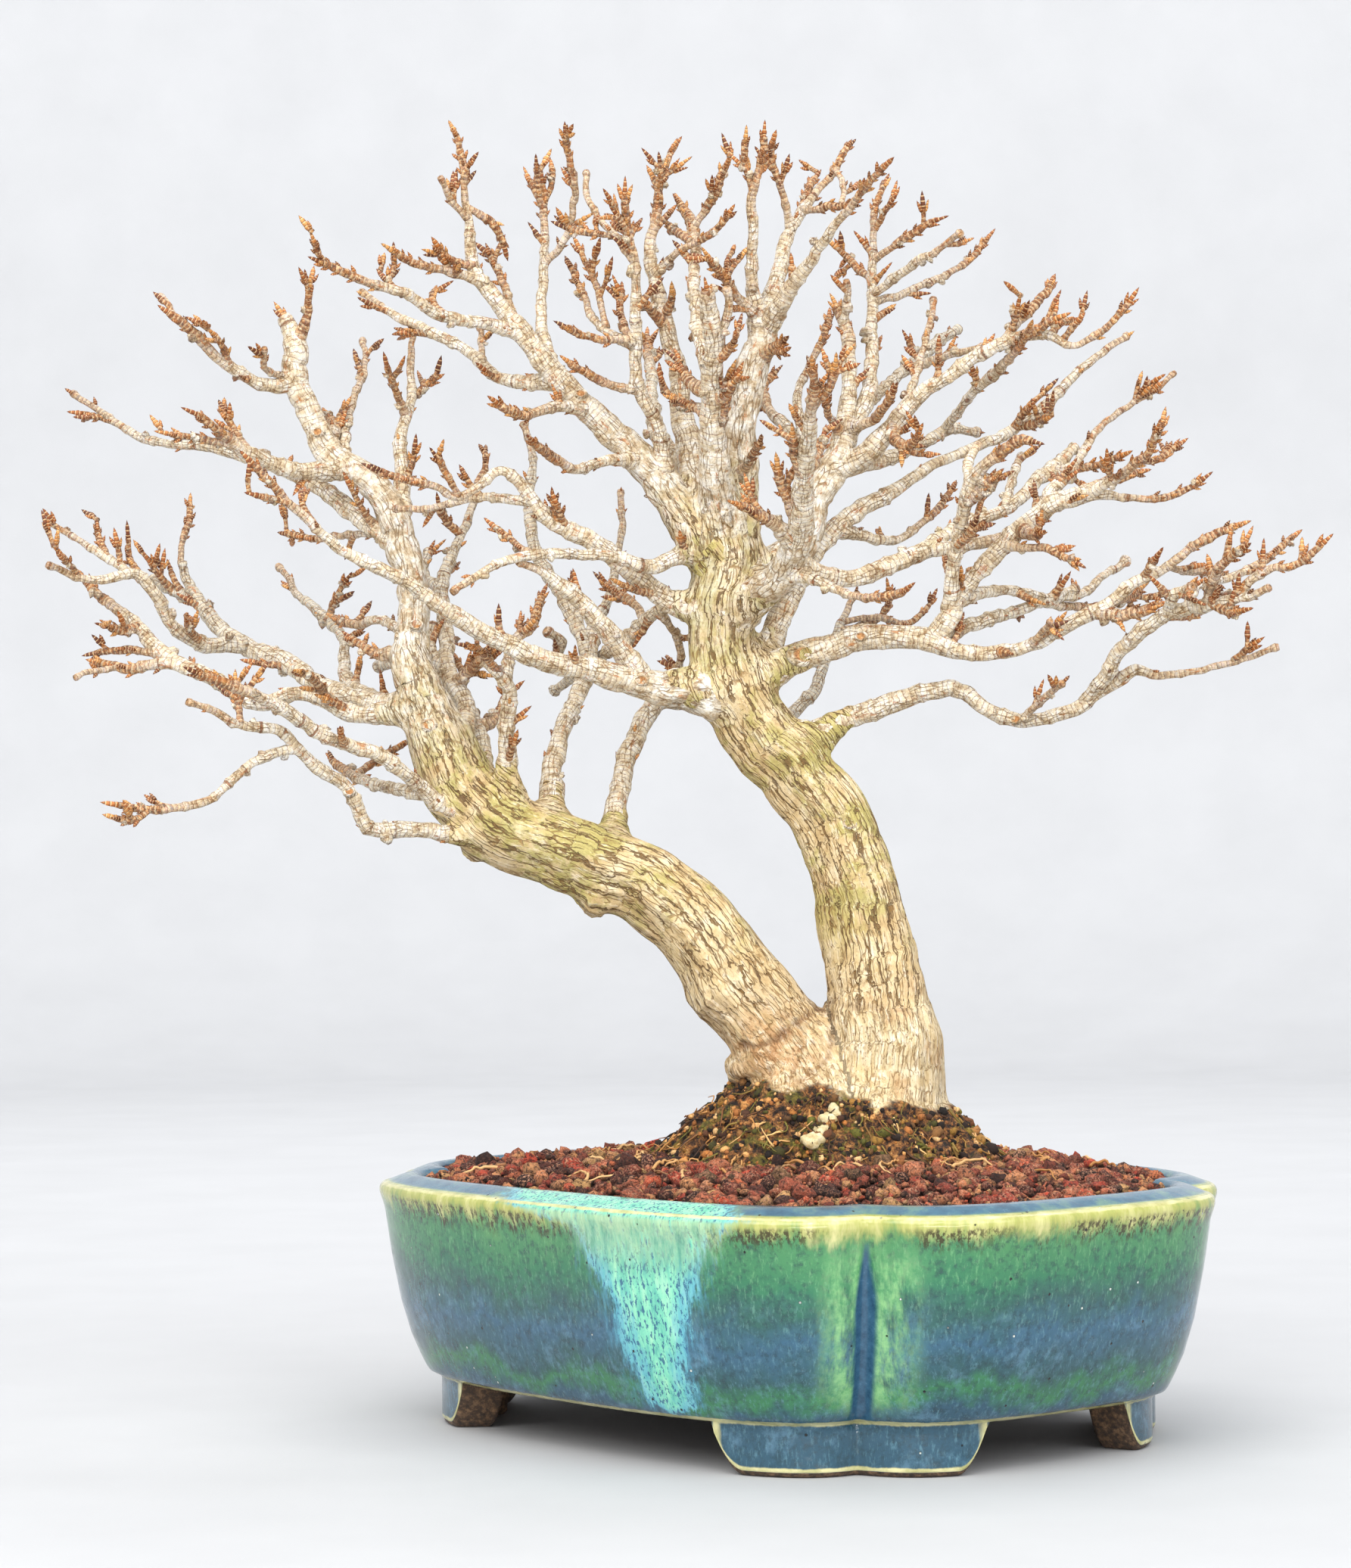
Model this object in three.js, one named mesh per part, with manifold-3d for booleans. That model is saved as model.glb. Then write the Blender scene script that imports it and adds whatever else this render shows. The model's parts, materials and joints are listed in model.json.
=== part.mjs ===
// Trident maple bonsai, bare in winter, in a glazed four-lobed pot.
// Millimetres, +Z up, front view along +Y. One body: pot, drain screens, soil and tree.
import * as THREE from "three";
import { mergeVertices } from "three/addons/utils/BufferGeometryUtils.js";
import Module from "manifold-3d";

const wasm = await Module();
wasm.setup();

// Pot
const POT_HALF_LENGTH = 115;
const POT_HALF_WIDTH = 86;
const POT_HEIGHT = 65;
const POT_TURN = -0.88;          // long axis, in radians from +X
const LOBE_POWER = 2.9;          // roundness of the lobes
const NOTCH_ANGLE = 0.55;        // from the long axis, in radians
const NOTCH_DEPTH = 0.085;       // as a share of the radius
const NOTCH_WIDTH = 0.1;         // radians
const FOOT_HEIGHT = 12.5;
const FOOT_REACH = 36;           // along the wall, from a notch towards a long side
const FOOT_END_REACH = 28;       // and towards an end
const FOOT_STRAIGHT = 0.76;      // share of each wing before its hollow-cut end
const FOOT_THICK = 11;
const FOOT_SUNK = 3;             // into the underside of the wall
const FOOT_SCALE = 0.852;        // its outer face, as a share of the rim's outline
const FLOOR_THICK = 7.5;
const WALL_THICK = 7;
const LIP_WIDTH = 11;
const OUTLINE_STEPS = 56;
const DRAIN_RADIUS = 9;
const DRAIN_OFFSET = 44;         // from the middle, along the long axis

// Soil and the root base that stands in it
const GAP = 0.35;                // clearance between touching pieces
const WELD = 0.03;               // joined surfaces keep no edge shorter than this
const SOIL_EDGE = 62.5;
const SOIL_CROWN = 71;
const GRAIN_RELIEF = 1.5;
const SOIL_RINGS = 8;
const BASE_BOTTOM = 52;
const BASE_Y = 2;
const CORE_SHARE = 0.8;          // the soil's rings end inside the root base's outline
const BASE_STEPS = 30;
const SCREEN_SIZE = 26;
const SCREEN_THICK = 1;
const SCREEN_HOLES = 4;          // each way
const SCREEN_EYE = 0.72;         // a hole's width, as a share of the pitch
const CLIP_WIRE = 0.8;           // radius
const CLIP_FOOT = 9;

// Tree: its bends are noted as they are seen from the front, so each is a line of sight from EYE
const EYE = new THREE.Vector3(-28.7, -1084.4, 150.9);
const BUD_LENGTH = 6;
const BUD_RADIUS = 1.55;
const BUD_WAIST = 0.7;           // its widest place, as a share of its length from the tip
const SIDE_BUD = 1.7;            // how far one stands out
const SIDE_BUD_SHARE = 0.7;      // of the bends on thin wood that bear one
const THIN_WOOD = 1.9;
const BUD = "bud";
const CUT = "cut";

const toGeometry = (points, faces) => {
  const geometry = new THREE.BufferGeometry();
  const flat = points.flatMap((p) => [p.x, p.y, p.z]);
  geometry.setAttribute("position", new THREE.Float32BufferAttribute(flat, 3));
  geometry.setIndex(faces);
  return geometry;
};

function toSolid(geometry) {
  const bare = geometry.clone();
  bare.deleteAttribute("normal");
  bare.deleteAttribute("uv");
  const merged = mergeVertices(bare, 1e-4);
  const triVerts = new Uint32Array(merged.index.array);
  const vertProperties = new Float32Array(merged.attributes.position.array);
  return new wasm.Manifold(new wasm.Mesh({ numProp: 3, vertProperties, triVerts, tolerance: WELD }));
}

function fromSolid(solid) {
  const mesh = solid.getMesh();
  const geometry = new THREE.BufferGeometry();
  geometry.setAttribute("position", new THREE.Float32BufferAttribute(mesh.vertProperties, 3));
  geometry.setIndex(Array.from(mesh.triVerts));
  return geometry;
}

// A closed skin over rings of equal count, with flat ends, or a pointed one where a tip is given
function loft(rings, tip = null) {
  const count = rings[0].length;
  const points = rings.flat();
  const faces = [];
  for (let ring = 0; ring + 1 < rings.length; ring += 1) {
    for (let i = 0; i < count; i += 1) {
      const a = ring * count + i;
      const b = ring * count + ((i + 1) % count);
      faces.push(a, b, b + count, a, b + count, a + count);
    }
  }
  const last = (rings.length - 1) * count;
  for (let i = 1; i + 1 < count; i += 1) faces.push(0, i + 1, i);
  if (tip) points.push(tip);
  for (let i = 0; i < count; i += 1) {
    if (tip) faces.push(last + i, last + ((i + 1) % count), points.length - 1);
    else if (i > 0 && i + 1 < count) faces.push(last, last + i, last + i + 1);
  }
  return toGeometry(points, faces);
}

// The same, its ends closed from their middles, for ends that are not convex
function loftWide(rings) {
  const middle = (ring) => ring.reduce((sum, p) => sum.add(p), new THREE.Vector3()).divideScalar(ring.length);
  const first = middle(rings[0]);
  const last = middle(rings[rings.length - 1]);
  const count = rings[0].length;
  const skin = loft(rings);
  const faces = Array.from(skin.index.array).slice(0, (rings.length - 1) * count * 6);
  for (let i = 0; i < count; i += 1) {
    const next = (i + 1) % count;
    const end = (rings.length - 1) * count;
    faces.push(next, i, rings.length * count, end + i, end + next, rings.length * count + 1);
  }
  return toGeometry([...rings.flat(), first, last], faces);
}

const named = (name, geometry, color, roughness, metalness = 0) => {
  const flat = geometry.index ? geometry.toNonIndexed() : geometry.clone();
  flat.computeVertexNormals();
  const mesh = new THREE.Mesh(flat, new THREE.MeshStandardMaterial({ color, roughness, metalness }));
  mesh.name = name;
  return mesh;
};

// Pot: outline of four lobes, with a cusp pressed in between each two
function outlineRadius(angle) {
  const c = Math.abs(Math.cos(angle));
  const s = Math.abs(Math.sin(angle));
  const lobes = (c / POT_HALF_LENGTH) ** LOBE_POWER + (s / POT_HALF_WIDTH) ** LOBE_POWER;
  const fromNotch = Math.abs(Math.atan2(s, c) - NOTCH_ANGLE);
  return lobes ** (-1 / LOBE_POWER) * (1 - NOTCH_DEPTH * Math.exp(-((fromNotch / NOTCH_WIDTH) ** 1.3)));
}

// Angles round the pot, closer together near the notches
function outlineAngle(index) {
  const quarter = OUTLINE_STEPS / 4;
  const turn = Math.floor(index / quarter);
  const part = (index % quarter) / quarter;
  const forward = turn % 2 === 0 ? part : 1 - part;
  const split = NOTCH_ANGLE / (Math.PI / 2);
  const share = split + (1 - split) * 0.16;
  const near = forward < share
    ? NOTCH_ANGLE * (1 - (1 - forward / share) ** 1.35)
    : NOTCH_ANGLE + (Math.PI / 2 - NOTCH_ANGLE) * ((forward - share) / (1 - share)) ** 1.35;
  return (Math.floor(turn / 2) * Math.PI) + (turn % 2 === 0 ? near : Math.PI - near);
}

const outlinePoint = (angle, scale, inward, z) => {
  const r = outlineRadius(angle) * scale - inward;
  return new THREE.Vector3(r * Math.cos(angle), r * Math.sin(angle), z);
};

const outlineRing = (scale, inward, z) =>
  Array.from({ length: OUTLINE_STEPS }, (_, i) => outlinePoint(outlineAngle(i), scale, inward, z));

const WALL_PROFILE = [          // share of the rim's outline, height
  [0.86, FOOT_HEIGHT], [0.885, FOOT_HEIGHT + 1.5], [0.9, 17], [0.925, 23], [0.95, 32], [0.972, 44],
  [0.988, 56], [0.998, 60.5], [0.998, 63.5],
];

function wallScale(z) {
  for (let i = 1; i < WALL_PROFILE.length; i += 1) {
    const [s0, z0] = WALL_PROFILE[i - 1];
    const [s1, z1] = WALL_PROFILE[i];
    if (z <= z1) return s0 + (s1 - s0) * Math.max(0, (z - z0) / (z1 - z0));
  }
  return 1;
}

const FLOOR_TOP = FOOT_HEIGHT + FLOOR_THICK;
const LIP_UNDER = POT_HEIGHT - 5;

function potBody() {
  const rings = WALL_PROFILE.map(([scale, z]) => outlineRing(scale, 0, z));
  rings.push(outlineRing(1, 2.2, POT_HEIGHT));
  rings.push(outlineRing(1, LIP_WIDTH - 0.8, POT_HEIGHT));
  rings.push(outlineRing(1, LIP_WIDTH, POT_HEIGHT - 1));
  rings.push(outlineRing(1, LIP_WIDTH, LIP_UNDER));
  rings.push(outlineRing(wallScale(LIP_UNDER - 3), WALL_THICK, LIP_UNDER - 3));
  rings.push(outlineRing(wallScale(36), WALL_THICK, 36));
  rings.push(outlineRing(wallScale(FLOOR_TOP + 2), WALL_THICK + 1, FLOOR_TOP + 2));
  rings.push(outlineRing(wallScale(FLOOR_TOP), WALL_THICK + 5, FLOOR_TOP));
  return loftWide(rings);
}

// A bracket foot that wings out both ways from a notch, with hollow-cut ends
function foot(notch) {
  const endSide = -Math.sign(Math.tan(notch));
  const half = [0.2, 0.45, FOOT_STRAIGHT, 0.9, 0.97, 1];
  const sides = [...half.map((side) => -side).reverse(), 0, ...half];
  const rings = sides.map((side) => {
    const reach = side * endSide > 0 ? FOOT_END_REACH : FOOT_REACH;
    const angle = notch + (side * reach) / (outlineRadius(notch) * FOOT_SCALE);
    const past = Math.max(0, Math.abs(side) - FOOT_STRAIGHT) / (1 - FOOT_STRAIGHT);
    const bottom = (FOOT_HEIGHT - 1.5) * (1 - Math.sqrt(1 - past ** 2));
    const corner = (inward, z) => outlinePoint(angle, FOOT_SCALE, inward, z);
    return [
      corner(FOOT_THICK, bottom), corner(FOOT_THICK, FOOT_HEIGHT + FOOT_SUNK),
      corner(0, FOOT_HEIGHT + FOOT_SUNK), corner(0, bottom + 1.2), corner(1, bottom),
    ];
  });
  return loft(rings);
}

function pot() {
  let solid = toSolid(potBody());
  const notches = [NOTCH_ANGLE, Math.PI - NOTCH_ANGLE, Math.PI + NOTCH_ANGLE, -NOTCH_ANGLE];
  notches.forEach((notch) => {
    solid = solid.add(toSolid(foot(notch)));
  });
  for (const side of [-1, 1]) {
    const drain = new THREE.CylinderGeometry(DRAIN_RADIUS, DRAIN_RADIUS, 3 * FLOOR_THICK, 20);
    drain.rotateX(Math.PI / 2);
    drain.translate(side * DRAIN_OFFSET, 0, FLOOR_TOP);
    solid = solid.subtract(toSolid(drain));
  }
  return fromSolid(solid);
}

// Drain screen: a square of coarse net over each drain hole
function drainScreen() {
  const plate = new THREE.BoxGeometry(SCREEN_SIZE, SCREEN_SIZE, SCREEN_THICK);
  plate.translate(0, 0, SCREEN_THICK / 2);
  let solid = toSolid(plate);
  const pitch = SCREEN_SIZE / SCREEN_HOLES;
  const eye = pitch * SCREEN_EYE;
  for (let row = 0; row < SCREEN_HOLES; row += 1) {
    for (let column = 0; column < SCREEN_HOLES; column += 1) {
      const hole = new THREE.BoxGeometry(eye, eye, SCREEN_THICK * 3);
      hole.translate((column + 0.5) * pitch - SCREEN_SIZE / 2, (row + 0.5) * pitch - SCREEN_SIZE / 2, 0);
      solid = solid.subtract(toSolid(hole));
    }
  }
  return fromSolid(solid);
}

// Wire clip: over the net, down through two of its holes and turned out under the floor
function drainClip() {
  const legX = SCREEN_SIZE / SCREEN_HOLES / 2;
  const top = SCREEN_THICK + GAP + CLIP_WIRE;
  const under = -FLOOR_THICK - GAP * 2 - CLIP_WIRE;
  const route = [
    [-legX - CLIP_FOOT, under], [-legX, under], [-legX, top],
    [legX, top], [legX, under], [legX + CLIP_FOOT, under],
  ].map(([x, z]) => new THREE.Vector3(x, legX, z));
  const side = new THREE.Vector3(0, 1, 0);
  const rings = route.map((corner, i) => {
    const into = corner.clone().sub(route[Math.max(i - 1, 0)]).normalize();
    const out = route[Math.min(i + 1, route.length - 1)].clone().sub(corner).normalize();
    const along = into.add(out).normalize();
    const across = new THREE.Vector3().crossVectors(side, along);
    const mitre = i === 0 || i === route.length - 1 ? 1 : Math.SQRT2;
    return Array.from({ length: 6 }, (_, k) => {
      const a = (k / 6) * Math.PI * 2;
      return corner.clone()
        .addScaledVector(across, CLIP_WIRE * mitre * Math.cos(a))
        .addScaledVector(side, CLIP_WIRE * Math.sin(a));
    });
  });
  return loft(rings);
}

// Root base: buttress roots that spread from the trunks and go down into the soil
const BASE_LEVELS = [            // height, half length, half width, middle x
  [BASE_BOTTOM, 36, 30.5, 9], [72.5, 36, 30.5, 9], [76, 33.5, 28, 9.5], [80, 30.5, 25, 10.5],
  [85, 27, 21.5, 12], [92, 23, 18, 13], [99, 16, 13, 11],
];

function baseRadius(angle, z) {
  const relief = Math.min(1, Math.max(0, (100 - z) / 20));
  const small = 0.04 * Math.sin(11 * angle) + 0.02 * Math.cos(17 * angle + 2);
  const roots = 0.07 * Math.cos(6 * angle + 0.9) + small;
  return 1 + roots * relief;
}

function baseRing(level, grow = 0) {
  const [z, length, width, middle] = level;
  return Array.from({ length: BASE_STEPS }, (_, i) => {
    const angle = (i / BASE_STEPS) * Math.PI * 2;
    const share = baseRadius(angle, z);
    const x = middle + (length * share + grow) * Math.cos(angle);
    return new THREE.Vector3(x, BASE_Y + (width * share + grow) * Math.sin(angle), z);
  });
}

// Soil: fills the pot round the root base, in coarse grains
const grain = (x, y) => {
  const wave = Math.sin(x * 1.31 + y * 0.47) + Math.sin(y * 1.13 - x * 0.39 + 1) + Math.sin((x + y) * 2.17);
  return (wave / 3) * GRAIN_RELIEF;
};

function soil() {
  const turn = new THREE.Matrix4().makeRotationZ(POT_TURN);
  const wallRing = (scale, inward, z) => outlineRing(scale, inward, z).map((p) => p.applyMatrix4(turn));
  const clear = LIP_WIDTH + GAP + 0.2;
  const inner = WALL_THICK + GAP;
  const rings = [
    wallRing(wallScale(FLOOR_TOP + 2), WALL_THICK + 6 + GAP, FLOOR_TOP + GAP),
    wallRing(wallScale(FLOOR_TOP + 2), inner + 1.4, FLOOR_TOP + 2.6),
    wallRing(wallScale(36), inner + 0.2, 36),
    wallRing(wallScale(LIP_UNDER - 3), inner + 0.2, LIP_UNDER - 3.6),
    wallRing(1, clear, LIP_UNDER - GAP),
    wallRing(1, clear, SOIL_EDGE - 0.5),
  ];
  const edge = wallRing(1, clear, 0);
  const [, baseLength, baseWidth, baseMiddle] = BASE_LEVELS[0];
  const core = edge.map((p) => {
    const angle = Math.atan2((p.y - BASE_Y) / baseWidth, (p.x - baseMiddle) / baseLength);
    const x = baseMiddle + CORE_SHARE * baseLength * Math.cos(angle);
    return new THREE.Vector3(x, BASE_Y + CORE_SHARE * baseWidth * Math.sin(angle), SOIL_CROWN);
  });
  for (let ring = 1; ring < SOIL_RINGS; ring += 1) {
    const t = ring / SOIL_RINGS;
    rings.push(edge.map((p, i) => {
      const jog = ring % 2 === 0 ? 0 : 0.5;
      const next = (i + 1) % OUTLINE_STEPS;
      const from = p.clone().lerp(edge[next], jog);
      const to = core[i].clone().lerp(core[next], jog);
      const spot = from.lerp(to, t);
      spot.z = SOIL_EDGE + (SOIL_CROWN - SOIL_EDGE) * Math.sin(t * 1.45) + grain(spot.x, spot.y);
      return spot;
    }));
  }
  rings.push(core);
  const [socketFloor, socketMouth] = [BASE_BOTTOM - GAP, SOIL_CROWN + 20];
  const socket = [socketFloor, socketMouth].map((z) => {
    const ring = baseRing(BASE_LEVELS[0], GAP + 0.1);
    ring.forEach((p) => { p.z = z; });
    return ring;
  });
  let solid = toSolid(loftWide(rings)).subtract(toSolid(loftWide(socket)));
  const roomSize = SCREEN_SIZE + 1.2;
  const roomTop = FLOOR_TOP + SCREEN_THICK + 2 * CLIP_WIRE + 3 * GAP + 0.2;
  for (const side of [-1, 1]) {
    const room = new THREE.BoxGeometry(roomSize, roomSize, 8);
    room.translate(side * DRAIN_OFFSET, 0, roomTop - 4);
    room.rotateZ(POT_TURN);
    solid = solid.subtract(toSolid(room));
  }
  return fromSolid(solid);
}

// A point of the tree: what is seen at (x, z) from the front, brought to depth y
const seen = (x, z, y) => {
  const far = (y - EYE.y) / -EYE.y;
  return new THREE.Vector3(EYE.x + (x - EYE.x) * far, y, EYE.z + (z - EYE.z) * far);
};

let drawState = 20260;
const draw = () => {
  drawState = (drawState * 16807) % 2147483647;
  return drawState / 2147483647;
};

// Where a limb springs from its parent: the nearest place on the parent's line, as seen from the front
function springFrom(parent, x, z) {
  let best = null;
  for (let i = 0; i + 1 < parent.bends.length; i += 1) {
    const a = parent.bends[i];
    const b = parent.bends[i + 1];
    const length = (b.x - a.x) ** 2 + (b.z - a.z) ** 2;
    const t = Math.min(1, Math.max(0, ((x - a.x) * (b.x - a.x) + (z - a.z) * (b.z - a.z)) / length));
    const between = (key) => a[key] + (b[key] - a[key]) * t;
    const spot = { x: between("x"), y: between("y"), z: between("z"), r: between("r") };
    const distance = Math.hypot(spot.x - x, spot.z - z);
    if (!best || distance < best.distance) best = { ...spot, distance };
  }
  return best;
}

const limbs = [];

// A limb: reach is how far its tip stands nearer (-) or farther (+) than where it springs,
// bends are x, z, radius, x, z, radius and so on
function grow(parent, reach, end, numbers) {
  const bends = [];
  for (let i = 0; i < numbers.length; i += 3) {
    bends.push({ x: numbers[i], z: numbers[i + 1], r: numbers[i + 2], y: 0 });
  }
  if (parent) {
    const spring = springFrom(parent, bends[0].x, bends[0].z);
    const root = { x: spring.x, z: spring.z, y: 0, r: Math.min(bends[0].r, spring.r * 0.9) };
    if (spring.distance > spring.r + 1.5) bends.unshift(root);
    else bends[0] = root;
    bends.forEach((bend) => { bend.y = spring.y; });
  }
  let length = 0;
  const along = bends.map((bend, i) => {
    if (i > 0) length += Math.hypot(bend.x - bends[i - 1].x, bend.z - bends[i - 1].z);
    return length;
  });
  bends.forEach((bend, i) => { bend.y += (reach * along[i]) / length; });
  const limb = { parent, end, bends };
  limbs.push(limb);
  return limb;
}

// Two trunks from one base
const leftTrunk = grow(null, 4, CUT, [14, 66, 23, 9, 84, 19.5, 4, 93, 15.5, -3, 102, 11.8, -13, 114, 11.8,
  -24, 130, 10.8, -38, 141, 10.3, -58, 149, 9.8, -76, 156, 9.3, -85, 166, 8.4, -89, 178, 7, -94, 188, 5.2]);
const rightTrunk = grow(null, -3, CUT, [22, 66, 19, 24, 85, 16.5, 24, 100, 15.3, 23, 112, 13, 20, 128, 11.3,
  16, 145, 10.2, 11, 158, 10, 3, 168, 9.8, -6, 178, 9.8, -12, 188, 9.8, -16, 199, 9, -16, 213, 8.6,
  -14, 224, 8.6, -15, 234, 7.6]);

// Left leader and the limbs of the upper left
const leftLeader = grow(leftTrunk, 10, BUD, [-94, 188, 5, -97, 200, 4.1, -96, 213, 3.7, -98, 225, 4.2,
  -101, 236, 4, -108, 246, 4, -117, 252, 4, -122, 262, 3.6, -126, 272, 3.6, -126, 281, 3.4, -131, 293, 1]);
grow(leftLeader, -4, BUD, [-125, 280, 1.8, -123, 289, 1.3, -122, 300, 1]);
const leftFork = grow(leftLeader, -24, BUD, [-131, 270, 2.2, -143, 275, 1.9, -153, 285, 1.6, -163, 292, 1]);
const leftArm = grow(leftLeader, -32, BUD, [-113, 247, 2.8, -125, 248, 2.4, -135, 251, 2.2, -142, 255, 2,
  -148, 260, 1.3, -156, 265, 1]);
grow(leftArm, -7, BUD, [-142, 255, 1.4, -155, 257.5, 1.2, -164, 259, 1]);
grow(leftArm, 10, BUD, [-138, 254, 1.3, -143, 261, 1.2, -147, 268, 1]);
const leftBackArm = grow(leftLeader, 46, CUT, [-102, 228, 3, -110, 236, 2.8, -118, 242, 2.6, -127, 247.5, 2.2,
  -140, 252, 2, -150, 254.5, 1.8, -167, 257.5, 1.5, -174, 262, 1.4, -184, 269, 1.1]);
grow(leftBackArm, 7, BUD, [-171, 259, 1.2, -175, 262, 1.1, -183, 264, 1]);
grow(leftLeader, 38, CUT, [-113, 252, 1.8, -112, 263, 1.4, -108, 276, 1.2, -108.5, 282, 1.1]);
const leftPost = grow(leftLeader, 21, CUT, [-100, 234, 3, -98, 245, 2.5, -99, 254, 2.2, -96, 268, 1.6,
  -96, 279, 1.2, -95, 285, 1.1]);
grow(leftPost, -14, BUD, [-98, 262, 1.4, -101, 271, 1.2, -103, 279, 1]);
grow(leftLeader, 28, BUD, [-99, 230, 1.6, -108, 231.5, 1.4, -120, 230.5, 1.3, -132, 232, 1]);
grow(leftLeader, 42, BUD, [-97, 204, 1.8, -105, 209, 1.6, -112, 208, 1.5, -119, 211, 1]);
grow(leftLeader, 10, BUD, [-97, 201, 2, -106, 200.5, 1.8, -110, 203, 1.4, -116, 207, 1]);

// Middle left
const backLeft = grow(leftTrunk, 70, BUD, [-95, 186, 3.2, -107, 188, 3, -115, 190, 2.9, -122, 193.5, 2.8,
  -130, 199, 3, -137, 201.5, 3, -143, 205, 2.6, -152, 215, 2.3, -156, 225, 1.3, -154, 237, 1.2, -153, 244, 1]);
const backLeftTip = grow(backLeft, 14, CUT, [-152, 214, 2, -158, 217, 1.8, -164, 220.5, 1.5]);
grow(backLeftTip, -7, BUD, [-158, 217, 1.3, -163, 223, 1.2, -166, 229, 1]);
const farLeft = grow(backLeft, -28, CUT, [-140, 202, 2.6, -150, 203.5, 2.4, -157, 207, 2, -164, 218, 1.9,
  -168, 221.5, 1.8, -176, 220.5, 1.5, -186, 222, 1.3, -191, 224.5, 1.1]);
const farLeftUp = grow(farLeft, 14, CUT, [-168, 221, 1.7, -177, 227, 1.6, -183, 231, 1.3, -190, 235.5, 1.1]);
const midLeft = grow(leftTrunk, 14, BUD, [-94, 186, 3.4, -105, 185, 3, -112, 185, 2.8, -118, 188, 2.4,
  -125, 190.5, 2.3, -138, 188, 2.3, -145, 192.5, 2.4, -152, 196, 2.3, -158, 198, 2, -172, 197.5, 1.5,
  -183, 200, 1]);
const midLeftUp = grow(midLeft, 24, BUD, [-153, 197, 2.4, -161, 201, 2.4, -168, 209, 2, -177, 216, 1.6,
  -184, 224, 1]);
grow(midLeftUp, 9, BUD, [-161, 201, 1.6, -168, 202, 1.4, -183, 201, 1]);
grow(leftTrunk, -60, BUD, [-80, 155, 3, -90, 161, 2.5, -97, 168, 2.3, -105, 174, 2.2, -113, 177, 2.1,
  -121, 180, 2, -134, 189, 1.9, -147, 194, 1.5, -157, 198, 1]);
const lowFront = grow(leftTrunk, -46, CUT, [-75, 150, 3, -85, 153, 2.6, -95, 155, 2.3, -109, 156, 2.2,
  -111, 161, 2.1, -115, 167, 2, -122, 171, 2, -127, 176.5, 1.9, -132, 181, 1.7, -140, 182, 1.6,
  -148, 186, 1.3, -155, 188.5, 1.1]);
grow(lowFront, 7, BUD, [-141, 183, 1.3, -142, 190, 1.2, -143.5, 198, 1]);
const lowTip = grow(lowFront, -21, BUD, [-127, 176, 1.7, -134, 174.5, 1.6, -145, 167, 1.5, -149, 163, 1.4,
  -155, 161.5, 1.4, -166, 161, 1.2, -178, 162.5, 1]);
grow(lowTip, -7, BUD, [-164, 161, 1.2, -170, 158, 1.1, -178.5, 160, 1]);
const lowBack = grow(leftTrunk, 60, BUD, [-84, 162, 2.6, -95, 164, 2.1, -112, 169, 1.8, -120, 175, 1]);
grow(lowBack, 9, BUD, [-111, 170, 1.3, -103, 175, 1.2, -96, 178, 1]);
const innerBack = grow(leftTrunk, 80, CUT, [-94, 186, 2.6, -108, 190, 2.1, -113, 193, 2, -115, 205, 1.9,
  -121, 212, 1.8, -125, 215, 1.5, -131, 223.5, 1.2]);
grow(innerBack, -7, BUD, [-117, 210, 1.2, -115, 217, 1.1, -111, 223, 1]);
const upright = grow(leftTrunk, -18, CUT, [-72, 158, 3.2, -72, 170, 2.9, -72, 182, 2.5, -72, 192, 2.2,
  -75, 196, 1.8, -80, 198.5, 1.3]);
grow(upright, 18, BUD, [-71, 194, 2, -70, 203, 1.8, -66, 206, 1.6, -64, 212, 1.4, -61, 219, 1]);
const greyPost = grow(leftTrunk, 52, CUT, [-60, 152, 3.6, -60, 172, 3, -57, 182, 2.6, -51, 197, 2.5,
  -50, 205, 2.4, -45, 216, 1.6, -42, 232, 1.4, -42, 242, 1.1]);
grow(greyPost, 21, CUT, [-49, 206, 1.9, -57, 223, 1.5, -66, 238, 1.3, -64, 246, 1.2, -65, 260, 1]);
const behind = grow(leftTrunk, 74, CUT, [-45, 148, 3.6, -43, 165, 3, -39, 178, 2.9, -36, 184, 3,
  -31, 187, 2.6, -22, 185, 2.4, 2, 184, 2.1, 7, 189, 2, 10, 196, 1.9, 14, 205, 1.6, 19, 215, 1]);
grow(behind, 14, BUD, [14, 205, 1.3, 24, 208, 1.2, 27, 211, 1.1, 28, 218, 1]);
grow(behind, 7, BUD, [16, 207, 1.4, 26, 208, 1.3, 30, 206.5, 1.2, 38, 212, 1, 40, 217, 1]);

// Limbs that cross from the right trunk over to the left
const longCross = grow(rightTrunk, -56, BUD, [-20, 188, 4, -30, 190.5, 3.5, -42, 193, 3, -50, 195.5, 2.6,
  -66, 199.5, 2.2, -76, 204.5, 2.1, -88, 212, 2, -100, 220, 1.9, -113, 226.5, 1.8, -120, 232, 1.6,
  -131, 243, 1.3, -142, 254, 1]);
grow(longCross, -18, CUT, [-36, 193, 3, -40, 197, 2.7, -43, 202, 2.4, -47, 207, 2.1, -57, 217, 1.8,
  -62, 221, 1.5, -69, 224, 1.2]);
const level = grow(rightTrunk, -38, CUT, [-20, 225, 3.2, -27, 225, 2.7, -35, 222, 2.2, -43, 224.5, 2,
  -50, 225.5, 1.8, -70, 224.5, 1.7, -77, 222, 1.5, -86, 216, 1.2]);
grow(level, 10, BUD, [-64, 225.5, 1.4, -71, 230, 1.2, -78, 236, 1]);
const crossHigh = grow(rightTrunk, -21, BUD, [-20, 211, 3.2, -29, 213, 2.5, -37, 219, 2.2, -48, 227.5, 2.3,
  -61, 235, 2.1, -69, 245, 1.8, -73, 247.5, 1.6, -80, 243, 1.5, -84, 241, 1.4, -90, 243.5, 1.3,
  -103, 247, 1.2, -110, 250, 1]);
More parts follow.
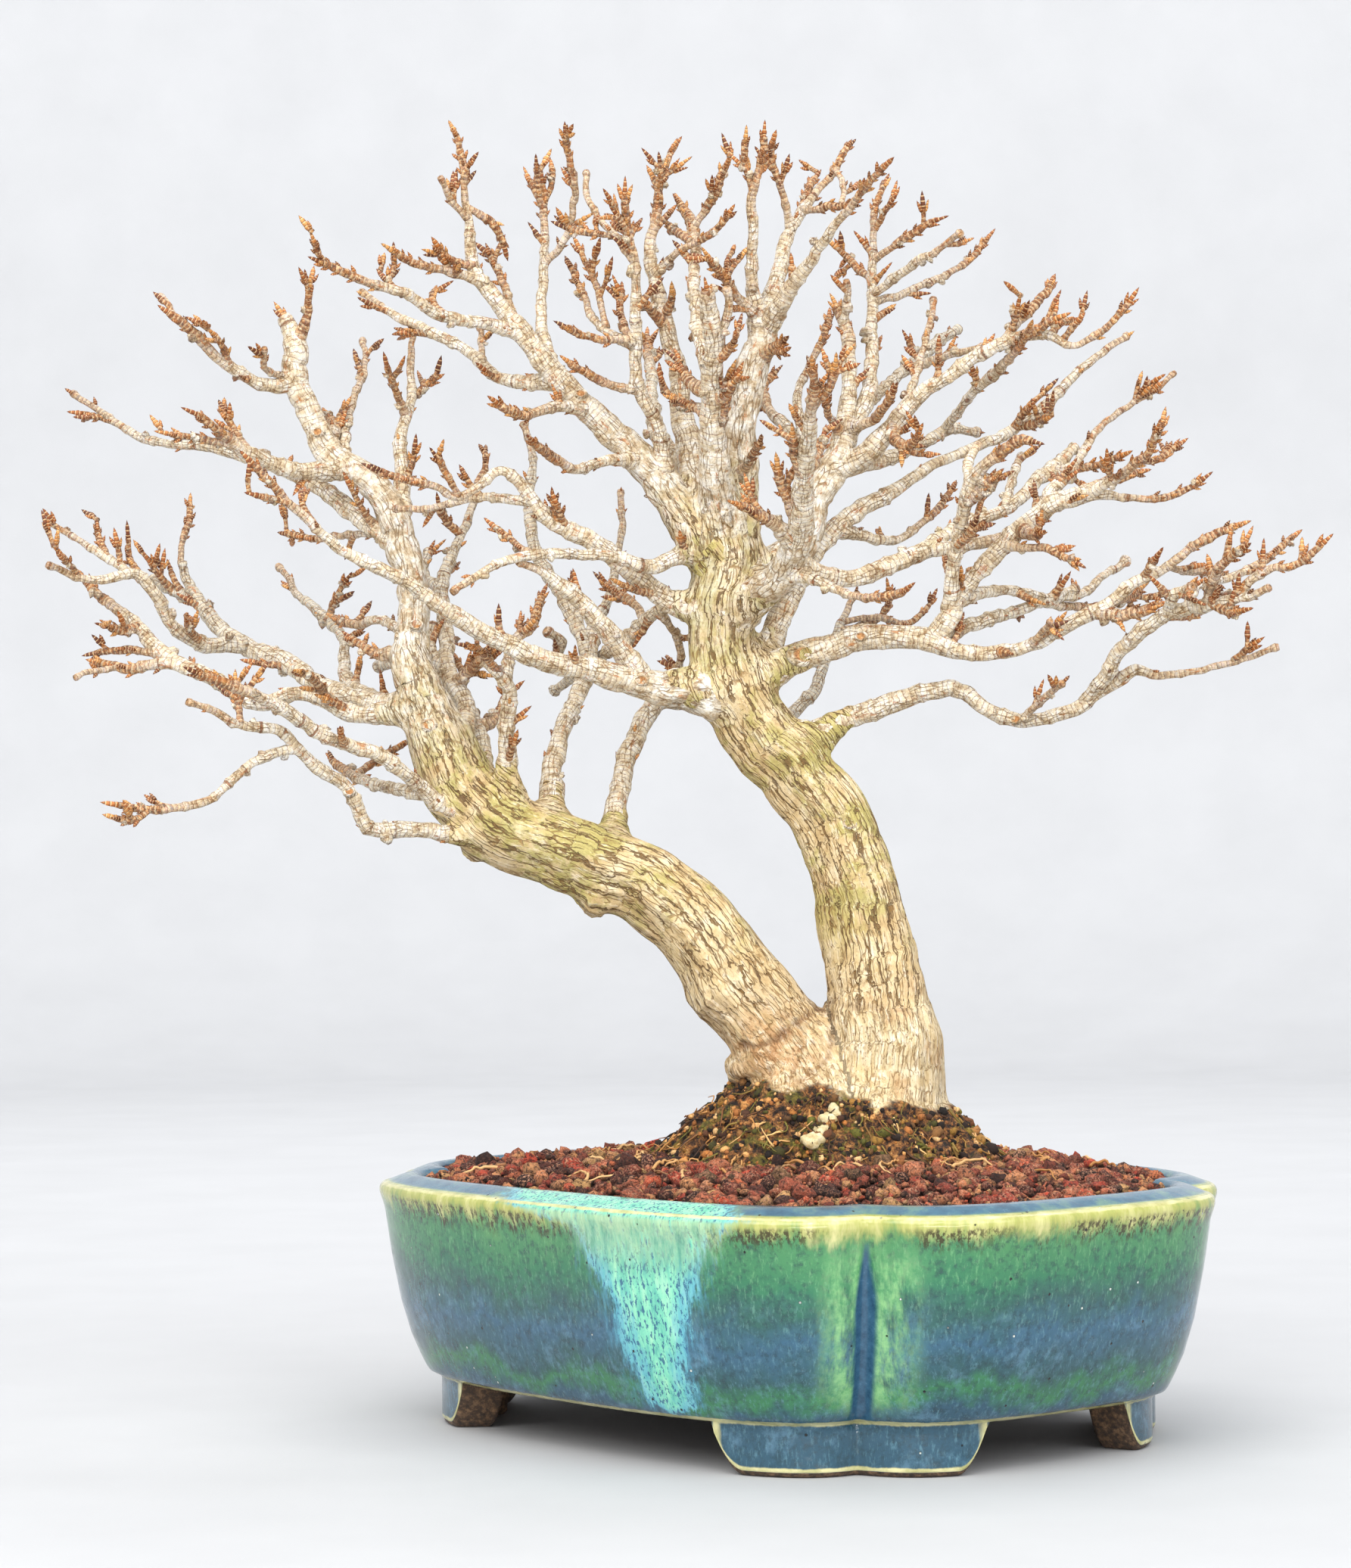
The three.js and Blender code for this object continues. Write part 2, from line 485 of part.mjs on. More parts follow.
grow(crossHigh, -9, BUD, [-84, 241, 1.4, -88, 248, 1.2, -92, 255, 1]);
grow(crossHigh, 14, CUT, [-65, 239.5, 1.8, -79, 240.5, 1.5, -93, 237.5, 1.2, -101, 238, 1.1]);

// Crown, left half
const crownLeft = grow(rightTrunk, -14, BUD, [-16, 222, 6.8, -22, 231, 6.2, -28, 239, 5.4, -35, 248, 4.6,
  -45, 258, 4, -57, 270, 3.5, -67, 283, 3, -72, 289, 2.6, -80, 302, 2, -81, 314, 1.5, -83, 331, 1.2,
  -86, 341, 1]);
grow(crownLeft, 9, BUD, [-81, 316, 1.3, -75, 312, 1.3, -72, 307, 1.2, -71, 301, 1]);
grow(crownLeft, -10, BUD, [-79, 301, 1.5, -85, 302, 1.3, -91, 309.5, 1]);
grow(crownLeft, 10, BUD, [-70, 287, 1.7, -72, 297, 1.4, -79, 308, 1]);
grow(crownLeft, -18, BUD, [-77, 296, 1.8, -85, 299, 1.6, -97, 303, 1.3, -104, 307, 1]);
const crownLeftLow = grow(crownLeft, -38, BUD, [-67, 283, 2.3, -75, 285.5, 2, -88, 288, 1.9, -96, 293, 1.7,
  -108, 297, 1.5, -119, 302, 1.2, -124, 304.5, 1]);
const crownLeftBack = grow(crownLeft, 32, CUT, [-58, 271, 2.5, -65, 270, 2.1, -72, 271, 2, -82, 279, 1.9,
  -92, 284, 1.7, -100, 288, 1.5, -109, 294.5, 1.1]);
grow(crownLeft, -28, BUD, [-50, 263, 2, -57, 264, 1.8, -69, 262, 1.5, -77, 267, 1]);
grow(crownLeft, -46, BUD, [-37, 250, 2, -45, 250, 1.8, -55, 248, 1.7, -60, 251, 1.5, -67, 257, 1]);
const slimPost = grow(crownLeft, 24, BUD, [-60, 274, 2.3, -62, 283, 2, -62, 292, 1.8, -61, 308, 1.5,
  -62, 317, 1.3, -67, 327, 1]);
grow(slimPost, -7, BUD, [-61.5, 316, 1.3, -63, 324, 1.1, -63, 331, 1]);
grow(slimPost, 9, BUD, [-61, 314, 1.3, -59, 323, 1.1, -60, 330, 1]);
grow(slimPost, -21, BUD, [-61, 301, 1.5, -57, 306, 1.4, -53, 319, 1.3, -55, 332, 1.1, -56, 340, 1]);
const palePost = grow(crownLeft, -28, BUD, [-31, 245, 2.6, -31, 256, 2.2, -37, 268, 2, -38, 284, 1.9,
  -38, 300, 1.6, -40, 313, 1.3, -40.5, 324, 1]);
const paleArm = grow(palePost, 14, CUT, [-38, 302, 1.4, -42, 307, 1.3, -50, 319, 1.2, -50, 325, 1.1]);
grow(paleArm, 7, BUD, [-43, 308, 1.2, -52, 309.5, 1.2, -60, 312, 1]);
grow(palePost, -10, BUD, [-38, 281, 1.4, -52, 282.5, 1.2, -60, 287, 1]);
grow(palePost, -14, BUD, [-37, 268, 1.7, -44, 269.5, 1.5, -54, 274.5, 1.2, -59, 278, 1]);
const paleBack = grow(palePost, 24, BUD, [-38, 279, 1.7, -48, 286, 1.4, -53, 297, 1.2, -56, 304, 1]);
grow(paleBack, 9, BUD, [-45, 284.5, 1.4, -47, 292, 1.2, -54, 309, 1]);
grow(palePost, 9, BUD, [-38, 279, 1.5, -41.5, 288, 1.3, -41, 298, 1]);
const middlePost = grow(rightTrunk, 10, BUD, [-17, 232, 5, -22, 242, 4.4, -24, 252, 3.9, -26, 262, 3.2,
  -27, 272, 2.8, -32, 293, 2.4, -34, 303, 2, -31.5, 319, 1.4, -35, 328, 1]);
grow(middlePost, -7, BUD, [-32, 317, 1.3, -31, 325, 1.2, -31, 332, 1]);
grow(middlePost, 9, BUD, [-32, 316, 1.3, -29, 326, 1.2, -26, 335, 1]);
grow(middlePost, -18, BUD, [-32.5, 298, 1.6, -26, 304, 1.3, -17, 309, 1.2, -10, 317, 1]);
grow(middlePost, 63, BUD, [-25, 247, 2.8, -31, 254, 2.4, -34, 275, 1.9, -35, 285, 1]);

// Crown, middle
const frontPost = grow(rightTrunk, -42, BUD, [-15, 230, 5.4, -17, 244, 4.6, -18, 256, 3.8, -18, 268, 3.3,
  -17.5, 280, 2.9, -19, 290, 2.3, -19, 299, 1]);
grow(frontPost, -7, CUT, [-17.5, 279, 1.9, -14, 286, 1.5, -14, 294.5, 1.3]);
grow(frontPost, 10, BUD, [-18, 267, 1.9, -24, 270, 1.7, -27, 277, 1]);
grow(frontPost, -12, BUD, [-18, 257, 1.8, -15, 263, 1.6, -16, 272, 1]);
grow(frontPost, 9, BUD, [-18, 261, 1.7, -26, 264.5, 1.5, -32, 268, 1]);
const greenPost = grow(frontPost, 42, BUD, [-18.5, 270, 2.2, -22, 285, 1.9, -22.5, 298, 1.8, -23, 311, 1.8,
  -28, 320, 1]);
grow(greenPost, -9, BUD, [-22.5, 309, 1.6, -18, 317, 1.4, -12, 331, 1]);
const core = grow(rightTrunk, 5, CUT, [-14, 230, 6, -12, 246, 5.2, -11, 258, 4.7, -9, 268, 4.5,
  -6, 278, 4.4, -4, 287, 3.8]);
const coreLeft = grow(core, -18, BUD, [-6, 282, 2.9, -7, 294, 2.1, -7, 310, 1.7, -7, 318, 1.5, -4, 331, 1.2,
  -3, 339, 1]);
grow(coreLeft, -7, BUD, [-7, 319, 1.3, -9, 327, 1.2, -8, 338, 1]);
const coreRight = grow(core, 24, BUD, [-3, 284, 3, 0, 300, 2.4, 2, 307, 2.1, 5, 313, 1.8, 13, 323, 1.3,
  18, 331, 1.1, 21, 335, 1]);
grow(coreRight, -12, BUD, [3, 309, 1.6, 1, 318, 1.4, -2, 329, 1.2, -1, 337, 1]);
grow(coreRight, 12, BUD, [4, 312, 1.4, 7, 319, 1.3, 11, 326, 1]);
const coreTwig = grow(coreRight, -18, BUD, [6, 314, 1.5, 13, 315, 1.3, 23, 317, 1]);
grow(core, -46, BUD, [-4, 283, 3, 1, 291, 2.4, 5, 297, 2.2, 9, 303, 1.8, 17, 313, 1.4, 24, 322, 1.2,
  31, 329, 1]);
grow(core, -24, BUD, [-12, 245, 1.8, -9, 249, 1.4, -4, 257, 1]);
const coreBranch = grow(core, -21, BUD, [-6, 285, 2.1, -13, 294, 1.6, -16, 298, 1.5, -21, 305, 1]);

// Front limb with ringed twigs, and the low limbs that leave it
const ringed = grow(rightTrunk, -77, BUD, [-12, 210, 4.8, -5, 216, 4.5, 1, 222, 4.3, 4, 230, 3.8, 5, 240, 3,
  6, 250, 2.7, 8, 264, 1.7, 8, 278, 1]);
grow(ringed, -9, BUD, [8, 263, 1.5, 13, 270, 1.3, 14, 278, 1]);
grow(ringed, -10, BUD, [5, 246, 1.8, 3, 253, 1.6, 3, 260, 1]);
grow(ringed, -9, BUD, [4, 234, 2, 0, 242, 1.6, -2, 252, 1]);
grow(ringed, -18, BUD, [3, 228, 2.4, -6, 235, 1.7, -15, 239.5, 1]);
grow(ringed, -24, BUD, [1, 220, 2.2, 10, 217.5, 1.6, 20, 213.5, 1.4, 28, 214, 1.3, 35, 218, 1]);
const middleArm = grow(ringed, 32, BUD, [3, 222, 3, 12, 219, 2.7, 18, 218.5, 2.5, 25, 221, 2.6, 37, 225.5, 2.8,
  45, 226.5, 2.1, 58, 229, 1.8, 68, 234, 1]);
const middleArmUp = grow(middleArm, 35, CUT, [36, 226, 2.3, 46, 232, 2.1, 52, 234, 2, 57, 236, 1.9,
  68, 245, 2.3, 76, 252, 1.6]);
const middleArmTwig = grow(middleArmUp, 18, CUT, [67, 244, 1.9, 76, 248, 1.5, 82, 257, 1.3, 86, 260, 1.3,
  96, 266, 1.1, 102, 271, 1]);
grow(middleArmUp, -18, BUD, [69, 246, 1.6, 78, 246, 1.3, 91, 251, 1]);
grow(middleArmUp, 21, CUT, [57, 237, 1.7, 60, 245, 1.6, 62, 250, 1.4]);

// Right leaders that rise behind
const rightPost = grow(rightTrunk, 28, BUD, [-11, 217, 5.2, -2, 222, 5, 6, 230, 4.6, 9, 240, 4.3, 14, 249, 4.3,
  17, 260, 3.2, 17.5, 268, 2.4, 16, 285, 1.9, 12, 294, 1]);
grow(rightPost, 38, BUD, [9, 242, 2.4, 5, 258, 1.7, 4, 268, 1.5, 8, 275, 1.4, 14, 290, 1]);
grow(rightPost, 35, BUD, [10, 243, 2.4, 3, 256, 1.9, -3, 262, 1.8, -5, 268, 1.6, 1, 274, 1]);
grow(rightPost, -24, BUD, [17, 257, 1.9, 24, 260, 1.6, 30, 270, 1]);
const rightBackPost = grow(rightPost, 35, BUD, [16, 255, 2.8, 21, 263, 2.4, 23.5, 285, 1.9, 24, 300, 1.6,
  25, 315, 1.2, 29, 324.5, 1]);
grow(rightBackPost, -24, CUT, [24, 292, 1.9, 30, 297, 1.8, 39, 302, 1.4, 47, 308, 1.1]);
grow(rightBackPost, 18, BUD, [24, 290, 1.7, 39, 295, 1.4, 48, 300, 1.2, 56, 310, 1]);
grow(rightBackPost, -9, BUD, [24, 301, 1.5, 36, 309, 1.2, 44, 313, 1]);
grow(rightBackPost, 10, BUD, [24, 296, 1.5, 18, 301, 1.3, 13, 306, 1]);
const paleBranch = grow(rightBackPost, 46, CUT, [21, 263, 2.1, 31, 271.5, 1.9, 40, 279, 2, 46, 283, 1.6]);
grow(paleBranch, -18, CUT, [32, 272, 1.6, 44, 276.5, 1.4, 57, 279.5, 1.2]);
const upperRight = grow(rightPost, -24, BUD, [13, 247, 3.8, 21, 250, 3.3, 27, 256, 2.9, 32, 262, 2.6,
  42, 270, 2.1, 58, 279, 2, 68, 281, 1.8, 76, 278.3, 1.3, 84, 282.5, 1.2, 94, 294, 1]);
const upperRightFork = grow(upperRight, 14, BUD, [56, 278, 1.8, 64, 287, 1.5, 73, 298, 1]);
grow(upperRight, -10, BUD, [60, 279.5, 1.7, 66, 282.5, 1.5, 75, 287.5, 1]);
grow(upperRight, 24, CUT, [31, 261, 1.9, 34, 269, 1.5, 38.5, 284, 1.2, 39.5, 291, 1.2]);
grow(upperRight, -14, BUD, [29, 258, 1.7, 29, 254, 1.6, 34, 253, 1.5, 36, 260, 1]);
const sprayRight = grow(rightPost, 35, CUT, [15, 246, 3, 26, 249, 2.4, 38, 254, 1.8, 43, 257, 1.9,
  51, 256, 1.4]);
grow(sprayRight, -56, BUD, [42, 256.5, 1.7, 51, 268, 1.6, 55, 271, 2, 59, 275, 1.5, 66, 285.5, 1]);
const greenBranch = grow(rightTrunk, 46, CUT, [-12, 196, 4.4, -5, 200, 3.8, -2, 207, 3.5, 3, 217, 3.2,
  10, 228, 3, 21, 237, 2.6, 27, 240, 2.3, 38, 247, 1.9, 50, 252, 1.8, 62, 258, 2, 70, 264.5, 1.8,
  80, 274, 1.5, 90, 281, 1.1]);
grow(greenBranch, 28, BUD, [14, 231, 2, 30, 228.5, 1.5, 38, 234, 1.3, 46, 245, 1]);

// Right side
const lowRight = grow(rightTrunk, -14, CUT, [0, 171, 5.2, 8, 177, 4, 15, 182, 3.1, 26, 185.5, 2.8, 45, 189, 2.4,
  52, 184, 2.2, 60, 181, 2.1, 72, 183, 2.1, 86, 191, 2, 91, 194, 1.9, 95, 192.5, 1.4, 110, 194.5, 1.3,
  128, 199.5, 1]);
const lowRightUp = grow(lowRight, -38, CUT, [77, 186.5, 2.4, 84, 194, 2.2, 87, 199, 2.3, 99, 208, 2.2,
  113, 211.5, 2, 121, 213, 1.5, 126, 215, 1.1]);
grow(lowRightUp, -10, BUD, [118, 212, 1.6, 120, 216, 1.5, 125, 219.5, 1.4, 133, 221, 1.2, 143.5, 230, 1]);
grow(lowRightUp, 21, BUD, [104, 210, 1.8, 107, 215, 1.6, 117, 218, 1.4, 125, 222.5, 1.4, 135, 230.5, 1]);
grow(lowRightUp, -21, BUD, [109, 211, 1.8, 112, 219, 1.7, 117, 224, 1.4, 122.5, 227.5, 1]);
grow(lowRight, -18, CUT, [61, 181, 1.5, 64, 184, 1.3, 72, 191, 1]);
const bigRight = grow(rightTrunk, -28, BUD, [-8, 192, 4.8, 0, 197, 4.1, 10, 200.5, 3.7, 20, 203, 3.6,
  30, 203, 3.4, 38, 202, 3.3, 43, 200, 2.5, 57, 199, 2.1, 65, 201, 2, 75, 206.5, 2.1, 84, 211, 2.1,
  91, 217, 1.8, 98, 220, 1.6, 108, 227, 1.5, 123, 233, 1]);
grow(bigRight, -10, BUD, [80, 209, 2, 86, 208, 1.8, 94, 209.5, 1.7, 100, 212, 1]);
grow(bigRight, 24, BUD, [99, 221, 1.6, 104, 219.5, 1.4, 113, 218.5, 1.4, 118, 217, 1]);
const bigRightUp = grow(bigRight, -7, BUD, [38, 203, 3.4, 42, 207, 3.3, 45, 213, 3, 50, 219, 2.6, 58, 228, 2.5,
  66, 234.5, 2.6, 70, 237, 3.1, 75, 239, 2.6, 81, 240, 2, 88, 238.8, 1.4, 100, 239, 1.2, 113, 245.5, 1]);
grow(bigRightUp, 10, BUD, [74, 239, 2, 84, 243, 1.6, 97, 246, 1]);
const bigRightTip = grow(bigRightUp, -24, BUD, [79, 240, 1.8, 86, 243.5, 1.6, 91, 247.5, 1.5, 95, 251, 1.3,
  98, 260, 1]);
grow(bigRightTip, 9, BUD, [91, 247.5, 1.5, 98, 249, 1.3, 106, 254.5, 1]);
grow(bigRightUp, -18, BUD, [57, 227, 1.8, 61, 226, 1.4, 68, 226, 1.3, 73, 223, 1.2, 80, 221.5, 1]);
const rightTwig = grow(bigRight, 32, CUT, [39, 203, 2.9, 47, 206, 2.3, 58, 209, 1.8, 68, 212, 2,
  76, 215.5, 1.4]);
grow(rightTwig, 24, BUD, [67, 212, 1.7, 76, 210.5, 1.5, 86, 211, 1]);
grow(bigRightUp, 52, CUT, [45, 213, 2.3, 53, 215, 1.8, 72, 213, 1.6, 77, 214, 1.5, 82, 218, 1.5,
  89, 222.5, 1.4]);
const rightUpright = grow(bigRightUp, -35, BUD, [43, 209, 2.5, 44, 220, 2, 46, 234, 2, 48, 242, 2.2,
  56, 250, 1.7, 62, 254, 1.5, 69, 252, 1]);
grow(rightUpright, -10, BUD, [47, 237, 2, 51, 241, 1.9, 58, 248, 1]);

// Ring centres in space, with the radius and the direction of the limb at each
function spine(limb) {
  const centres = limb.bends.map((bend) => seen(bend.x, bend.z, bend.y));
  const radii = limb.bends.map((bend) => bend.r);
  if (limb.end === BUD) {
    const tip = centres[centres.length - 1];
    const before = centres[centres.length - 2];
    const back = before.clone().sub(tip);
    const length = Math.min(BUD_LENGTH, back.length() * 0.8);
    back.normalize();
    centres.splice(-1, 1, tip.clone().addScaledVector(back, length * BUD_WAIST), tip);
    radii.splice(-1, 1, BUD_RADIUS, 0);
  }
  return centres.map((centre, i) => {
    const before = centres[Math.max(i - 1, 0)];
    const after = centres[Math.min(i + 1, centres.length - 1)];
    return { centre, radius: radii[i], along: after.clone().sub(before).normalize() };
  });
}

const sidesFor = (radius) => {
  if (radius > 8) return 12;
  if (radius > 4.3) return 7;
  if (radius > 2.4) return 5;
  return radius > 1.56 ? 4 : 3;
};

// On thin wood one corner of a ring is drawn out and forward into a side bud
function limbSolid(limb) {
  const rings = spine(limb);
  const sides = sidesFor(Math.max(...rings.map((ring) => ring.radius)));
  let across = new THREE.Vector3(0.3, 1, 0.2);
  const skin = rings.map(({ centre, radius, along }, level) => {
    across = across.clone().addScaledVector(along, -across.dot(along)).normalize();
    const third = new THREE.Vector3().crossVectors(along, across);
    const bears = level > 1 && level + 2 < rings.length && radius < THIN_WOOD && draw() < SIDE_BUD_SHARE;
    const budded = bears ? Math.floor(draw() * sides) : -1;
    return Array.from({ length: sides }, (_, k) => {
      const a = (k / sides) * Math.PI * 2;
      const muscle = sides < 11 ? 0 : 0.06 * Math.sin(3 * a + level * 0.7) + 0.04 * Math.cos(5 * a - level);
      const r = radius * (1 + muscle) + (k === budded ? SIDE_BUD : 0);
      return centre.clone().addScaledVector(across, r * Math.cos(a)).addScaledVector(third, r * Math.sin(a))
        .addScaledVector(along, k === budded ? SIDE_BUD : 0);
    });
  });
  return toSolid(limb.end === BUD ? loft(skin.slice(0, -1), skin[skin.length - 1][0]) : loft(skin));
}

function tree() {
  let solid = toSolid(loft(BASE_LEVELS.map((level) => baseRing(level))));
  limbs.forEach((limb) => {
    solid = solid.add(limbSolid(limb));
  });
  const [outer] = solid.decompose().sort((a, b) => b.volume() - a.volume());
  return fromSolid(outer);
}

const potGroup = new THREE.Group();
potGroup.rotation.z = POT_TURN;
potGroup.add(named("pot", pot(), "#3f6f80", 0.25));
[-1, 1].forEach((side, i) => {
  const screen = named(`drain_screen_${i + 1}`, drainScreen(), "#26282a", 0.6);
  const clip = named(`drain_clip_${i + 1}`, drainClip(), "#8a5a36", 0.4, 0.9);
  [screen, clip].forEach((piece) => {
    piece.position.set(side * DRAIN_OFFSET, 0, FLOOR_TOP + GAP);
    potGroup.add(piece);
  });
});

const bonsai = new THREE.Group();
bonsai.add(potGroup);
bonsai.add(named("soil", soil(), "#6b4a38", 0.95));
bonsai.add(named("tree", tree(), "#cdb695", 0.85));

// Origin: middle of the whole, on the surface it stands on
bonsai.updateMatrixWorld(true);
const bounds = new THREE.Box3().setFromObject(bonsai, true);
const centre = bounds.getCenter(new THREE.Vector3());
bonsai.position.set(-centre.x, -centre.y, -bounds.min.z);

export default bonsai;
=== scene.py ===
import json
import math
from itertools import product
import bmesh
import bpy
import numpy as np
from mathutils import Matrix, Vector
from mathutils.kdtree import KDTree

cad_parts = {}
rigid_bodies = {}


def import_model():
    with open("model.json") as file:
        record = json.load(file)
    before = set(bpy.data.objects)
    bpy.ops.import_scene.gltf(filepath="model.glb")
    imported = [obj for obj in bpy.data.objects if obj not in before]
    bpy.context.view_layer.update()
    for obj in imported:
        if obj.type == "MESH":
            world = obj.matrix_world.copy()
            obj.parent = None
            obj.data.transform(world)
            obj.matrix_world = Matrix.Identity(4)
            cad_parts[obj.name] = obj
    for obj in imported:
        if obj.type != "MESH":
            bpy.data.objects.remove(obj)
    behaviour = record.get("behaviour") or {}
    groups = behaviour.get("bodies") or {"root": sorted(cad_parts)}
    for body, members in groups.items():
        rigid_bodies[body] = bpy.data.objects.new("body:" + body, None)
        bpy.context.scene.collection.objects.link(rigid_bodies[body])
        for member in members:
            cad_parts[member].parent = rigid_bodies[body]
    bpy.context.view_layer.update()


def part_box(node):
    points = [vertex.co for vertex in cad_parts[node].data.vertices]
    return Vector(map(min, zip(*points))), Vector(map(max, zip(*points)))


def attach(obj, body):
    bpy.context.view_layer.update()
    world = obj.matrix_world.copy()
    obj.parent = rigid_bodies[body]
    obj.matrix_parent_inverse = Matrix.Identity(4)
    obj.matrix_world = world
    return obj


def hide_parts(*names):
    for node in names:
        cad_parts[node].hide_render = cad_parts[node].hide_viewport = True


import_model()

# The pot is stoneware pressed in a mould: four lobes with a groove pressed in at each notch between
# them, a turned-in rim and four bracket feet. All sizes are in millimetres from the middle of its
# underside, as the tree's are. Its glaze is blue and green, and thins to yellow on every edge.
HALF_LENGTH, HALF_WIDTH, HEIGHT = 115.0, 86.0, 65.0
TURN = -0.88
LOBE_POWER = 2.9
NOTCH, NOTCH_DEPTH, NOTCH_WIDTH = 0.55, 0.085, 0.1
FOOT_HEIGHT, FOOT_THICK, FOOT_SHARE = 12.5, 11.0, 0.852
FOOT_REACH, FOOT_END_REACH, FOOT_STRAIGHT, FOOT_ARCH = 36.0, 28.0, 0.76, 1.9
LEDGE_DROP = 1.5
WALL_THICK, LIP_WIDTH, FLOOR_TOP = 7.0, 11.0, 20.0
DRAIN_RADIUS, DRAIN_OFFSET = 9.0, 44.0
DRILL_MIDDLE, DRILL_LENGTH, DRILL_SIDES = 17, 30, 48
GROOVE_HALF, GROOVE_DEPTH, GROOVE_TOP = 2.3, 1.2, 55.0
MM = 0.001
AROUND_STEPS = 520
# Where the rings round the pot stand closer: millimetres from a notch, and how much closer
CLOSE_STEPS = [(0, 7, 2.5), (-28, 6, 1.2), (39, 6, 1.2)]
# The feet, from the hollow under the floor round the sole: inward, share of the drop, clay, thin glaze
FOOT_PROFILE = [(FOOT_THICK + 0.6, 0, 1, 0), (FOOT_THICK + 0.1, 0.1, 1, 0), (FOOT_THICK, 0.5, 1, 0),
                (FOOT_THICK - 0.1, 0.93, 1, 0), (FOOT_THICK - 1, 1, 1, 0), (8, 1, 1, 0), (6, 1, 1, 0),
                (4, 1, 1, 0), (2.2, 1, 1, 0), (1.2, 0.985, 1, 0), (0.6, 0.95, 1, 0), (0.3, 0.91, 0.9, 0),
                (0.05, 0.88, 0.3, 1), (-0.05, 0.85, 0, 1)]
# The wall: height and share of the rim's radius
WALL_SHARES = [(12.9, 0.862), (14, 0.885), (17, 0.9), (23, 0.925), (32, 0.95), (44, 0.972), (56, 0.988),
               (60.5, 0.998), (63, 0.998)]
WALL_RINGS = (13.3, 13.9, 14.8, *np.arange(16.2, 59, 1.75), 59.6, 60.2)
BEAD_HEIGHT, BEAD_WIDTH, BEAD_ROUND, BEAD_PROUD = 60.2, 2.4, 2.2, 0.36
# The rim: share of the radius, inward, height below the top, thin glaze
RIM_PROFILE = [(1, 3.6, 1.5, 0), (1, 5.2, 0.9, 0), (1, 7, 0.3, 0), (1, 8.8, 0, 0),
               (1, LIP_WIDTH - 1, 0.35, 0.3), (1, LIP_WIDTH - 0.25, 1.1, 0.45), (1, LIP_WIDTH, 2.2, 0),
               (1, LIP_WIDTH, 4.6, 0), (1, LIP_WIDTH - 0.8, 5.2, 0), (0.988, WALL_THICK, 8, 0)]
# The bare inside: share of the radius, inward, height
INSIDE_PROFILE = [(0.955, WALL_THICK, 36), (0.915, WALL_THICK + 1, FLOOR_TOP + 3),
                  (0.912, WALL_THICK + 2.4, FLOOR_TOP + 0.8), (0.91, WALL_THICK + 5, FLOOR_TOP),
                  (0.6, 0, FLOOR_TOP)]
# How far the turquoise run of glaze reaches, by height: its left edge and its right edge
RUN_HEIGHTS = [13, 15.6, 32, 42, 50, 58, 62]
RUN_LEFT = [-31, -37.0, -43.5, -47, -50, -56, -72]
RUN_RIGHT = [-31, -26, -27.5, -26, -24, -21, -15]
FAR_FROM_RUN, FAR_FROM_NOTCH = -30, 40

pot_low, pot_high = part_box("pot")
MIDDLE = np.array([(pot_low.x + pot_high.x) / 2, (pot_low.y + pot_high.y) / 2, 0.0])


def to_frame(points):
    return np.asarray(points, dtype=float) * MM + MIDDLE


def put_in_scene(name, data):
    thing = bpy.data.objects.new(name, data)
    bpy.context.scene.collection.objects.link(thing)
    return thing


def note_marks(mesh, marks):
    """Notes a number or a vector at each point of a mesh, for its finish to read."""
    for mark, values in marks.items():
        values = np.asarray(values, dtype=np.float32)
        if values.ndim == 2:
            mesh.attributes.new(mark, "FLOAT_VECTOR", "POINT").data.foreach_set("vector", values.ravel())
        else:
            mesh.attributes.new(mark, "FLOAT", "POINT").data.foreach_set("value", values)


def make_piece(name, points, faces, marks=None):
    """A smooth mesh from points in millimetres."""
    mesh = bpy.data.meshes.new(name)
    mesh.from_pydata(to_frame(points).tolist(), [], [list(map(int, face)) for face in faces])
    note_marks(mesh, marks or {})
    mesh.shade_smooth()
    return put_in_scene(name, mesh)


def keep_worked(piece):
    """Makes the mesh that a piece's modifiers give its own, and takes the modifiers off."""
    bpy.context.view_layer.update()
    worked = bpy.data.meshes.new_from_object(piece.evaluated_get(bpy.context.evaluated_depsgraph_get()))
    piece.modifiers.clear()
    piece.data = worked
    return worked


def settle(piece, material, node):
    """Puts a piece in its place: its finish and the body it rides on, and hides the solid it stands for."""
    piece.data.materials.clear()
    piece.data.materials.append(material)
    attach(piece, "root")
    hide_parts(node)


def once_round(count):
    return np.arange(count) / count * 2 * math.pi


def rings_to_faces(rows, count):
    """Quads between each ring of points and the next one."""
    ring, i = np.meshgrid(np.arange(rows - 1), np.arange(count), indexing="ij")
    here, there = ring * count + i, ring * count + (i + 1) % count
    return np.stack([here, there, there + count, here + count], axis=-1).reshape(-1, 4).tolist()


def closed_faces(rows, count):
    """Those quads, and a fan over each end; the two middles of the fans follow the last ring."""
    faces = rings_to_faces(rows, count)
    last, middle = (rows - 1) * count, rows * count
    for i in range(count):
        after = (i + 1) % count
        faces.append([after, i, middle])
        faces.append([last + i, last + after, middle + 1])
    return faces


def ease(value, low, high):
    """A smooth rise from 0 at low to 1 at high."""
    t = np.clip((value - low) / (high - low), 0, 1)
    return t * t * (3 - 2 * t)


def outline_radius(angle):
    c, s = np.abs(np.cos(angle)), np.abs(np.sin(angle))
    lobes = ((c / HALF_LENGTH) ** LOBE_POWER + (s / HALF_WIDTH) ** LOBE_POWER) ** (-1 / LOBE_POWER)
    off = np.abs(np.arctan2(s, c) - NOTCH)
    return lobes * (1 - NOTCH_DEPTH * np.exp(-((off / NOTCH_WIDTH) ** 1.3)))


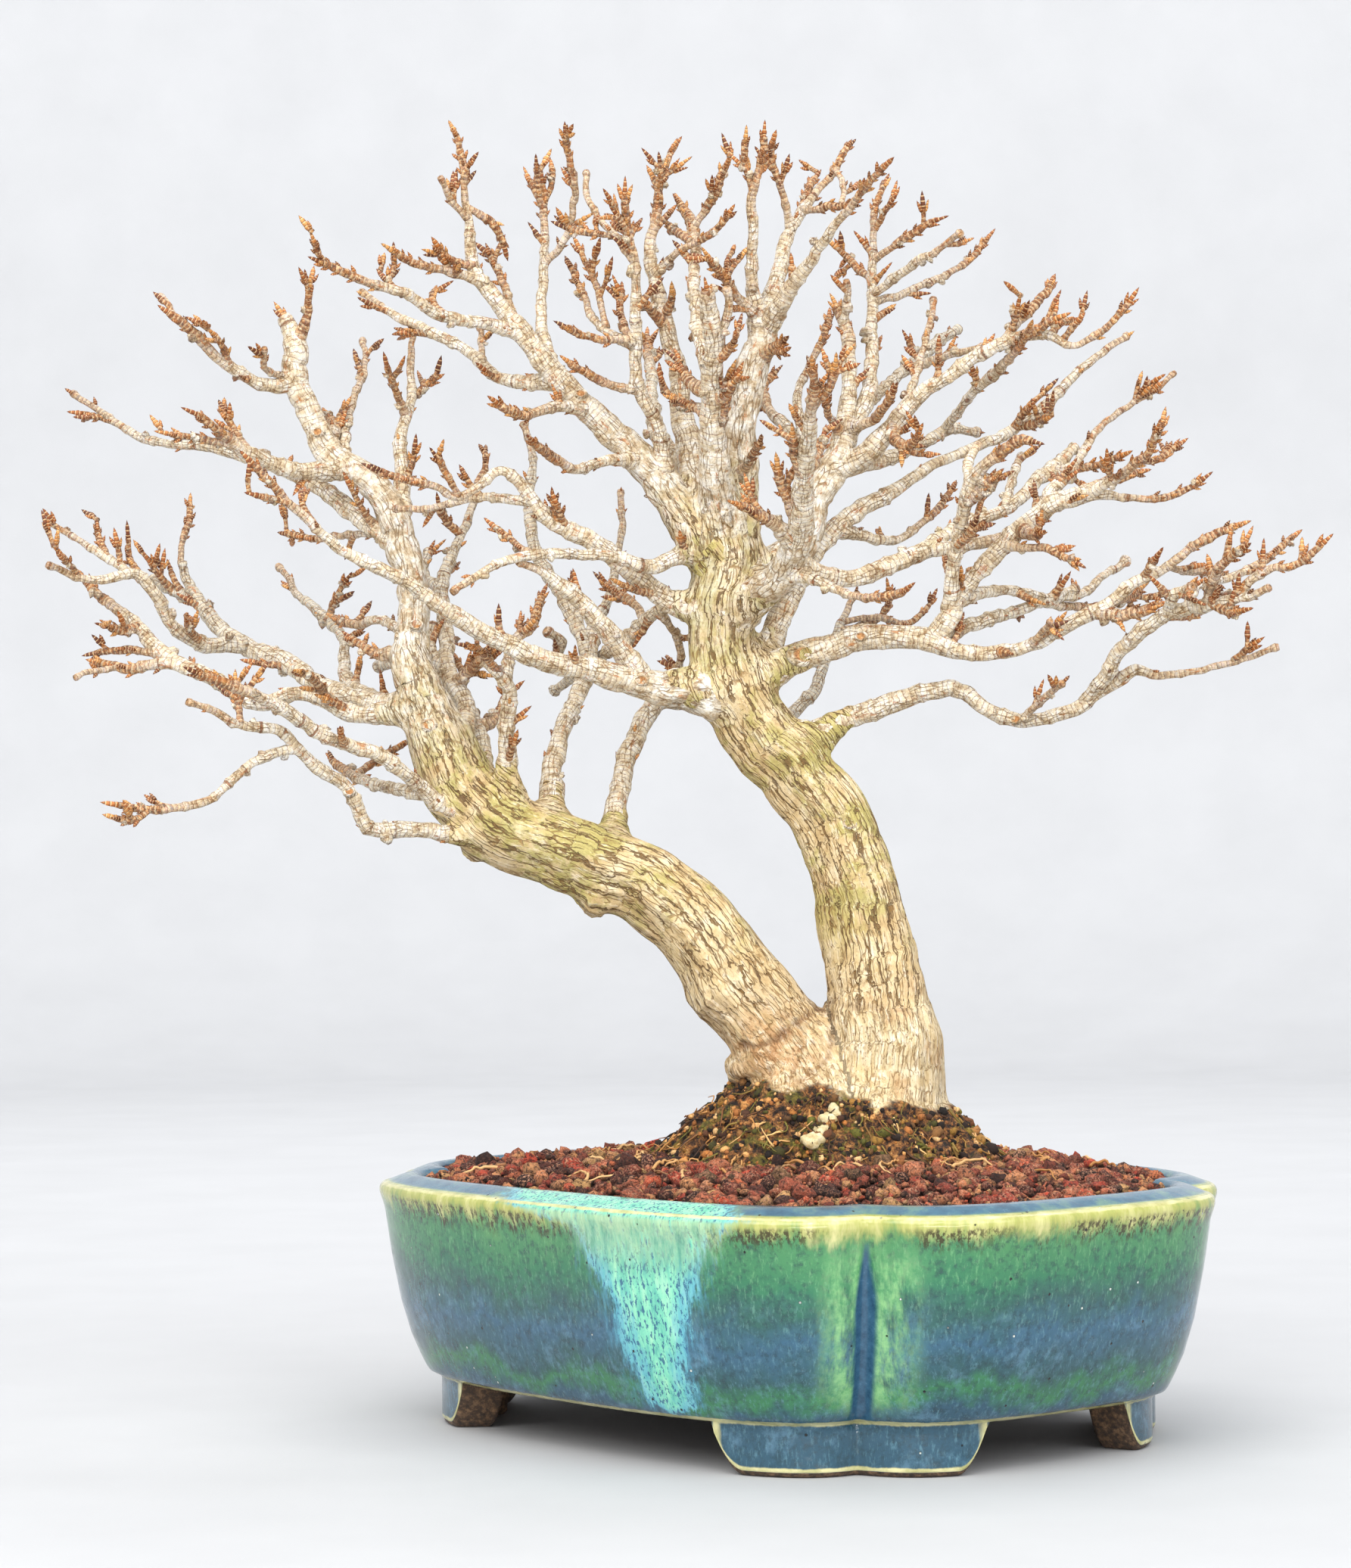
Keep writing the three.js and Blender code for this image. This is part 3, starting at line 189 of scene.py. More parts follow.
def from_notch(angle):
    """Millimetres along the wall from the nearest notch, above 0 towards a long side."""
    off = np.arctan2(np.abs(np.sin(angle)), np.abs(np.cos(angle))) - NOTCH
    return off * outline_radius(np.array(NOTCH))


def pot_ring(angle, radius, height):
    """A ring of points round the pot, its angles counted from the pot's own long axis."""
    turned_angle = angle + TURN
    x, y = radius * np.cos(turned_angle), radius * np.sin(turned_angle)
    return np.stack([x, y, height + 0 * angle], axis=1)


def pot_angles():
    fine = np.linspace(0, 2 * math.pi, 20001)
    density = 1.0
    for middle, width, extra in CLOSE_STEPS:
        density = density + extra * np.exp(-(((from_notch(fine) - middle) / width) ** 2))
    gone = np.concatenate([[0], np.cumsum(density[:-1])])
    return np.interp(np.arange(AROUND_STEPS) / AROUND_STEPS, gone / gone[-1], fine)


def foot_past(angle):
    """How far along a foot each angle is: 0 under the notch, 1 at the foot's end."""
    along = from_notch(angle) * FOOT_SHARE
    return np.abs(along) / np.where(along > 0, FOOT_REACH, FOOT_END_REACH)


def foot_drop(past):
    """How far the foot stands below the ledge, with its ends cut in an arch."""
    end = np.clip((past - FOOT_STRAIGHT) / (1 - FOOT_STRAIGHT), 0, 1)
    drop = LEDGE_DROP + (FOOT_HEIGHT - LEDGE_DROP) * (1 - end ** FOOT_ARCH)
    return np.where(past < 1, drop, 0.0)


def pot_points():
    angle = pot_angles()
    radius, past = outline_radius(angle), foot_past(angle)
    drop, near_end = foot_drop(past), ease(past, 0.86, 0.98) * (past < 1)
    rows, bare, thin = [], [], []

    def row(share, inward, height, clay=0.0, edge=0.0):
        height = height + 0.0 * angle
        narrow = GROOVE_HALF * (1 - 0.5 * ease(height, 38, GROOVE_TOP))
        groove = GROOVE_DEPTH * np.exp(-((from_notch(angle) / narrow) ** 4))
        groove = groove * ease(height, GROOVE_TOP + 2, GROOVE_TOP - 8)
        groove = groove * (clay < 0.5) * (height >= FOOT_HEIGHT)
        rows.append(pot_ring(angle, radius * share - inward - groove, height))
        bare.append(clay + 0.0 * angle)
        thin.append(edge + 0.0 * angle)

    row(0.86, 30, FOOT_HEIGHT, clay=1)
    for inward, down, clay, edge in FOOT_PROFILE:
        row(FOOT_SHARE, inward, FOOT_HEIGHT - drop * down, clay, edge)
    row(FOOT_SHARE, 0, FOOT_HEIGHT - drop * 0.78, edge=np.maximum(0.3, near_end))
    for down in (0.68, 0.52, 0.36, 0.2, 0.08):
        row(FOOT_SHARE, 0, FOOT_HEIGHT - drop * down, edge=0.8 * near_end)
    row(0.856, 0, FOOT_HEIGHT, edge=0.7)
    row(0.862, 0, FOOT_HEIGHT + 0.35, edge=1)
    heights, shares = np.array(WALL_SHARES).T
    for height in WALL_RINGS:
        bulge = BEAD_PROUD * math.exp(-(((height - BEAD_HEIGHT) / BEAD_WIDTH) ** 2))
        line = math.exp(-(max(0.0, height - 12.9) / 0.9) ** 2)
        row(float(np.interp(height, heights, shares)), -bulge, height, edge=line)
    for step in range(1, 7):
        a = step / 6 * math.pi / 2
        line = math.exp(-(((a - 1.0) / 0.42) ** 2))
        row(0.998, BEAD_ROUND * (1 - math.cos(a)) - BEAD_PROUD, 60.7 + BEAD_ROUND * math.sin(a), edge=line)
    for share, inward, down, edge in RIM_PROFILE:
        row(share, inward, HEIGHT - down, edge=edge)
    for share, inward, height in INSIDE_PROFILE:
        row(share, inward, height, clay=1)
    points = np.concatenate(rows + [[[0, 0, FOOT_HEIGHT], [0, 0, FLOOR_TOP]]])
    left, right = (np.interp(points[:, 2], RUN_HEIGHTS, edge) for edge in (RUN_LEFT, RUN_RIGHT))
    run = np.minimum(points[:, 0] - left, right - points[:, 0])
    run = np.where(points[:, 1] < 0, run, FAR_FROM_RUN)
    notch = np.tile(np.abs(from_notch(angle)), len(rows))
    marks = {"bare": np.concatenate(bare + [[1, 1]]), "thin": np.concatenate(thin + [[0, 0]]), "run": run,
             "notch": np.append(notch, [FAR_FROM_NOTCH, FAR_FROM_NOTCH])}
    return points, closed_faces(len(rows), AROUND_STEPS), marks


def cut_drains(piece):
    """Bores the two drain holes through the floor of the pot."""
    drill_mesh = bpy.data.meshes.new("drill")
    shape = bmesh.new()
    for side in (-1, 1):
        x, y = side * DRAIN_OFFSET * math.cos(TURN), side * DRAIN_OFFSET * math.sin(TURN)
        place = Matrix.Translation(to_frame([[x, y, DRILL_MIDDLE]])[0])
        bmesh.ops.create_cone(shape, cap_ends=True, segments=DRILL_SIDES, radius1=DRAIN_RADIUS * MM,
                              radius2=DRAIN_RADIUS * MM, depth=DRILL_LENGTH * MM, matrix=place)
    shape.to_mesh(drill_mesh)
    shape.free()
    drill = put_in_scene("drill", drill_mesh)
    bore = piece.modifiers.new("bore", "BOOLEAN")
    bore.object, bore.operation, bore.solver = drill, "DIFFERENCE", "EXACT"
    keep_worked(piece)
    bpy.data.objects.remove(drill)


def tint(code):
    """The colour of a six-digit code, as the shaders count light."""
    parts = [int(code[i:i + 2], 16) / 255 for i in (0, 2, 4)]
    return tuple(p / 12.92 if p <= 0.04045 else ((p + 0.055) / 1.055) ** 2.4 for p in parts) + (1.0,)


class Finish:
    """One material, laid on in coats. Each method gives its outcome for the next step to use."""

    def __init__(self, name):
        self.material = bpy.data.materials.new(name)
        self.material.use_nodes = True
        self.tree = self.material.node_tree
        self.tree.nodes.clear()
        spot = self.add("ShaderNodeTexCoord").outputs["Object"]
        self.spot = self.stretch(spot, 1000, 1000, 1000)
        self.colour = None

    def add(self, kind, inputs=(), **settings):
        node = self.tree.nodes.new(kind)
        for key, value in settings.items():
            setattr(node, key, value)
        for key, value in dict(inputs).items():
            if isinstance(value, bpy.types.NodeSocket):
                self.tree.links.new(value, node.inputs[key])
            else:
                node.inputs[key].default_value = tint(value) if isinstance(value, str) else value
        return node

    def arrows(self, operation, first, second):
        return self.add("ShaderNodeVectorMath", {0: first, 1: second}, operation=operation).outputs[0]

    def stretch(self, vector, x, y, z):
        return self.arrows("MULTIPLY", vector, (x, y, z))

    def mark(self, name, part="Fac"):
        return self.add("ShaderNodeAttribute", attribute_name=name).outputs[part]

    def height(self):
        return self.add("ShaderNodeSeparateXYZ", {0: self.spot}).outputs["Z"]

    def noise(self, size, detail=3.0, rough=0.55, vector=None, part="Fac"):
        inputs = {"Vector": vector or self.spot, "Scale": 1 / size, "Detail": detail, "Roughness": rough}
        return self.add("ShaderNodeTexNoise", inputs).outputs[part]

    def drawn(self, share, vector=None):
        """Places for a noise that is drawn out along the last direction."""
        return self.stretch(vector or self.spot, 1, 1, share)

    def cells(self, size, vector=None, feature="F1", output="Distance", sheet="3D"):
        node = self.add("ShaderNodeTexVoronoi", feature=feature, voronoi_dimensions=sheet)
        node.inputs["Scale"].default_value = 1 / size
        self.tree.links.new(vector or self.spot, node.inputs["Vector"])
        return node.outputs[output]

    def warp(self, vector, size, amount):
        """The same places, pushed about by a noise of that size."""
        push = self.arrows("SUBTRACT", self.noise(size, 2.0, 0.5, vector, "Color"), (0.5, 0.5, 0.5))
        return self.arrows("ADD", vector, self.stretch(push, amount, amount, amount))

    def calc(self, operation, first, second=0.0, clamp=False):
        inputs = {0: first, 1: second}
        return self.add("ShaderNodeMath", inputs, operation=operation, use_clamp=clamp).outputs[0]

    def both(self, *shares):
        """All these numbers multiplied."""
        outcome = shares[0]
        for share in shares[1:]:
            outcome = self.calc("MULTIPLY", outcome, share)
        return outcome

    def plus(self, first, second, clamp=False):
        return self.calc("ADD", first, second, clamp)

    def less(self, first, second):
        return self.calc("SUBTRACT", first, second)

    def sway(self, value, width):
        """A value of 0 to 1 as a push either way, that wide in all."""
        return self.both(self.less(value, 0.5), width)

    def step(self, value, low, high):
        """A smooth rise from 0 at low to 1 at high."""
        inputs = {"Value": value, "From Min": low, "From Max": high}
        return self.add("ShaderNodeMapRange", inputs, interpolation_type="SMOOTHSTEP").outputs["Result"]

    def ramp(self, value, *stops):
        """Colours that go over into each other along a value: its number and the colour's code in turn."""
        node = self.add("ShaderNodeValToRGB", {"Fac": value})
        while len(node.color_ramp.elements) < len(stops) // 2:
            node.color_ramp.elements.new(0.5)
        for element, place, code in zip(node.color_ramp.elements, stops[::2], stops[1::2]):
            element.position, element.color = place, tint(code)
        return node.outputs["Color"]

    def blend(self, under, over, *shares):
        """One colour over another, as far as the shares, multiplied, let it cover."""
        inputs = {0: self.both(*shares), 6: under, 7: over}
        return self.add("ShaderNodeMix", inputs, data_type="RGBA", clamp_factor=True).outputs[2]

    def coat(self, over, *shares):
        self.colour = self.blend(self.colour, over, *shares) if shares else over

    def bump(self, height, depth, under=None):
        """Relief from a height of 0 to 1 that stands for depth millimetres."""
        inputs = {"Height": height, "Distance": depth * MM, "Strength": 1.0}
        if under:
            inputs["Normal"] = under
        return self.add("ShaderNodeBump", inputs).outputs["Normal"]

    def done(self, roughness, relief, **rest):
        inputs = {"Base Color": self.colour, "Roughness": roughness, "Normal": relief}
        inputs.update({key.replace("_", " "): value for key, value in rest.items()})
        shader = self.add("ShaderNodeBsdfPrincipled", inputs)
        self.add("ShaderNodeOutputMaterial", {"Surface": shader.outputs["BSDF"]})
        return self.material


def glaze():
    g = Finish("kiln_glaze")
    height, run_mark, notch = g.height(), g.mark("run"), g.mark("notch")
    drawn = g.drawn(0.22)
    cloud, blotch = g.noise(26, 4, 0.6), g.noise(9, 5, 0.65)
    hang, mottle = g.noise(5.5, 4, 0.7, drawn), g.noise(2.2, 6, 0.7)
    up = g.calc("DIVIDE", height, HEIGHT)
    # Level by level: blue at the foot, green patches, slate blue, teal, then green up to the rim
    level = g.plus(height, g.plus(g.sway(blotch, 13), g.sway(cloud, 20)))
    g.coat(g.ramp(g.calc("DIVIDE", level, HEIGHT), 0.0, "264a5c", 0.23, "2b4f63", 0.31, "33744a",
                  0.38, "284f52", 0.5, "325a73", 0.61, "2a5653", 0.71, "2e7050", 0.86, "448254",
                  0.97, "66985a"))
    g.coat("6b93ad", g.step(g.noise(8, 5, 0.7), 0.5, 0.68), g.step(height, 48, 30), 0.34)
    g.coat("19343d", g.step(mottle, 0.45, 0.68), 0.66)
    streaks = g.step(g.noise(0.9, 5, 0.75, g.drawn(0.3)), 0.5, 0.7)
    g.coat(g.ramp(up, 0.5, "6f9fae", 0.75, "84bf86"), streaks, 0.36)
    flank = g.both(g.step(notch, 15, 4.5), g.step(g.noise(3, 4, 0.65, drawn), 0.32, 0.62))
    g.coat(g.ramp(mottle, 0.35, "53965f", 0.6, "8ec683"), flank, g.step(height, 13, 22),
           g.step(height, 60, 50), 0.8)
    taper = g.plus(notch, g.both(g.step(height, 40, 58), 2.2))
    g.coat(g.ramp(mottle, 0.3, "22415a", 0.7, "3a6480"), g.step(taper, 3.4, 1.9), g.step(height, 58, 54),
           g.step(height, 12.6, 13.2))
    # The glaze thins to yellow under the rim, with dark iron streaks where it is thinnest
    band = g.plus(height, g.sway(hang, 12))
    olive = g.ramp(hang, 0.25, "7c9149", 0.5, "b1ae60", 0.75, "e0d89c")
    g.coat(olive, g.step(band, 56, 60.8), g.step(height, 63.4, 62.9), 0.86)
    streak = g.step(g.noise(1.2, 6, 0.75, g.drawn(0.4)), 0.47, 0.56)
    g.coat("33240f", g.step(band, 53.5, 57), g.step(height, 61.0, 59.4), streak,
           g.step(g.noise(34, 3), 0.4, 0.5), 0.9)
    # A run of turquoise glaze, flecked dark blue, that came down over the rim
    fray = g.noise(2.6, 5, 0.7, drawn)
    edge = g.plus(run_mark, g.sway(fray, 15))
    pale = g.ramp(fray, 0.3, "4f9a8c", 0.48, "93cdb0", 0.66, "d8dc9e")
    g.coat(pale, g.step(edge, -4, 5), g.step(height, 43, 56), 0.66)
    thin_run = g.both(g.step(height, 44, 56), g.step(height, 62.4, 60.8), g.step(fray, 0.72, 0.46))
    strong = g.less(1.0, thin_run)
    g.coat("4f93ad", g.step(edge, -6, 1), g.step(g.noise(1.6, 5, 0.7, drawn), 0.42, 0.62), strong, 0.7)
    fleck = g.step(g.noise(0.8, 4, 0.65, g.drawn(0.4)), 0.53, 0.59)
    mint = g.ramp(g.noise(3, 5, 0.7, drawn), 0.3, "47a096", 0.48, "78cdae", 0.7, "a9e2bd")
    mint = g.blend(mint, "5aa3c0", g.step(edge, 6, 1), 0.75)
    g.coat(g.blend(mint, "24567e", fleck, 0.9), g.step(edge, -0.6, 1.6), strong)
    lip_top = g.ramp(blotch, 0.3, "2b4a62", 0.52, "426a80", 0.72, "6b8f7c")
    g.coat(lip_top, g.step(height, 62.9, 63.4), g.step(edge, 3, -2))
    # Every edge where the glaze runs thin, pinholes, and bare clay inside and under the feet
    line = g.plus(g.mark("thin"), g.sway(hang, 0.9))
    g.coat(g.ramp(blotch, 0.35, "a3a060", 0.6, "ddd7a0"), g.step(line, 0.45, 0.85), 0.88)
    hole = g.step(g.cells(5.5), 0.075, 0.045)
    g.coat(g.ramp(g.cells(5.5, output="Color"), 0.6, "10171a", 0.7, "cfd8d2"), hole)
    bare = g.step(g.mark("bare"), 0.4, 0.75)
    clay = g.ramp(g.noise(1.6, 5, 0.7), 0.3, "1f1814", 0.5, "4a3727", 0.66, "7d6045", 0.8, "a58a66")
    g.coat(clay, bare)
    gloss = g.plus(0.12, g.both(g.step(mottle, 0.35, 0.8), 0.2))
    gloss = g.plus(gloss, g.both(bare, 0.7), clamp=True)
    relief = g.bump(g.plus(g.noise(14, 2), g.both(g.noise(1.4, 3), 0.12)), 0.4)
    relief = g.bump(g.less(g.both(bare, g.noise(1.4, 5, 0.75)), hole), 0.7, relief)
    return g.done(gloss, relief, IOR=1.5, Coat_Weight=0.25, Coat_Roughness=0.06)


pot_body = make_piece("pot_body", *pot_points())
cut_drains(pot_body)
settle(pot_body, glaze(), "pot")

# Two squares of black moulded net lie over the drain holes and keep the grit in. Each is held by a
# bent wire whose legs pass through the net and the hole and turn out under the floor.
NET_SIZE, NET_HOLES, NET_BAR, NET_WEAVE = 26.0, 4, 0.62, 0.12
NET_STEPS, NET_SIDES = 61, 8
WIRE_RADIUS, WIRE_FOOT, WIRE_BEND, WIRE_STEP, WIRE_SIDES = 0.8, 9.0, 1.3, 0.5, 14
NET_LIFT = FLOOR_TOP + 0.85
WIRE_TOP, WIRE_UNDER = NET_LIFT + 1.6, FOOT_HEIGHT - 1.15


def frames_along(centres):
    """Two directions across a line at each of its points, turned as little as possible."""
    along = np.gradient(centres, axis=0)
    along /= np.linalg.norm(along, axis=1)[:, None]
    across = np.empty_like(along)
    side = np.array([0.3, 1.0, 0.2])
    for i, ahead in enumerate(along):
        side = side - ahead * side.dot(ahead)
        side = side / np.linalg.norm(side)
        across[i] = side
    return across, np.cross(along, across)


def tube(centres, radii, sides):
    """Rings round a line, closed at both ends; radii holds one for each ring or for each point."""
    across, third = frames_along(centres)
    turn = once_round(sides)
    out = np.cos(turn)[None, :, None] * across[:, None] + np.sin(turn)[None, :, None] * third[:, None]
    radii = radii[:, None] if radii.ndim == 1 else radii
    radii = np.broadcast_to(radii, (len(centres), sides))[..., None]
    points = (centres[:, None] + out * radii).reshape(-1, 3)
    return np.vstack([points, centres[:1], centres[-1:]]), closed_faces(len(centres), sides)


class Bundle:
    """Many small meshes that become one piece."""

    def __init__(self):
        self.points, self.faces, self.marks, self.count = [], [], {}, 0

    def put(self, points, faces, **marks):
        self.faces.extend([[corner + self.count for corner in face] for face in faces])
        for mark, values in marks.items():
            values = np.asarray(values, dtype=float)
            if values.ndim == 0:
                values = np.full(len(points), float(values))
            self.marks.setdefault(mark, []).append(values)
        self.points.append(points)
        self.count += len(points)

    def piece(self, name):
        marks = {mark: np.concatenate(values) for mark, values in self.marks.items()}
        return make_piece(name, np.vstack(self.points), self.faces, marks)


def bend_through(points, step):
    """Points close together on a smooth line through these, and how far along the line each one is."""
    points = np.asarray(points, dtype=float)
    pace = np.linalg.norm(np.diff(points, axis=0), axis=1)
    gone = np.concatenate([[0], np.cumsum(pace)])
    slope = np.diff(points, axis=0) / pace[:, None]
    inner = (slope[1:] * pace[:-1, None] + slope[:-1] * pace[1:, None]) / (pace[1:] + pace[:-1])[:, None]
    lean = np.vstack([slope[:1], inner, slope[-1:]])
    at = np.linspace(0, gone[-1], max(4, int(gone[-1] / step) + 1))
    i = np.clip(np.searchsorted(gone, at, "right") - 1, 0, len(pace) - 1)
    t = ((at - gone[i]) / pace[i])[:, None]
    start, end, h = points[i], points[i + 1], pace[i][:, None]
    line = (start * (1 + 2 * t) * (1 - t) ** 2 + lean[i] * h * t * (1 - t) ** 2
            + end * t ** 2 * (3 - 2 * t) + lean[i + 1] * h * t ** 2 * (t - 1))
    return line, at, gone


def turned(points, offset):
    """From the pot's own long axis to the frame's directions."""
    c, s = math.cos(TURN), math.sin(TURN)
    x, y, z = (np.asarray(points, dtype=float) + [offset, 0, 0]).T
    return np.stack([x * c - y * s, x * s + y * c, z], axis=1)


def drain_net(offset):
    net = Bundle()
    half = NET_SIZE / 2 - NET_BAR
    along = np.linspace(-half, half, NET_STEPS)
    for bar in np.linspace(-half, half, NET_HOLES + 1):
        weave = np.sin(along / (2 * half) * math.pi * NET_HOLES * 2) * NET_WEAVE
        for order, lift in (([0, 1, 2], -weave), ([1, 0, 2], weave)):
            line = np.stack([along, np.full(NET_STEPS, bar), NET_LIFT + lift], axis=1)[:, order]
            points, faces = tube(line, np.full(NET_STEPS, NET_BAR), NET_SIDES)
            net.put(turned(points, offset), faces)
    return net


def screen_clip(offset):
    leg = NET_SIZE / NET_HOLES / 2
    corners = [(-leg - WIRE_FOOT, WIRE_UNDER), (-leg, WIRE_UNDER), (-leg, WIRE_TOP), (leg, WIRE_TOP),
               (leg, WIRE_UNDER), (leg + WIRE_FOOT, WIRE_UNDER)]
    route = [[corners[0][0], leg, WIRE_UNDER]]
    for before, (x, z), after in zip(corners, corners[1:], corners[2:]):
        for near in (before, after):
            way = np.array(near) - (x, z)
            way = way / np.linalg.norm(way) * WIRE_BEND
            route.append([x + way[0], leg, z + way[1]])
    route.append([corners[-1][0], leg, WIRE_UNDER])
    line, _, _ = bend_through(route, WIRE_STEP)
    points, faces = tube(line, np.full(len(line), WIRE_RADIUS), WIRE_SIDES)
    return turned(points, offset), faces


def net_plastic():
    f = Finish("net_plastic")
    dust = f.noise(3, 4)
    f.coat(f.ramp(dust, 0.35, "17191a", 0.6, "26292a", 0.8, "5a4a3c"))
    return f.done(f.plus(0.35, f.both(dust, 0.35)), f.bump(f.noise(0.5, 3), 0.08))


def copper_wire():
    f = Finish("copper_wire")
    worn = f.noise(2, 4)
    f.coat(f.ramp(worn, 0.3, "5e3620", 0.55, "8a5634", 0.75, "b27b50"))
    drawn = f.noise(0.3, 3, vector=f.drawn(0.1))
    return f.done(f.plus(0.28, f.both(worn, 0.25)), f.bump(drawn, 0.03), Metallic=0.9)


net_finish, wire_finish = net_plastic(), copper_wire()
for number, way in ((1, -1), (2, 1)):
    net = drain_net(way * DRAIN_OFFSET).piece(f"net_{number}")
    settle(net, net_finish, f"drain_screen_{number}")
    wire = make_piece(f"clip_{number}", *screen_clip(way * DRAIN_OFFSET))
    settle(wire, wire_finish, f"drain_clip_{number}")

# Soil: red and brown lava grit, its larger grains 4 to 6 mm long, poured in round the roots and
# combed up to the trunk base. A bed fills the pot, whole grains lie over it, and fine root ends show
# between them.
SOIL_EDGE, SOIL_CROWN, SOIL_UNDER = 61.2, 66.8, 20.4
SOIL_CLEAR = LIP_WIDTH + 0.5
MOUND_X, MOUND_Y, MOUND_LENGTH, MOUND_WIDTH = 9.0, 2.0, 43.0, 34.5
BED_STEPS, BED_RINGS = 240, 26
# The sides of the bed: share of the pot's radius, inward, height
BED_PROFILE = [(0.925, 13, SOIL_UNDER), (0.925, 8.8, 22.6), (0.95, 7.6, 36), (0.988, 7.6, 56.4),
               (1, SOIL_CLEAR, 59.6), (1, SOIL_CLEAR, SOIL_EDGE - 0.6)]
GRIT_REACH, GRIT_STRAY, GRIT_FROM_WALL, GRIT_UNDER_BASE = (115, 120), (-0.28, 0.28), 0.6, 0.9
# Grains, and crumbs between them: how far apart they lie, their radii, and how high over the bed
GRAIN_PITCH, GRAIN_SIZE, GRAIN_SPREAD, GRAIN_LEAST, GRAIN_MOST = 3.9, 1.85, 0.5, 1.1, 3.0
CRUMB_PITCH, CRUMB_SIZE = 3.4, (0.45, 1.25)
GRAIN_LIFT, CRUMB_LIFT = (-1.1, 2.0), (0.6, 2.6)
ROOT_END_COUNT, ROOT_END_PARTS, ROOT_END_LENGTH, ROOT_END_THICK = 80, 11, (5, 15), (0.28, 0.55)


def rough(points, size, seed):
    """Even random relief from -1 to 1, with swells of that size, in millimetres."""
    place = np.asarray(points, dtype=float) / size + seed * 17.31
    cell = np.floor(place).astype(np.int64)
    part = place - cell
    part = part * part * (3 - 2 * part)
    total = np.zeros(len(place))
    for corner in product((0, 1), repeat=3):
        at = cell + corner
        code = at[:, 0] * 73856093 ^ at[:, 1] * 19349663 ^ at[:, 2] * 83492791 ^ seed * 2654435
        code = ((code ^ (code >> 13)) * 1274126177) & 0x7FFFFFFF
        value = ((code ^ (code >> 15)) & 0xFFFF) / 0xFFFF * 2 - 1
        share = np.prod(np.where(corner, part, 1 - part), axis=1)
        total += value * share
    return total


def from_wall(x, y):
    """Millimetres from the soil's own edge, along the way to the middle of the pot."""
    return outline_radius(np.arctan2(y, x) - TURN) - SOIL_CLEAR - np.hypot(x, y)


def on_mound(x, y):
    """1 where the soil meets the trunk base, and more the farther out it is."""
    return np.hypot((x - MOUND_X) / MOUND_LENGTH, (y - MOUND_Y) / MOUND_WIDTH)


def soil_height(x, y):
    wall = np.maximum(0.01, from_wall(x, y))
    mound = np.maximum(0, on_mound(x, y) - 1) * 33
    return SOIL_EDGE + (SOIL_CROWN - SOIL_EDGE) * np.sin(1.45 * wall / (wall + mound))


def soil_bed():
    angle = once_round(BED_STEPS)
    inner = outline_radius(angle)
    rows = [pot_ring(angle, inner * share - inward, height) for share, inward, height in BED_PROFILE]
    for ring in range(1, BED_RINGS + 1):
        flat = pot_ring(angle, (inner - SOIL_CLEAR) * (1 - ring / (BED_RINGS + 1)), 0.0)
        lift = soil_height(flat[:, 0], flat[:, 1]) + 0.7 * rough(flat, 3.2, 5)
        rows.append(np.column_stack([flat[:, :2], lift]))
    points = np.concatenate(rows + [[[0, 0, SOIL_UNDER], [0, 0, SOIL_CROWN]]])
    return points, closed_faces(len(rows), BED_STEPS)


def stone_shapes(subdivisions, seed, kinds=9):
    """Rough lumps about 1 mm in radius."""
    shapes = []
    for kind in range(kinds):
        ball = bmesh.new()
        bmesh.ops.create_icosphere(ball, subdivisions=subdivisions, radius=1)
        points = np.array([v.co[:] for v in ball.verts])
        faces = [[v.index for v in face.verts] for face in ball.faces]
        ball.free()
        lump = 1 + 0.42 * rough(points, 1.0, seed + kind) + 0.42 * rough(points, 0.45, seed + 40 + kind)
        shapes.append((points * lump[:, None], faces))
    return shapes


def random_turn(draw):
    a, b, c = draw.uniform(0, 2 * math.pi, 3)
    return np.array(Matrix.Rotation(a, 3, "X") @ Matrix.Rotation(b, 3, "Y") @ Matrix.Rotation(c, 3, "Z"))


def drop_stone(bundle, shape, spot, size, draw):
    points, faces = shape
    stretch = size * draw.uniform(0.74, 1.2, 3)
    points = (points * stretch) @ random_turn(draw).T
    # Painted shade: each stone's underside is marked here so that the lava finish can darken it
    under = ease(-points[:, 2] / size, -0.75, 0.4)
    bundle.put(points + spot, faces, tone=draw.uniform(), hue=draw.uniform(), under=under)


def scatter(pitch, draw):
    """Places on the soil, about one pitch apart."""
    spots = []
    rows, columns = (range(int(-reach / pitch), int(reach / pitch) + 1) for reach in GRIT_REACH)
    for row in rows:
        for column in columns:
            x = (column + 0.5 * (row % 2)) * pitch + draw.uniform(*GRIT_STRAY) * pitch
            y = row * pitch * 0.9 + draw.uniform(*GRIT_STRAY) * pitch
            if from_wall(x, y) > GRIT_FROM_WALL and on_mound(x, y) > GRIT_UNDER_BASE:
                spots.append((x, y, float(soil_height(x, y))))
    return spots


def lava_grit():
    draw = np.random.default_rng(71)
    grit = Bundle()
    shapes = stone_shapes(2, 3)
    for x, y, z in scatter(GRAIN_PITCH, draw):
        size = float(np.clip(draw.normal(GRAIN_SIZE, GRAIN_SPREAD), GRAIN_LEAST, GRAIN_MOST))
        shape = shapes[draw.integers(len(shapes))]
        drop_stone(grit, shape, (x, y, z + draw.uniform(*GRAIN_LIFT)), size, draw)
    shapes = stone_shapes(1, 90)
    for x, y, z in scatter(CRUMB_PITCH, draw):
        size = draw.uniform(*CRUMB_SIZE)
        shape = shapes[draw.integers(len(shapes))]
        drop_stone(grit, shape, (x, y, z + draw.uniform(*CRUMB_LIFT)), size, draw)
    return grit


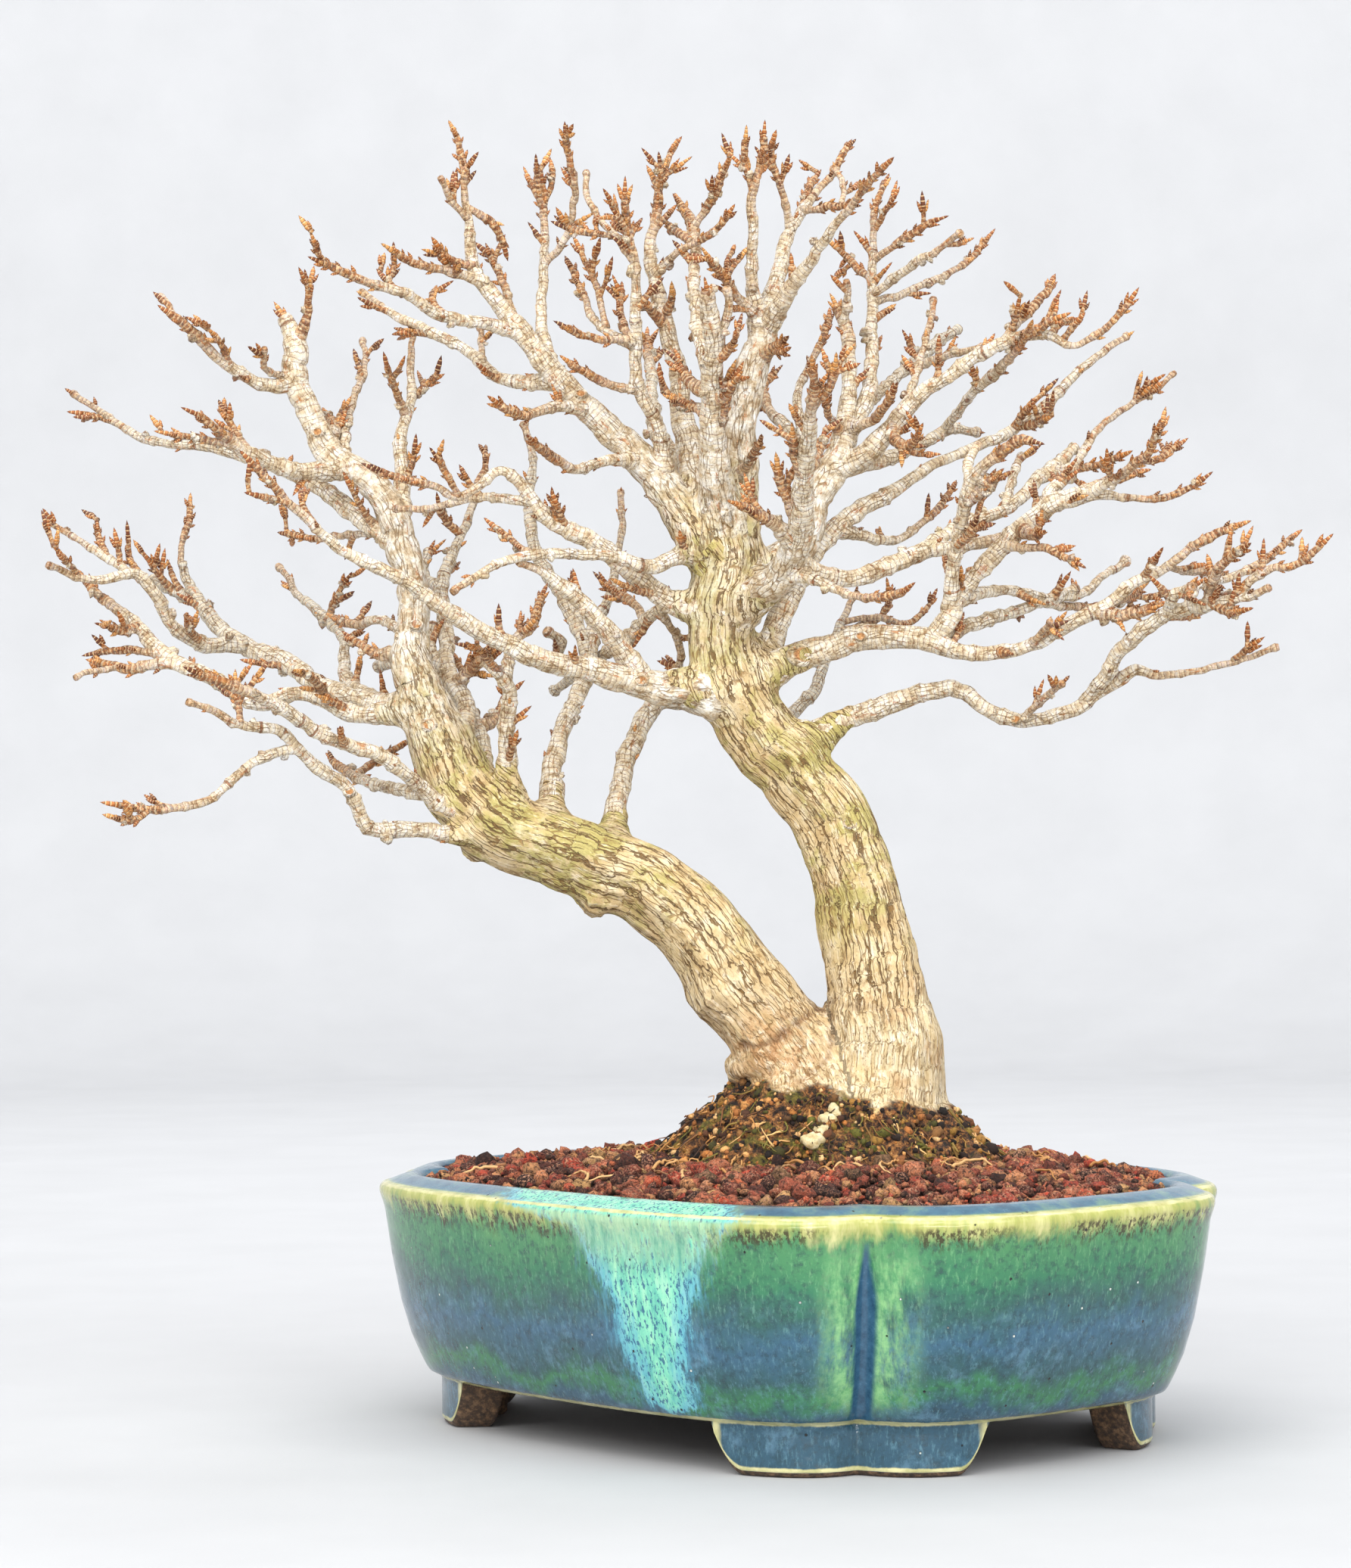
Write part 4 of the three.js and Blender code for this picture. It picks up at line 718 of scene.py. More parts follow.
def lava():
    f = Finish("lava_grit")
    tone, hue = f.mark("tone"), f.mark("hue")
    f.coat(f.ramp(hue, 0.0, "2a1814", 0.2, "6b3427", 0.38, "b0583f", 0.5, "d07a56", 0.62, "e4a068",
                  0.72, "d85034", 0.84, "994434", 0.93, "eab474", 1.0, "3a2521"))
    f.coat("1c0e0a", f.step(f.noise(1.0, 6, 0.75), 0.48, 0.58), 0.85)
    f.coat("e6a884", f.step(f.noise(0.6, 4, 0.7), 0.5, 0.6), f.both(tone, 0.85))
    # Painted shade: the underside of each grain is darkened towards near black
    f.coat("140b08", f.mark("under"), 0.88)
    relief = f.bump(f.less(1.0, f.step(f.cells(0.8), 0.5, 0.1)), 0.35)
    return f.done(0.88, f.bump(f.noise(1.5, 5, 0.7), 2.2, relief))


def soil_bed_with_painted_shade():
    f = Finish("soil_bed")
    # The bed's colour runs to near black: painted shade for the gaps between the grains, over the dark brown
    # of the grit
    f.coat(f.ramp(f.noise(1.8, 6, 0.75), 0.3, "120c0a", 0.5, "2c1b16", 0.7, "5a362b"))
    return f.done(0.95, f.bump(f.noise(1.2, 6, 0.7), 1.2))


def root_ends():
    """Fine pale roots that lie curled on the grit, most of them near the trunk base."""
    draw = np.random.default_rng(9)
    roots = Bundle()
    for _ in range(ROOT_END_COUNT):
        angle, share = draw.uniform(0, 2 * math.pi), 1.0 + draw.exponential(0.3)
        x = MOUND_X + MOUND_LENGTH * share * math.cos(angle)
        y = MOUND_Y + MOUND_WIDTH * share * math.sin(angle)
        heading, curl = draw.uniform(0, 2 * math.pi), draw.normal(0, 0.16)
        length = draw.uniform(*ROOT_END_LENGTH)
        line = []
        for step in range(ROOT_END_PARTS + 1):
            lift = 2.1 + 1.6 * math.sin(step / ROOT_END_PARTS * math.pi) * draw.uniform(0.5, 1.3)
            line.append([x, y, float(soil_height(x, y)) + lift])
            heading += curl + draw.normal(0, 0.12)
            x += math.cos(heading) * length / ROOT_END_PARTS
            y += math.sin(heading) * length / ROOT_END_PARTS
        if min(from_wall(x, y) for x, y, _ in line) < 2:
            continue
        line, at, gone = bend_through(line, 0.7)
        thick = draw.uniform(*ROOT_END_THICK) * (1 - 0.6 * at / gone[-1])
        roots.put(*tube(line, thick, 6), tone=draw.uniform())
    return roots


def root_skin():
    f = Finish("root_skin")
    f.coat(f.ramp(f.mark("tone"), 0.0, "a06a35", 0.4, "bf8d54", 0.75, "d3ab75", 1.0, "7a4f30"))
    return f.done(0.7, f.bump(f.noise(0.5, 3), 0.1))


settle(make_piece("soil_bed", *soil_bed()), soil_bed_with_painted_shade(), "soil")
settle(lava_grit().piece("lava_grains"), lava(), "soil")
settle(root_ends().piece("root_ends"), root_skin(), "soil")

# The tree is one maple, with two trunks on a thick root base. Its limbs are noted as they are seen
# from the front, so each place in the notes is a line of sight from EYE. Reach is how far a limb's
# tip stands nearer (-) or farther (+) than where the limb springs.
EYE = np.array([-28.7, -1084.4, 150.9])
BUD, CUT = "bud", "cut"
limbs = []


def seen(x, z, y):
    """The place at depth y that shows where x and z stand in the plane of the trunks."""
    far = (y - EYE[1]) / -EYE[1]
    return [EYE[0] + (x - EYE[0]) * far, y, EYE[2] + (z - EYE[2]) * far]


def spring_from(parent, x, z):
    """The nearest place on the parent's line, as seen from the front: x, z, radius, depth, distance."""
    best = None
    for a, b in zip(parent["bends"], parent["bends"][1:]):
        run, rise = b[0] - a[0], b[1] - a[1]
        t = min(1, max(0, ((x - a[0]) * run + (z - a[1]) * rise) / (run * run + rise * rise)))
        spot = [start + (end - start) * t for start, end in zip(a, b)]
        distance = math.hypot(spot[0] - x, spot[1] - z)
        if best is None or distance < best[4]:
            best = spot + [distance]
    return best


def grow(parent, reach, end, numbers):
    """A limb; its numbers are x, z and radius at each bend in turn."""
    bends = [[x, z, r, 0.0] for x, z, r in zip(numbers[::3], numbers[1::3], numbers[2::3])]
    held = 0.0
    if parent:
        x, z, held, y, distance = spring_from(parent, bends[0][0], bends[0][1])
        root = [x, z, min(bends[0][2], held * 0.9), 0.0]
        bends = [root] + (bends if distance > held + 1.5 else bends[1:])
        for bend in bends:
            bend[3] = y
    gone = [0.0]
    for a, b in zip(bends, bends[1:]):
        gone.append(gone[-1] + math.hypot(b[0] - a[0], b[1] - a[1]))
    for bend, way in zip(bends, gone):
        bend[3] += reach * way / gone[-1]
        bend[2] *= 0.8 + 0.2 * ease(bend[2], 1.0, 2.6)
    limb = {"parent": parent, "end": end, "bends": bends, "held": held, "number": len(limbs)}
    limbs.append(limb)
    return limb


def live(parent, reach, *numbers):
    """A limb that still grows: it ends in a winter bud, and its tip is 1 mm in radius."""
    return grow(parent, reach, BUD, numbers + (1,))


def pruned(parent, reach, *numbers):
    return grow(parent, reach, CUT, numbers)


# Two trunks from one base
left_trunk = pruned(None, 4, 14, 66, 23, 9, 84, 19.5, 4, 93, 15.5, -3, 102, 11.8, -13, 114, 11.8,
    -24, 130, 10.8, -38, 141, 10.3, -58, 149, 9.8, -76, 157, 10, -85, 166, 10, -90, 178, 8.6, -94, 188, 6.4)
right_trunk = pruned(None, -3, 22, 66, 19, 24, 85, 16.5, 24, 100, 15.3, 23, 112, 13, 20, 128, 11.3,
    16, 145, 10.2, 11, 158, 10, 3, 168, 9.8, -6, 178, 9.8, -12, 188, 9.8, -16, 199, 9, -16, 213, 8.6,
    -14, 224, 8.6, -15, 234, 7.6)

# Left leader and the limbs of the upper left
left_leader = live(left_trunk, 10, -94, 188, 6.2, -97, 200, 5, -96, 213, 4.5, -98, 225, 4.6, -101, 236, 4.5,
    -108, 246, 4.2, -117, 252, 4, -122, 262, 3.6, -126, 272, 3.6, -126, 281, 3.4, -131, 293)
live(left_leader, -4, -125, 280, 1.8, -123, 289, 1.3, -122, 300)
left_fork = live(left_leader, -24, -131, 270, 2.2, -143, 275, 1.9, -153, 285, 1.6, -163, 292)
pruned(left_fork, 9, -156, 287, 1.3, -161, 294, 1.1)
live(left_fork, -10, -143, 276, 1.2, -145, 281, 1.2, -150, 287)
pruned(left_leader, -14, -130, 272, 1.3, -134, 275, 1.2, -134, 280, 1.1)
left_arm = live(left_leader, -32, -113, 247, 2.8, -125, 248, 2.4, -135, 251, 2.2, -142, 255, 2,
    -148, 260, 1.3, -156, 265)
live(left_arm, -7, -142, 255, 1.4, -155, 257.5, 1.2, -164, 259)
live(left_arm, 10, -138, 254, 1.3, -143, 261, 1.2, -147, 268)
left_back_arm = pruned(left_leader, 46, -102, 228, 3, -110, 236, 2.8, -118, 242, 2.6, -127, 247.5, 2.2,
    -140, 252, 2, -150, 254.5, 1.8, -167, 257.5, 1.5, -174, 262, 1.4, -184, 269, 1.1)
live(left_back_arm, 7, -171, 259, 1.2, -175, 262, 1.1, -183, 264)
live(left_leader, 21, -117, 253, 2.6, -116, 258, 2, -119, 265)
pruned(left_leader, 38, -113, 252, 1.8, -112, 263, 1.4, -108, 276, 1.2, -108.5, 282, 1.1)
left_post = pruned(left_leader, 21, -100, 234, 3, -98, 245, 2.5, -99, 254, 2.2, -96, 268, 1.6,
    -96, 279, 1.2, -95, 285, 1.1)
live(left_post, -14, -98, 262, 1.4, -101, 271, 1.2, -103, 279)
live(left_post, 10, -97, 266, 1.4, -92, 270, 1.4, -87, 273)
live(left_leader, 28, -99, 230, 1.6, -108, 231.5, 1.4, -120, 230.5, 1.3, -132, 232)
live(left_leader, 42, -97, 204, 1.8, -105, 209, 1.6, -112, 208, 1.5, -119, 211)
live(left_leader, 10, -97, 201, 2, -106, 200.5, 1.8, -110, 203, 1.4, -116, 207)

# Middle left
back_left = live(left_trunk, 70, -95, 186, 3.2, -107, 188, 3, -115, 190, 2.9, -122, 193.5, 2.8,
    -130, 199, 3, -137, 201.5, 3, -143, 205, 2.6, -152, 215, 2.3, -156, 225, 1.3, -154, 237, 1.2, -153, 244)
back_left_tip = pruned(back_left, 14, -152, 214, 2, -158, 217, 1.8, -164, 220.5, 1.5)
live(back_left_tip, -7, -158, 217, 1.3, -163, 223, 1.2, -166, 229)
far_left = pruned(back_left, -28, -140, 202, 2.6, -150, 203.5, 2.4, -157, 207, 2, -164, 218, 1.9,
    -168, 221.5, 1.8, -176, 220.5, 1.5, -186, 222, 1.3, -191, 224.5, 1.1)
live(far_left, -9, -183, 221, 1.2, -186, 226, 1.1, -190, 230)
far_left_up = pruned(far_left, 14, -168, 221, 1.7, -177, 227, 1.6, -183, 231, 1.3, -190, 235.5, 1.1)
live(far_left_up, 9, -175, 226, 1.2, -177, 231, 1.1, -177.5, 238)
live(far_left, 10, -167, 220, 1.4, -169, 225, 1.3, -170, 230)
live(far_left, -14, -152, 203.5, 1.3, -154, 207, 1.2, -155, 212)
mid_left = live(left_trunk, 14, -94, 186, 3.4, -105, 185, 3, -112, 185, 2.8, -118, 188, 2.4,
    -125, 190.5, 2.3, -138, 188, 2.3, -145, 192.5, 2.4, -152, 196, 2.3, -158, 198, 2, -172, 197.5, 1.5,
    -183, 200)
pruned(mid_left, -9, -173, 198, 1.2, -179, 196.5, 1.1, -184, 195, 1)
mid_left_up = live(mid_left, 24, -153, 197, 2.4, -161, 201, 2.4, -168, 209, 2, -177, 216, 1.6, -184, 224)
live(mid_left_up, -9, -167, 208, 1.5, -172, 207.5, 1.4, -179, 209.5)
live(mid_left_up, 9, -161, 201, 1.6, -168, 202, 1.4, -183, 201)
live(mid_left, -21, -118, 189, 1.5, -122, 193.5, 1.4, -128, 197)
live(left_trunk, -60, -80, 155, 3, -90, 161, 2.5, -97, 168, 2.3, -105, 174, 2.2, -113, 177, 2.1,
    -121, 180, 2, -134, 189, 1.9, -147, 194, 1.5, -157, 198)
low_front = pruned(left_trunk, -46, -75, 150, 3, -85, 153, 2.6, -95, 155, 2.3, -109, 156, 2.2,
    -111, 161, 2.1, -115, 167, 2, -122, 171, 2, -127, 176.5, 1.9, -132, 181, 1.7, -140, 182, 1.6,
    -148, 186, 1.3, -155, 188.5, 1.1)
live(low_front, 7, -141, 183, 1.3, -142, 190, 1.2, -143.5, 198)
low_tip = live(low_front, -21, -127, 176, 1.7, -134, 174.5, 1.6, -145, 167, 1.5, -149, 163, 1.4,
    -155, 161.5, 1.4, -166, 161, 1.2, -178, 162.5)
live(low_tip, -7, -164, 161, 1.2, -170, 158, 1.1, -178.5, 160)
low_back = live(left_trunk, 60, -84, 162, 2.6, -95, 164, 2.1, -112, 169, 1.8, -120, 175)
live(low_back, 9, -111, 170, 1.3, -103, 175, 1.2, -96, 178)
inner_back = pruned(left_trunk, 80, -94, 186, 2.6, -108, 190, 2.1, -113, 193, 2, -115, 205, 1.9,
    -121, 212, 1.8, -125, 215, 1.5, -131, 223.5, 1.2)
live(inner_back, -7, -117, 210, 1.2, -115, 217, 1.1, -111, 223)
upright = pruned(left_trunk, -18, -72, 158, 3.2, -72, 170, 2.9, -72, 182, 2.5, -72, 192, 2.2, -75, 196, 1.8,
    -80, 198.5, 1.3)
live(upright, -9, -75, 196, 1.4, -78, 200, 1.2, -80, 204)
live(upright, 18, -71, 194, 2, -70, 203, 1.8, -66, 206, 1.6, -64, 212, 1.4, -61, 219)
grey_post = pruned(left_trunk, 52, -60, 152, 3.6, -60, 172, 3, -57, 182, 2.6, -51, 197, 2.5, -50, 205, 2.4,
    -45, 216, 1.6, -42, 232, 1.4, -42, 242, 1.1)
pruned(grey_post, 21, -52, 199, 2.6, -56, 212, 2.4, -64, 226, 2.1, -66, 240, 1.9, -65, 250, 1.5,
    -67, 260, 1.2)
grey_back = live(left_trunk, 66, -78, 172, 3.2, -83, 186, 2.8, -87, 195, 2.6, -88, 205, 2.4,
    -88.5, 217, 2.2, -86, 226, 1.9, -82, 234, 1.5, -79, 244, 1.4, -77, 249, 1.2, -79, 257)
pruned(grey_back, 9, -87, 196, 2, -92, 202, 1.9, -91, 208, 1.7)
live(grey_back, -12, -86, 192, 1.9, -80, 197, 1.7, -76, 203)
pruned(grey_back, 14, -88, 216, 1.8, -93, 221, 1.7, -92, 227, 1.5)
live(grey_back, -9, -84, 231, 1.6, -88, 236, 1.4, -90, 243)
shade_back = pruned(left_trunk, 48, -76, 166, 3, -79, 178, 2.8, -84, 188, 2.6, -92, 196, 2.2, -99, 199, 2,
    -106, 197, 1.8)
live(shade_back, 9, -80, 181, 1.8, -74, 184, 1.7, -71, 190, 1.6, -66, 192)
pruned(shade_back, 10, -85, 189, 1.9, -82, 196, 1.8, -78, 199, 1.7)
cross_back = pruned(right_trunk, 52, -22, 213, 2.3, -32, 211, 2.1, -42, 203, 2, -52, 196, 1.8,
    -60, 190, 1.7)
pruned(cross_back, 9, -32, 210, 1.5, -28, 204, 1.4, -27, 197, 1.3, -32, 192, 1.2)
live(cross_back, 14, -36, 208, 1.6, -40, 214, 1.5, -46, 217, 1.4, -49, 222)
pruned(cross_back, -9, -55, 194, 1.7, -59, 198, 1.8, -58, 203, 1.8, -62, 206, 1.5)
behind = pruned(left_trunk, 74, -45, 148, 3.6, -43, 165, 3, -39, 178, 2.9, -36, 184, 3, -31, 187, 2.6,
    -22, 185, 2.4, 2, 184, 2.1, 7, 189, 2, 10, 196, 1.9, 14, 205, 1.6, 19, 215, 1)
live(behind, 14, 14, 205, 1.3, 24, 208, 1.2, 27, 211, 1.1, 28, 218)
live(behind, 7, 16, 207, 1.4, 26, 208, 1.3, 30, 206.5, 1.2, 38, 212, 1, 40, 217)

# Limbs that cross from the right trunk over to the left
long_cross = live(right_trunk, -56, -20, 188, 5.2, -30, 190.5, 4.7, -42, 193, 4, -50, 195.5, 3.5,
    -66, 199.5, 3, -76, 204.5, 2.8, -88, 212, 2.4, -100, 220, 2.1, -113, 226.5, 1.8, -120, 232, 1.6,
    -131, 243, 1.3, -142, 254)
live(long_cross, -7, -128, 239, 1.3, -134, 241, 1.2, -140, 243.5)
live(long_cross, 9, -121, 233, 1.3, -124, 238, 1.2, -125, 245)
pruned(long_cross, -18, -36, 193, 3.7, -40, 197, 3.3, -43, 202, 3, -47, 207, 2.7, -57, 217, 2.2,
    -62, 221, 1.5, -69, 224, 1.2)
level = pruned(right_trunk, -38, -20, 225, 3.2, -27, 225, 2.7, -35, 222, 2.2, -43, 224.5, 2,
    -50, 225.5, 1.8, -70, 224.5, 1.7, -77, 222, 1.5, -86, 216, 1.2)
live(level, 10, -64, 225.5, 1.4, -71, 230, 1.2, -78, 236)
cross_high = live(right_trunk, -21, -20, 211, 3.6, -29, 213, 3, -37, 219, 2.8, -48, 227.5, 2.8,
    -61, 235, 2.5, -69, 245, 1.8, -73, 247.5, 1.6, -80, 243, 1.5, -84, 241, 1.4, -90, 243.5, 1.3,
    -103, 247, 1.2, -110, 250)
live(cross_high, -9, -84, 241, 1.4, -88, 248, 1.2, -92, 255)
pruned(cross_high, 14, -65, 239.5, 1.8, -79, 240.5, 1.5, -93, 237.5, 1.2, -101, 238, 1.1)

# Crown, left half
crown_left = live(right_trunk, -14, -16, 222, 6.8, -22, 231, 6.2, -28, 239, 5.4, -35, 248, 4.6, -45, 258, 4,
    -57, 270, 3.5, -67, 283, 3, -72, 289, 2.6, -80, 302, 2, -81, 314, 1.5, -83, 331, 1.2, -86, 341)
pruned(crown_left, -7, -81, 313, 1.4, -85, 318, 1.2, -88, 324, 1)
live(crown_left, 9, -81, 316, 1.3, -75, 312, 1.3, -72, 307, 1.2, -71, 301)
live(crown_left, -10, -79, 301, 1.5, -85, 302, 1.3, -91, 309.5)
live(crown_left, 10, -70, 287, 1.7, -72, 297, 1.4, -79, 308)
live(crown_left, -18, -77, 296, 1.8, -85, 299, 1.6, -97, 303, 1.3, -104, 307)
crown_left_low = live(crown_left, -38, -67, 283, 2.3, -75, 285.5, 2, -88, 288, 1.9, -96, 293, 1.7,
    -108, 297, 1.5, -119, 302, 1.2, -124, 304.5)
live(crown_left_low, -7, -117, 300, 1.3, -120, 305, 1.1, -121, 312)
live(crown_left_low, 7, -98, 293.5, 1.3, -102, 297, 1.1, -105, 301)
live(crown_left_low, 9, -88, 288, 1.4, -90, 292, 1.2, -89, 298)
crown_left_back = pruned(crown_left, 32, -58, 271, 2.5, -65, 270, 2.1, -72, 271, 2, -82, 279, 1.9,
    -92, 284, 1.7, -100, 288, 1.5, -109, 294.5, 1.1)
live(crown_left_back, 9, -91, 284, 1.4, -96, 283.5, 1.3, -102, 283)
pruned(crown_left_back, 9, -78, 275, 1.4, -78, 280, 1.2, -78, 285, 1.1)
live(crown_left, -28, -50, 263, 2, -57, 264, 1.8, -69, 262, 1.5, -77, 267)
live(crown_left, -46, -37, 250, 2, -45, 250, 1.8, -55, 248, 1.7, -60, 251, 1.5, -67, 257)
slim_post = live(crown_left, 24, -60, 274, 2.3, -62, 283, 2, -62, 292, 1.8, -61, 308, 1.5, -62, 317, 1.3,
    -67, 327)
live(slim_post, -7, -61.5, 316, 1.3, -63, 324, 1.1, -63, 331)
live(slim_post, 9, -61, 314, 1.3, -59, 323, 1.1, -60, 330)
live(slim_post, -21, -61, 301, 1.5, -57, 306, 1.4, -53, 319, 1.3, -55, 332, 1.1, -56, 340)
pale_post = live(crown_left, -28, -31, 245, 2.6, -31, 256, 2.2, -37, 268, 2, -38, 284, 1.9, -38, 300, 1.6,
    -40, 313, 1.3, -40.5, 324)
live(pale_post, -7, -39, 309, 1.3, -42, 313, 1.2, -44, 318)
pale_arm = pruned(pale_post, 14, -38, 302, 1.4, -42, 307, 1.3, -50, 319, 1.2, -50, 325, 1.1)
live(pale_arm, 7, -43, 308, 1.2, -52, 309.5, 1.2, -60, 312)
live(pale_post, -10, -38, 281, 1.4, -52, 282.5, 1.2, -60, 287)
live(pale_post, -14, -37, 268, 1.7, -44, 269.5, 1.5, -54, 274.5, 1.2, -59, 278)
pale_back = live(pale_post, 24, -38, 279, 1.7, -48, 286, 1.4, -53, 297, 1.2, -56, 304)
live(pale_back, 9, -45, 284.5, 1.4, -47, 292, 1.2, -54, 309)
live(pale_post, 9, -38, 279, 1.5, -41.5, 288, 1.3, -41, 298)
middle_post = live(right_trunk, 10, -17, 232, 5, -22, 242, 4.4, -24, 252, 3.9, -26, 262, 3.2, -27, 272, 2.8,
    -32, 293, 2.4, -34, 303, 2, -31.5, 319, 1.4, -35, 328)
live(middle_post, -7, -32, 317, 1.3, -31, 325, 1.2, -31, 332)
live(middle_post, 9, -32, 316, 1.3, -29, 326, 1.2, -26, 335)
live(middle_post, -10, -30, 285, 1.6, -34, 289, 1.5, -37, 294)
live(middle_post, -18, -32.5, 298, 1.6, -26, 304, 1.3, -17, 309, 1.2, -10, 317)
live(middle_post, -7, -30.5, 287, 1.5, -28, 291, 1.3, -29, 297)
live(middle_post, 63, -25, 247, 2.8, -31, 254, 2.4, -34, 275, 1.9, -35, 285)

# Crown, middle
front_post = live(right_trunk, -42, -15, 230, 5.4, -17, 244, 4.6, -18, 256, 3.8, -18, 268, 3.3,
    -17.5, 280, 2.9, -19, 290, 2.3, -19, 299)
pruned(front_post, -7, -17.5, 279, 1.9, -14, 286, 1.5, -14, 294.5, 1.3)
live(front_post, -10, -18, 265, 1.8, -13, 268.5, 1.6, -10, 273)
live(front_post, 10, -18, 267, 1.9, -24, 270, 1.7, -27, 277)
live(front_post, -12, -18, 257, 1.8, -15, 263, 1.6, -16, 272)
live(front_post, -9, -17.5, 275, 1.6, -13, 279, 1.4, -11, 284)
live(front_post, 9, -18, 261, 1.7, -26, 264.5, 1.5, -32, 268)
green_post = live(front_post, 42, -18.5, 270, 2.2, -22, 285, 1.9, -22.5, 298, 1.8, -23, 311, 1.8, -28, 320)
live(green_post, -9, -22.5, 309, 1.6, -18, 317, 1.4, -12, 331)
live(green_post, 9, -23, 306, 1.4, -27, 309, 1.3, -32, 313)
core = pruned(right_trunk, 5, -14, 230, 6, -12, 246, 5.2, -11, 258, 4.7, -9, 268, 4.5, -6, 278, 4.4,
    -4, 287, 3.8)
core_left = live(core, -18, -6, 282, 2.9, -7, 294, 2.1, -7, 310, 1.7, -7, 318, 1.5, -4, 331, 1.2, -3, 339)
live(core_left, -7, -7, 319, 1.3, -9, 327, 1.2, -8, 338)
core_right = live(core, 24, -3, 284, 3, 0, 300, 2.4, 2, 307, 2.1, 5, 313, 1.8, 13, 323, 1.3, 18, 331, 1.1,
    21, 335)
live(core_right, -12, 3, 309, 1.6, 1, 318, 1.4, -2, 329, 1.2, -1, 337)
live(core_right, 12, 4, 312, 1.4, 7, 319, 1.3, 11, 326)
core_twig = live(core_right, -18, 6, 314, 1.5, 13, 315, 1.3, 23, 317)
pruned(core_twig, 7, 16, 315.5, 1.3, 17, 320, 1.2, 14, 325.5, 1)
live(core, -46, -4, 283, 3, 1, 291, 2.4, 5, 297, 2.2, 9, 303, 1.8, 17, 313, 1.4, 24, 322, 1.2, 31, 329)
live(core, -14, -6, 276, 1.9, -1, 279, 1.6, 3, 283)
live(core, -24, -12, 245, 1.8, -9, 249, 1.4, -4, 257)
core_branch = live(core, -21, -6, 285, 2.1, -13, 294, 1.6, -16, 298, 1.5, -21, 305)
live(core_branch, 7, -13, 293, 1.4, -14, 298, 1.2, -13, 304)

# Front limb with ringed twigs, and the low limbs that leave it
ringed = live(right_trunk, -77, -12, 210, 4.8, -5, 216, 4.5, 1, 222, 4.3, 4, 230, 3.8, 5, 240, 3,
    6, 250, 2.7, 8, 264, 1.7, 8, 278)
live(ringed, -9, 8, 263, 1.5, 13, 270, 1.3, 14, 278)
live(ringed, -10, 5, 246, 1.8, 3, 253, 1.6, 3, 260)
live(ringed, 9, 7, 247, 1.8, 10, 253, 1.6, 11, 259)
live(ringed, -9, 4, 234, 2, 0, 242, 1.6, -2, 252)
live(ringed, -18, 3, 228, 2.4, -6, 235, 1.7, -15, 239.5)
live(ringed, -24, 1, 220, 2.2, 10, 217.5, 1.6, 20, 213.5, 1.4, 28, 214, 1.3, 35, 218)
middle_arm = live(ringed, 32, 3, 222, 3, 12, 219, 2.7, 18, 218.5, 2.5, 25, 221, 2.6, 37, 225.5, 2.8,
    45, 226.5, 2.1, 58, 229, 1.8, 68, 234)
middle_arm_up = pruned(middle_arm, 35, 36, 226, 2.3, 46, 232, 2.1, 52, 234, 2, 57, 236, 1.9, 68, 245, 2.3,
    76, 252, 1.6)
middle_arm_twig = pruned(middle_arm_up, 18, 67, 244, 1.9, 76, 248, 1.5, 82, 257, 1.3, 86, 260, 1.3,
    96, 266, 1.1, 102, 271, 1)
live(middle_arm_twig, 7, 92, 263, 1.2, 95, 268.5)
live(middle_arm_up, -18, 69, 246, 1.6, 78, 246, 1.3, 91, 251)
pruned(middle_arm_up, 21, 57, 237, 1.7, 60, 245, 1.6, 62, 250, 1.4)

# Right leaders that rise behind
right_post = live(right_trunk, 28, -11, 217, 5.2, -2, 222, 5, 6, 230, 4.6, 9, 240, 4.3, 14, 249, 4.3,
    17, 260, 3.2, 17.5, 268, 2.4, 16, 285, 1.9, 12, 294)
pruned(right_post, -7, 16, 284, 1.8, 17, 291, 1.4, 17, 296, 1.2)
live(right_post, 38, 9, 242, 2.4, 5, 258, 1.7, 4, 268, 1.5, 8, 275, 1.4, 14, 290)
live(right_post, 35, 10, 243, 2.4, 3, 256, 1.9, -3, 262, 1.8, -5, 268, 1.6, 1, 274)
live(right_post, -24, 17, 257, 1.9, 24, 260, 1.6, 30, 270)
live(right_post, -18, 16, 256, 1.6, 12.5, 259.5, 1.3, 12, 267.5)
right_back_post = live(right_post, 35, 16, 255, 2.8, 21, 263, 2.4, 23.5, 285, 1.9, 24, 300, 1.6,
    25, 315, 1.2, 29, 324.5)
live(right_back_post, -10, 24, 309, 1.3, 27, 313, 1.1, 31, 319)
pruned(right_back_post, -24, 24, 292, 1.9, 30, 297, 1.8, 39, 302, 1.4, 47, 308, 1.1)
live(right_back_post, 18, 24, 290, 1.7, 39, 295, 1.4, 48, 300, 1.2, 56, 310)
live(right_back_post, -9, 24, 301, 1.5, 36, 309, 1.2, 44, 313)
live(right_back_post, 10, 24, 296, 1.5, 18, 301, 1.3, 13, 306)
pale_branch = pruned(right_back_post, 46, 21, 263, 2.1, 31, 271.5, 1.9, 40, 279, 2, 46, 283, 1.6)
pruned(pale_branch, -18, 32, 272, 1.6, 44, 276.5, 1.4, 57, 279.5, 1.2)
upper_right = live(right_post, -24, 13, 247, 3.8, 21, 250, 3.3, 27, 256, 2.9, 32, 262, 2.6, 42, 270, 2.1,
    58, 279, 2, 68, 281, 1.8, 76, 278.3, 1.3, 84, 282.5, 1.2, 94, 294)
upper_right_fork = live(upper_right, 14, 56, 278, 1.8, 64, 287, 1.5, 73, 298)
live(upper_right_fork, -7, 60, 282, 1.5, 61, 287, 1.4, 63, 293)
live(upper_right, -10, 60, 279.5, 1.7, 66, 282.5, 1.5, 75, 287.5)
live(upper_right, 10, 69, 281, 1.5, 73, 284, 1.2, 79, 285)
pruned(upper_right, 24, 31, 261, 1.9, 34, 269, 1.5, 38.5, 284, 1.2, 39.5, 291, 1.2)
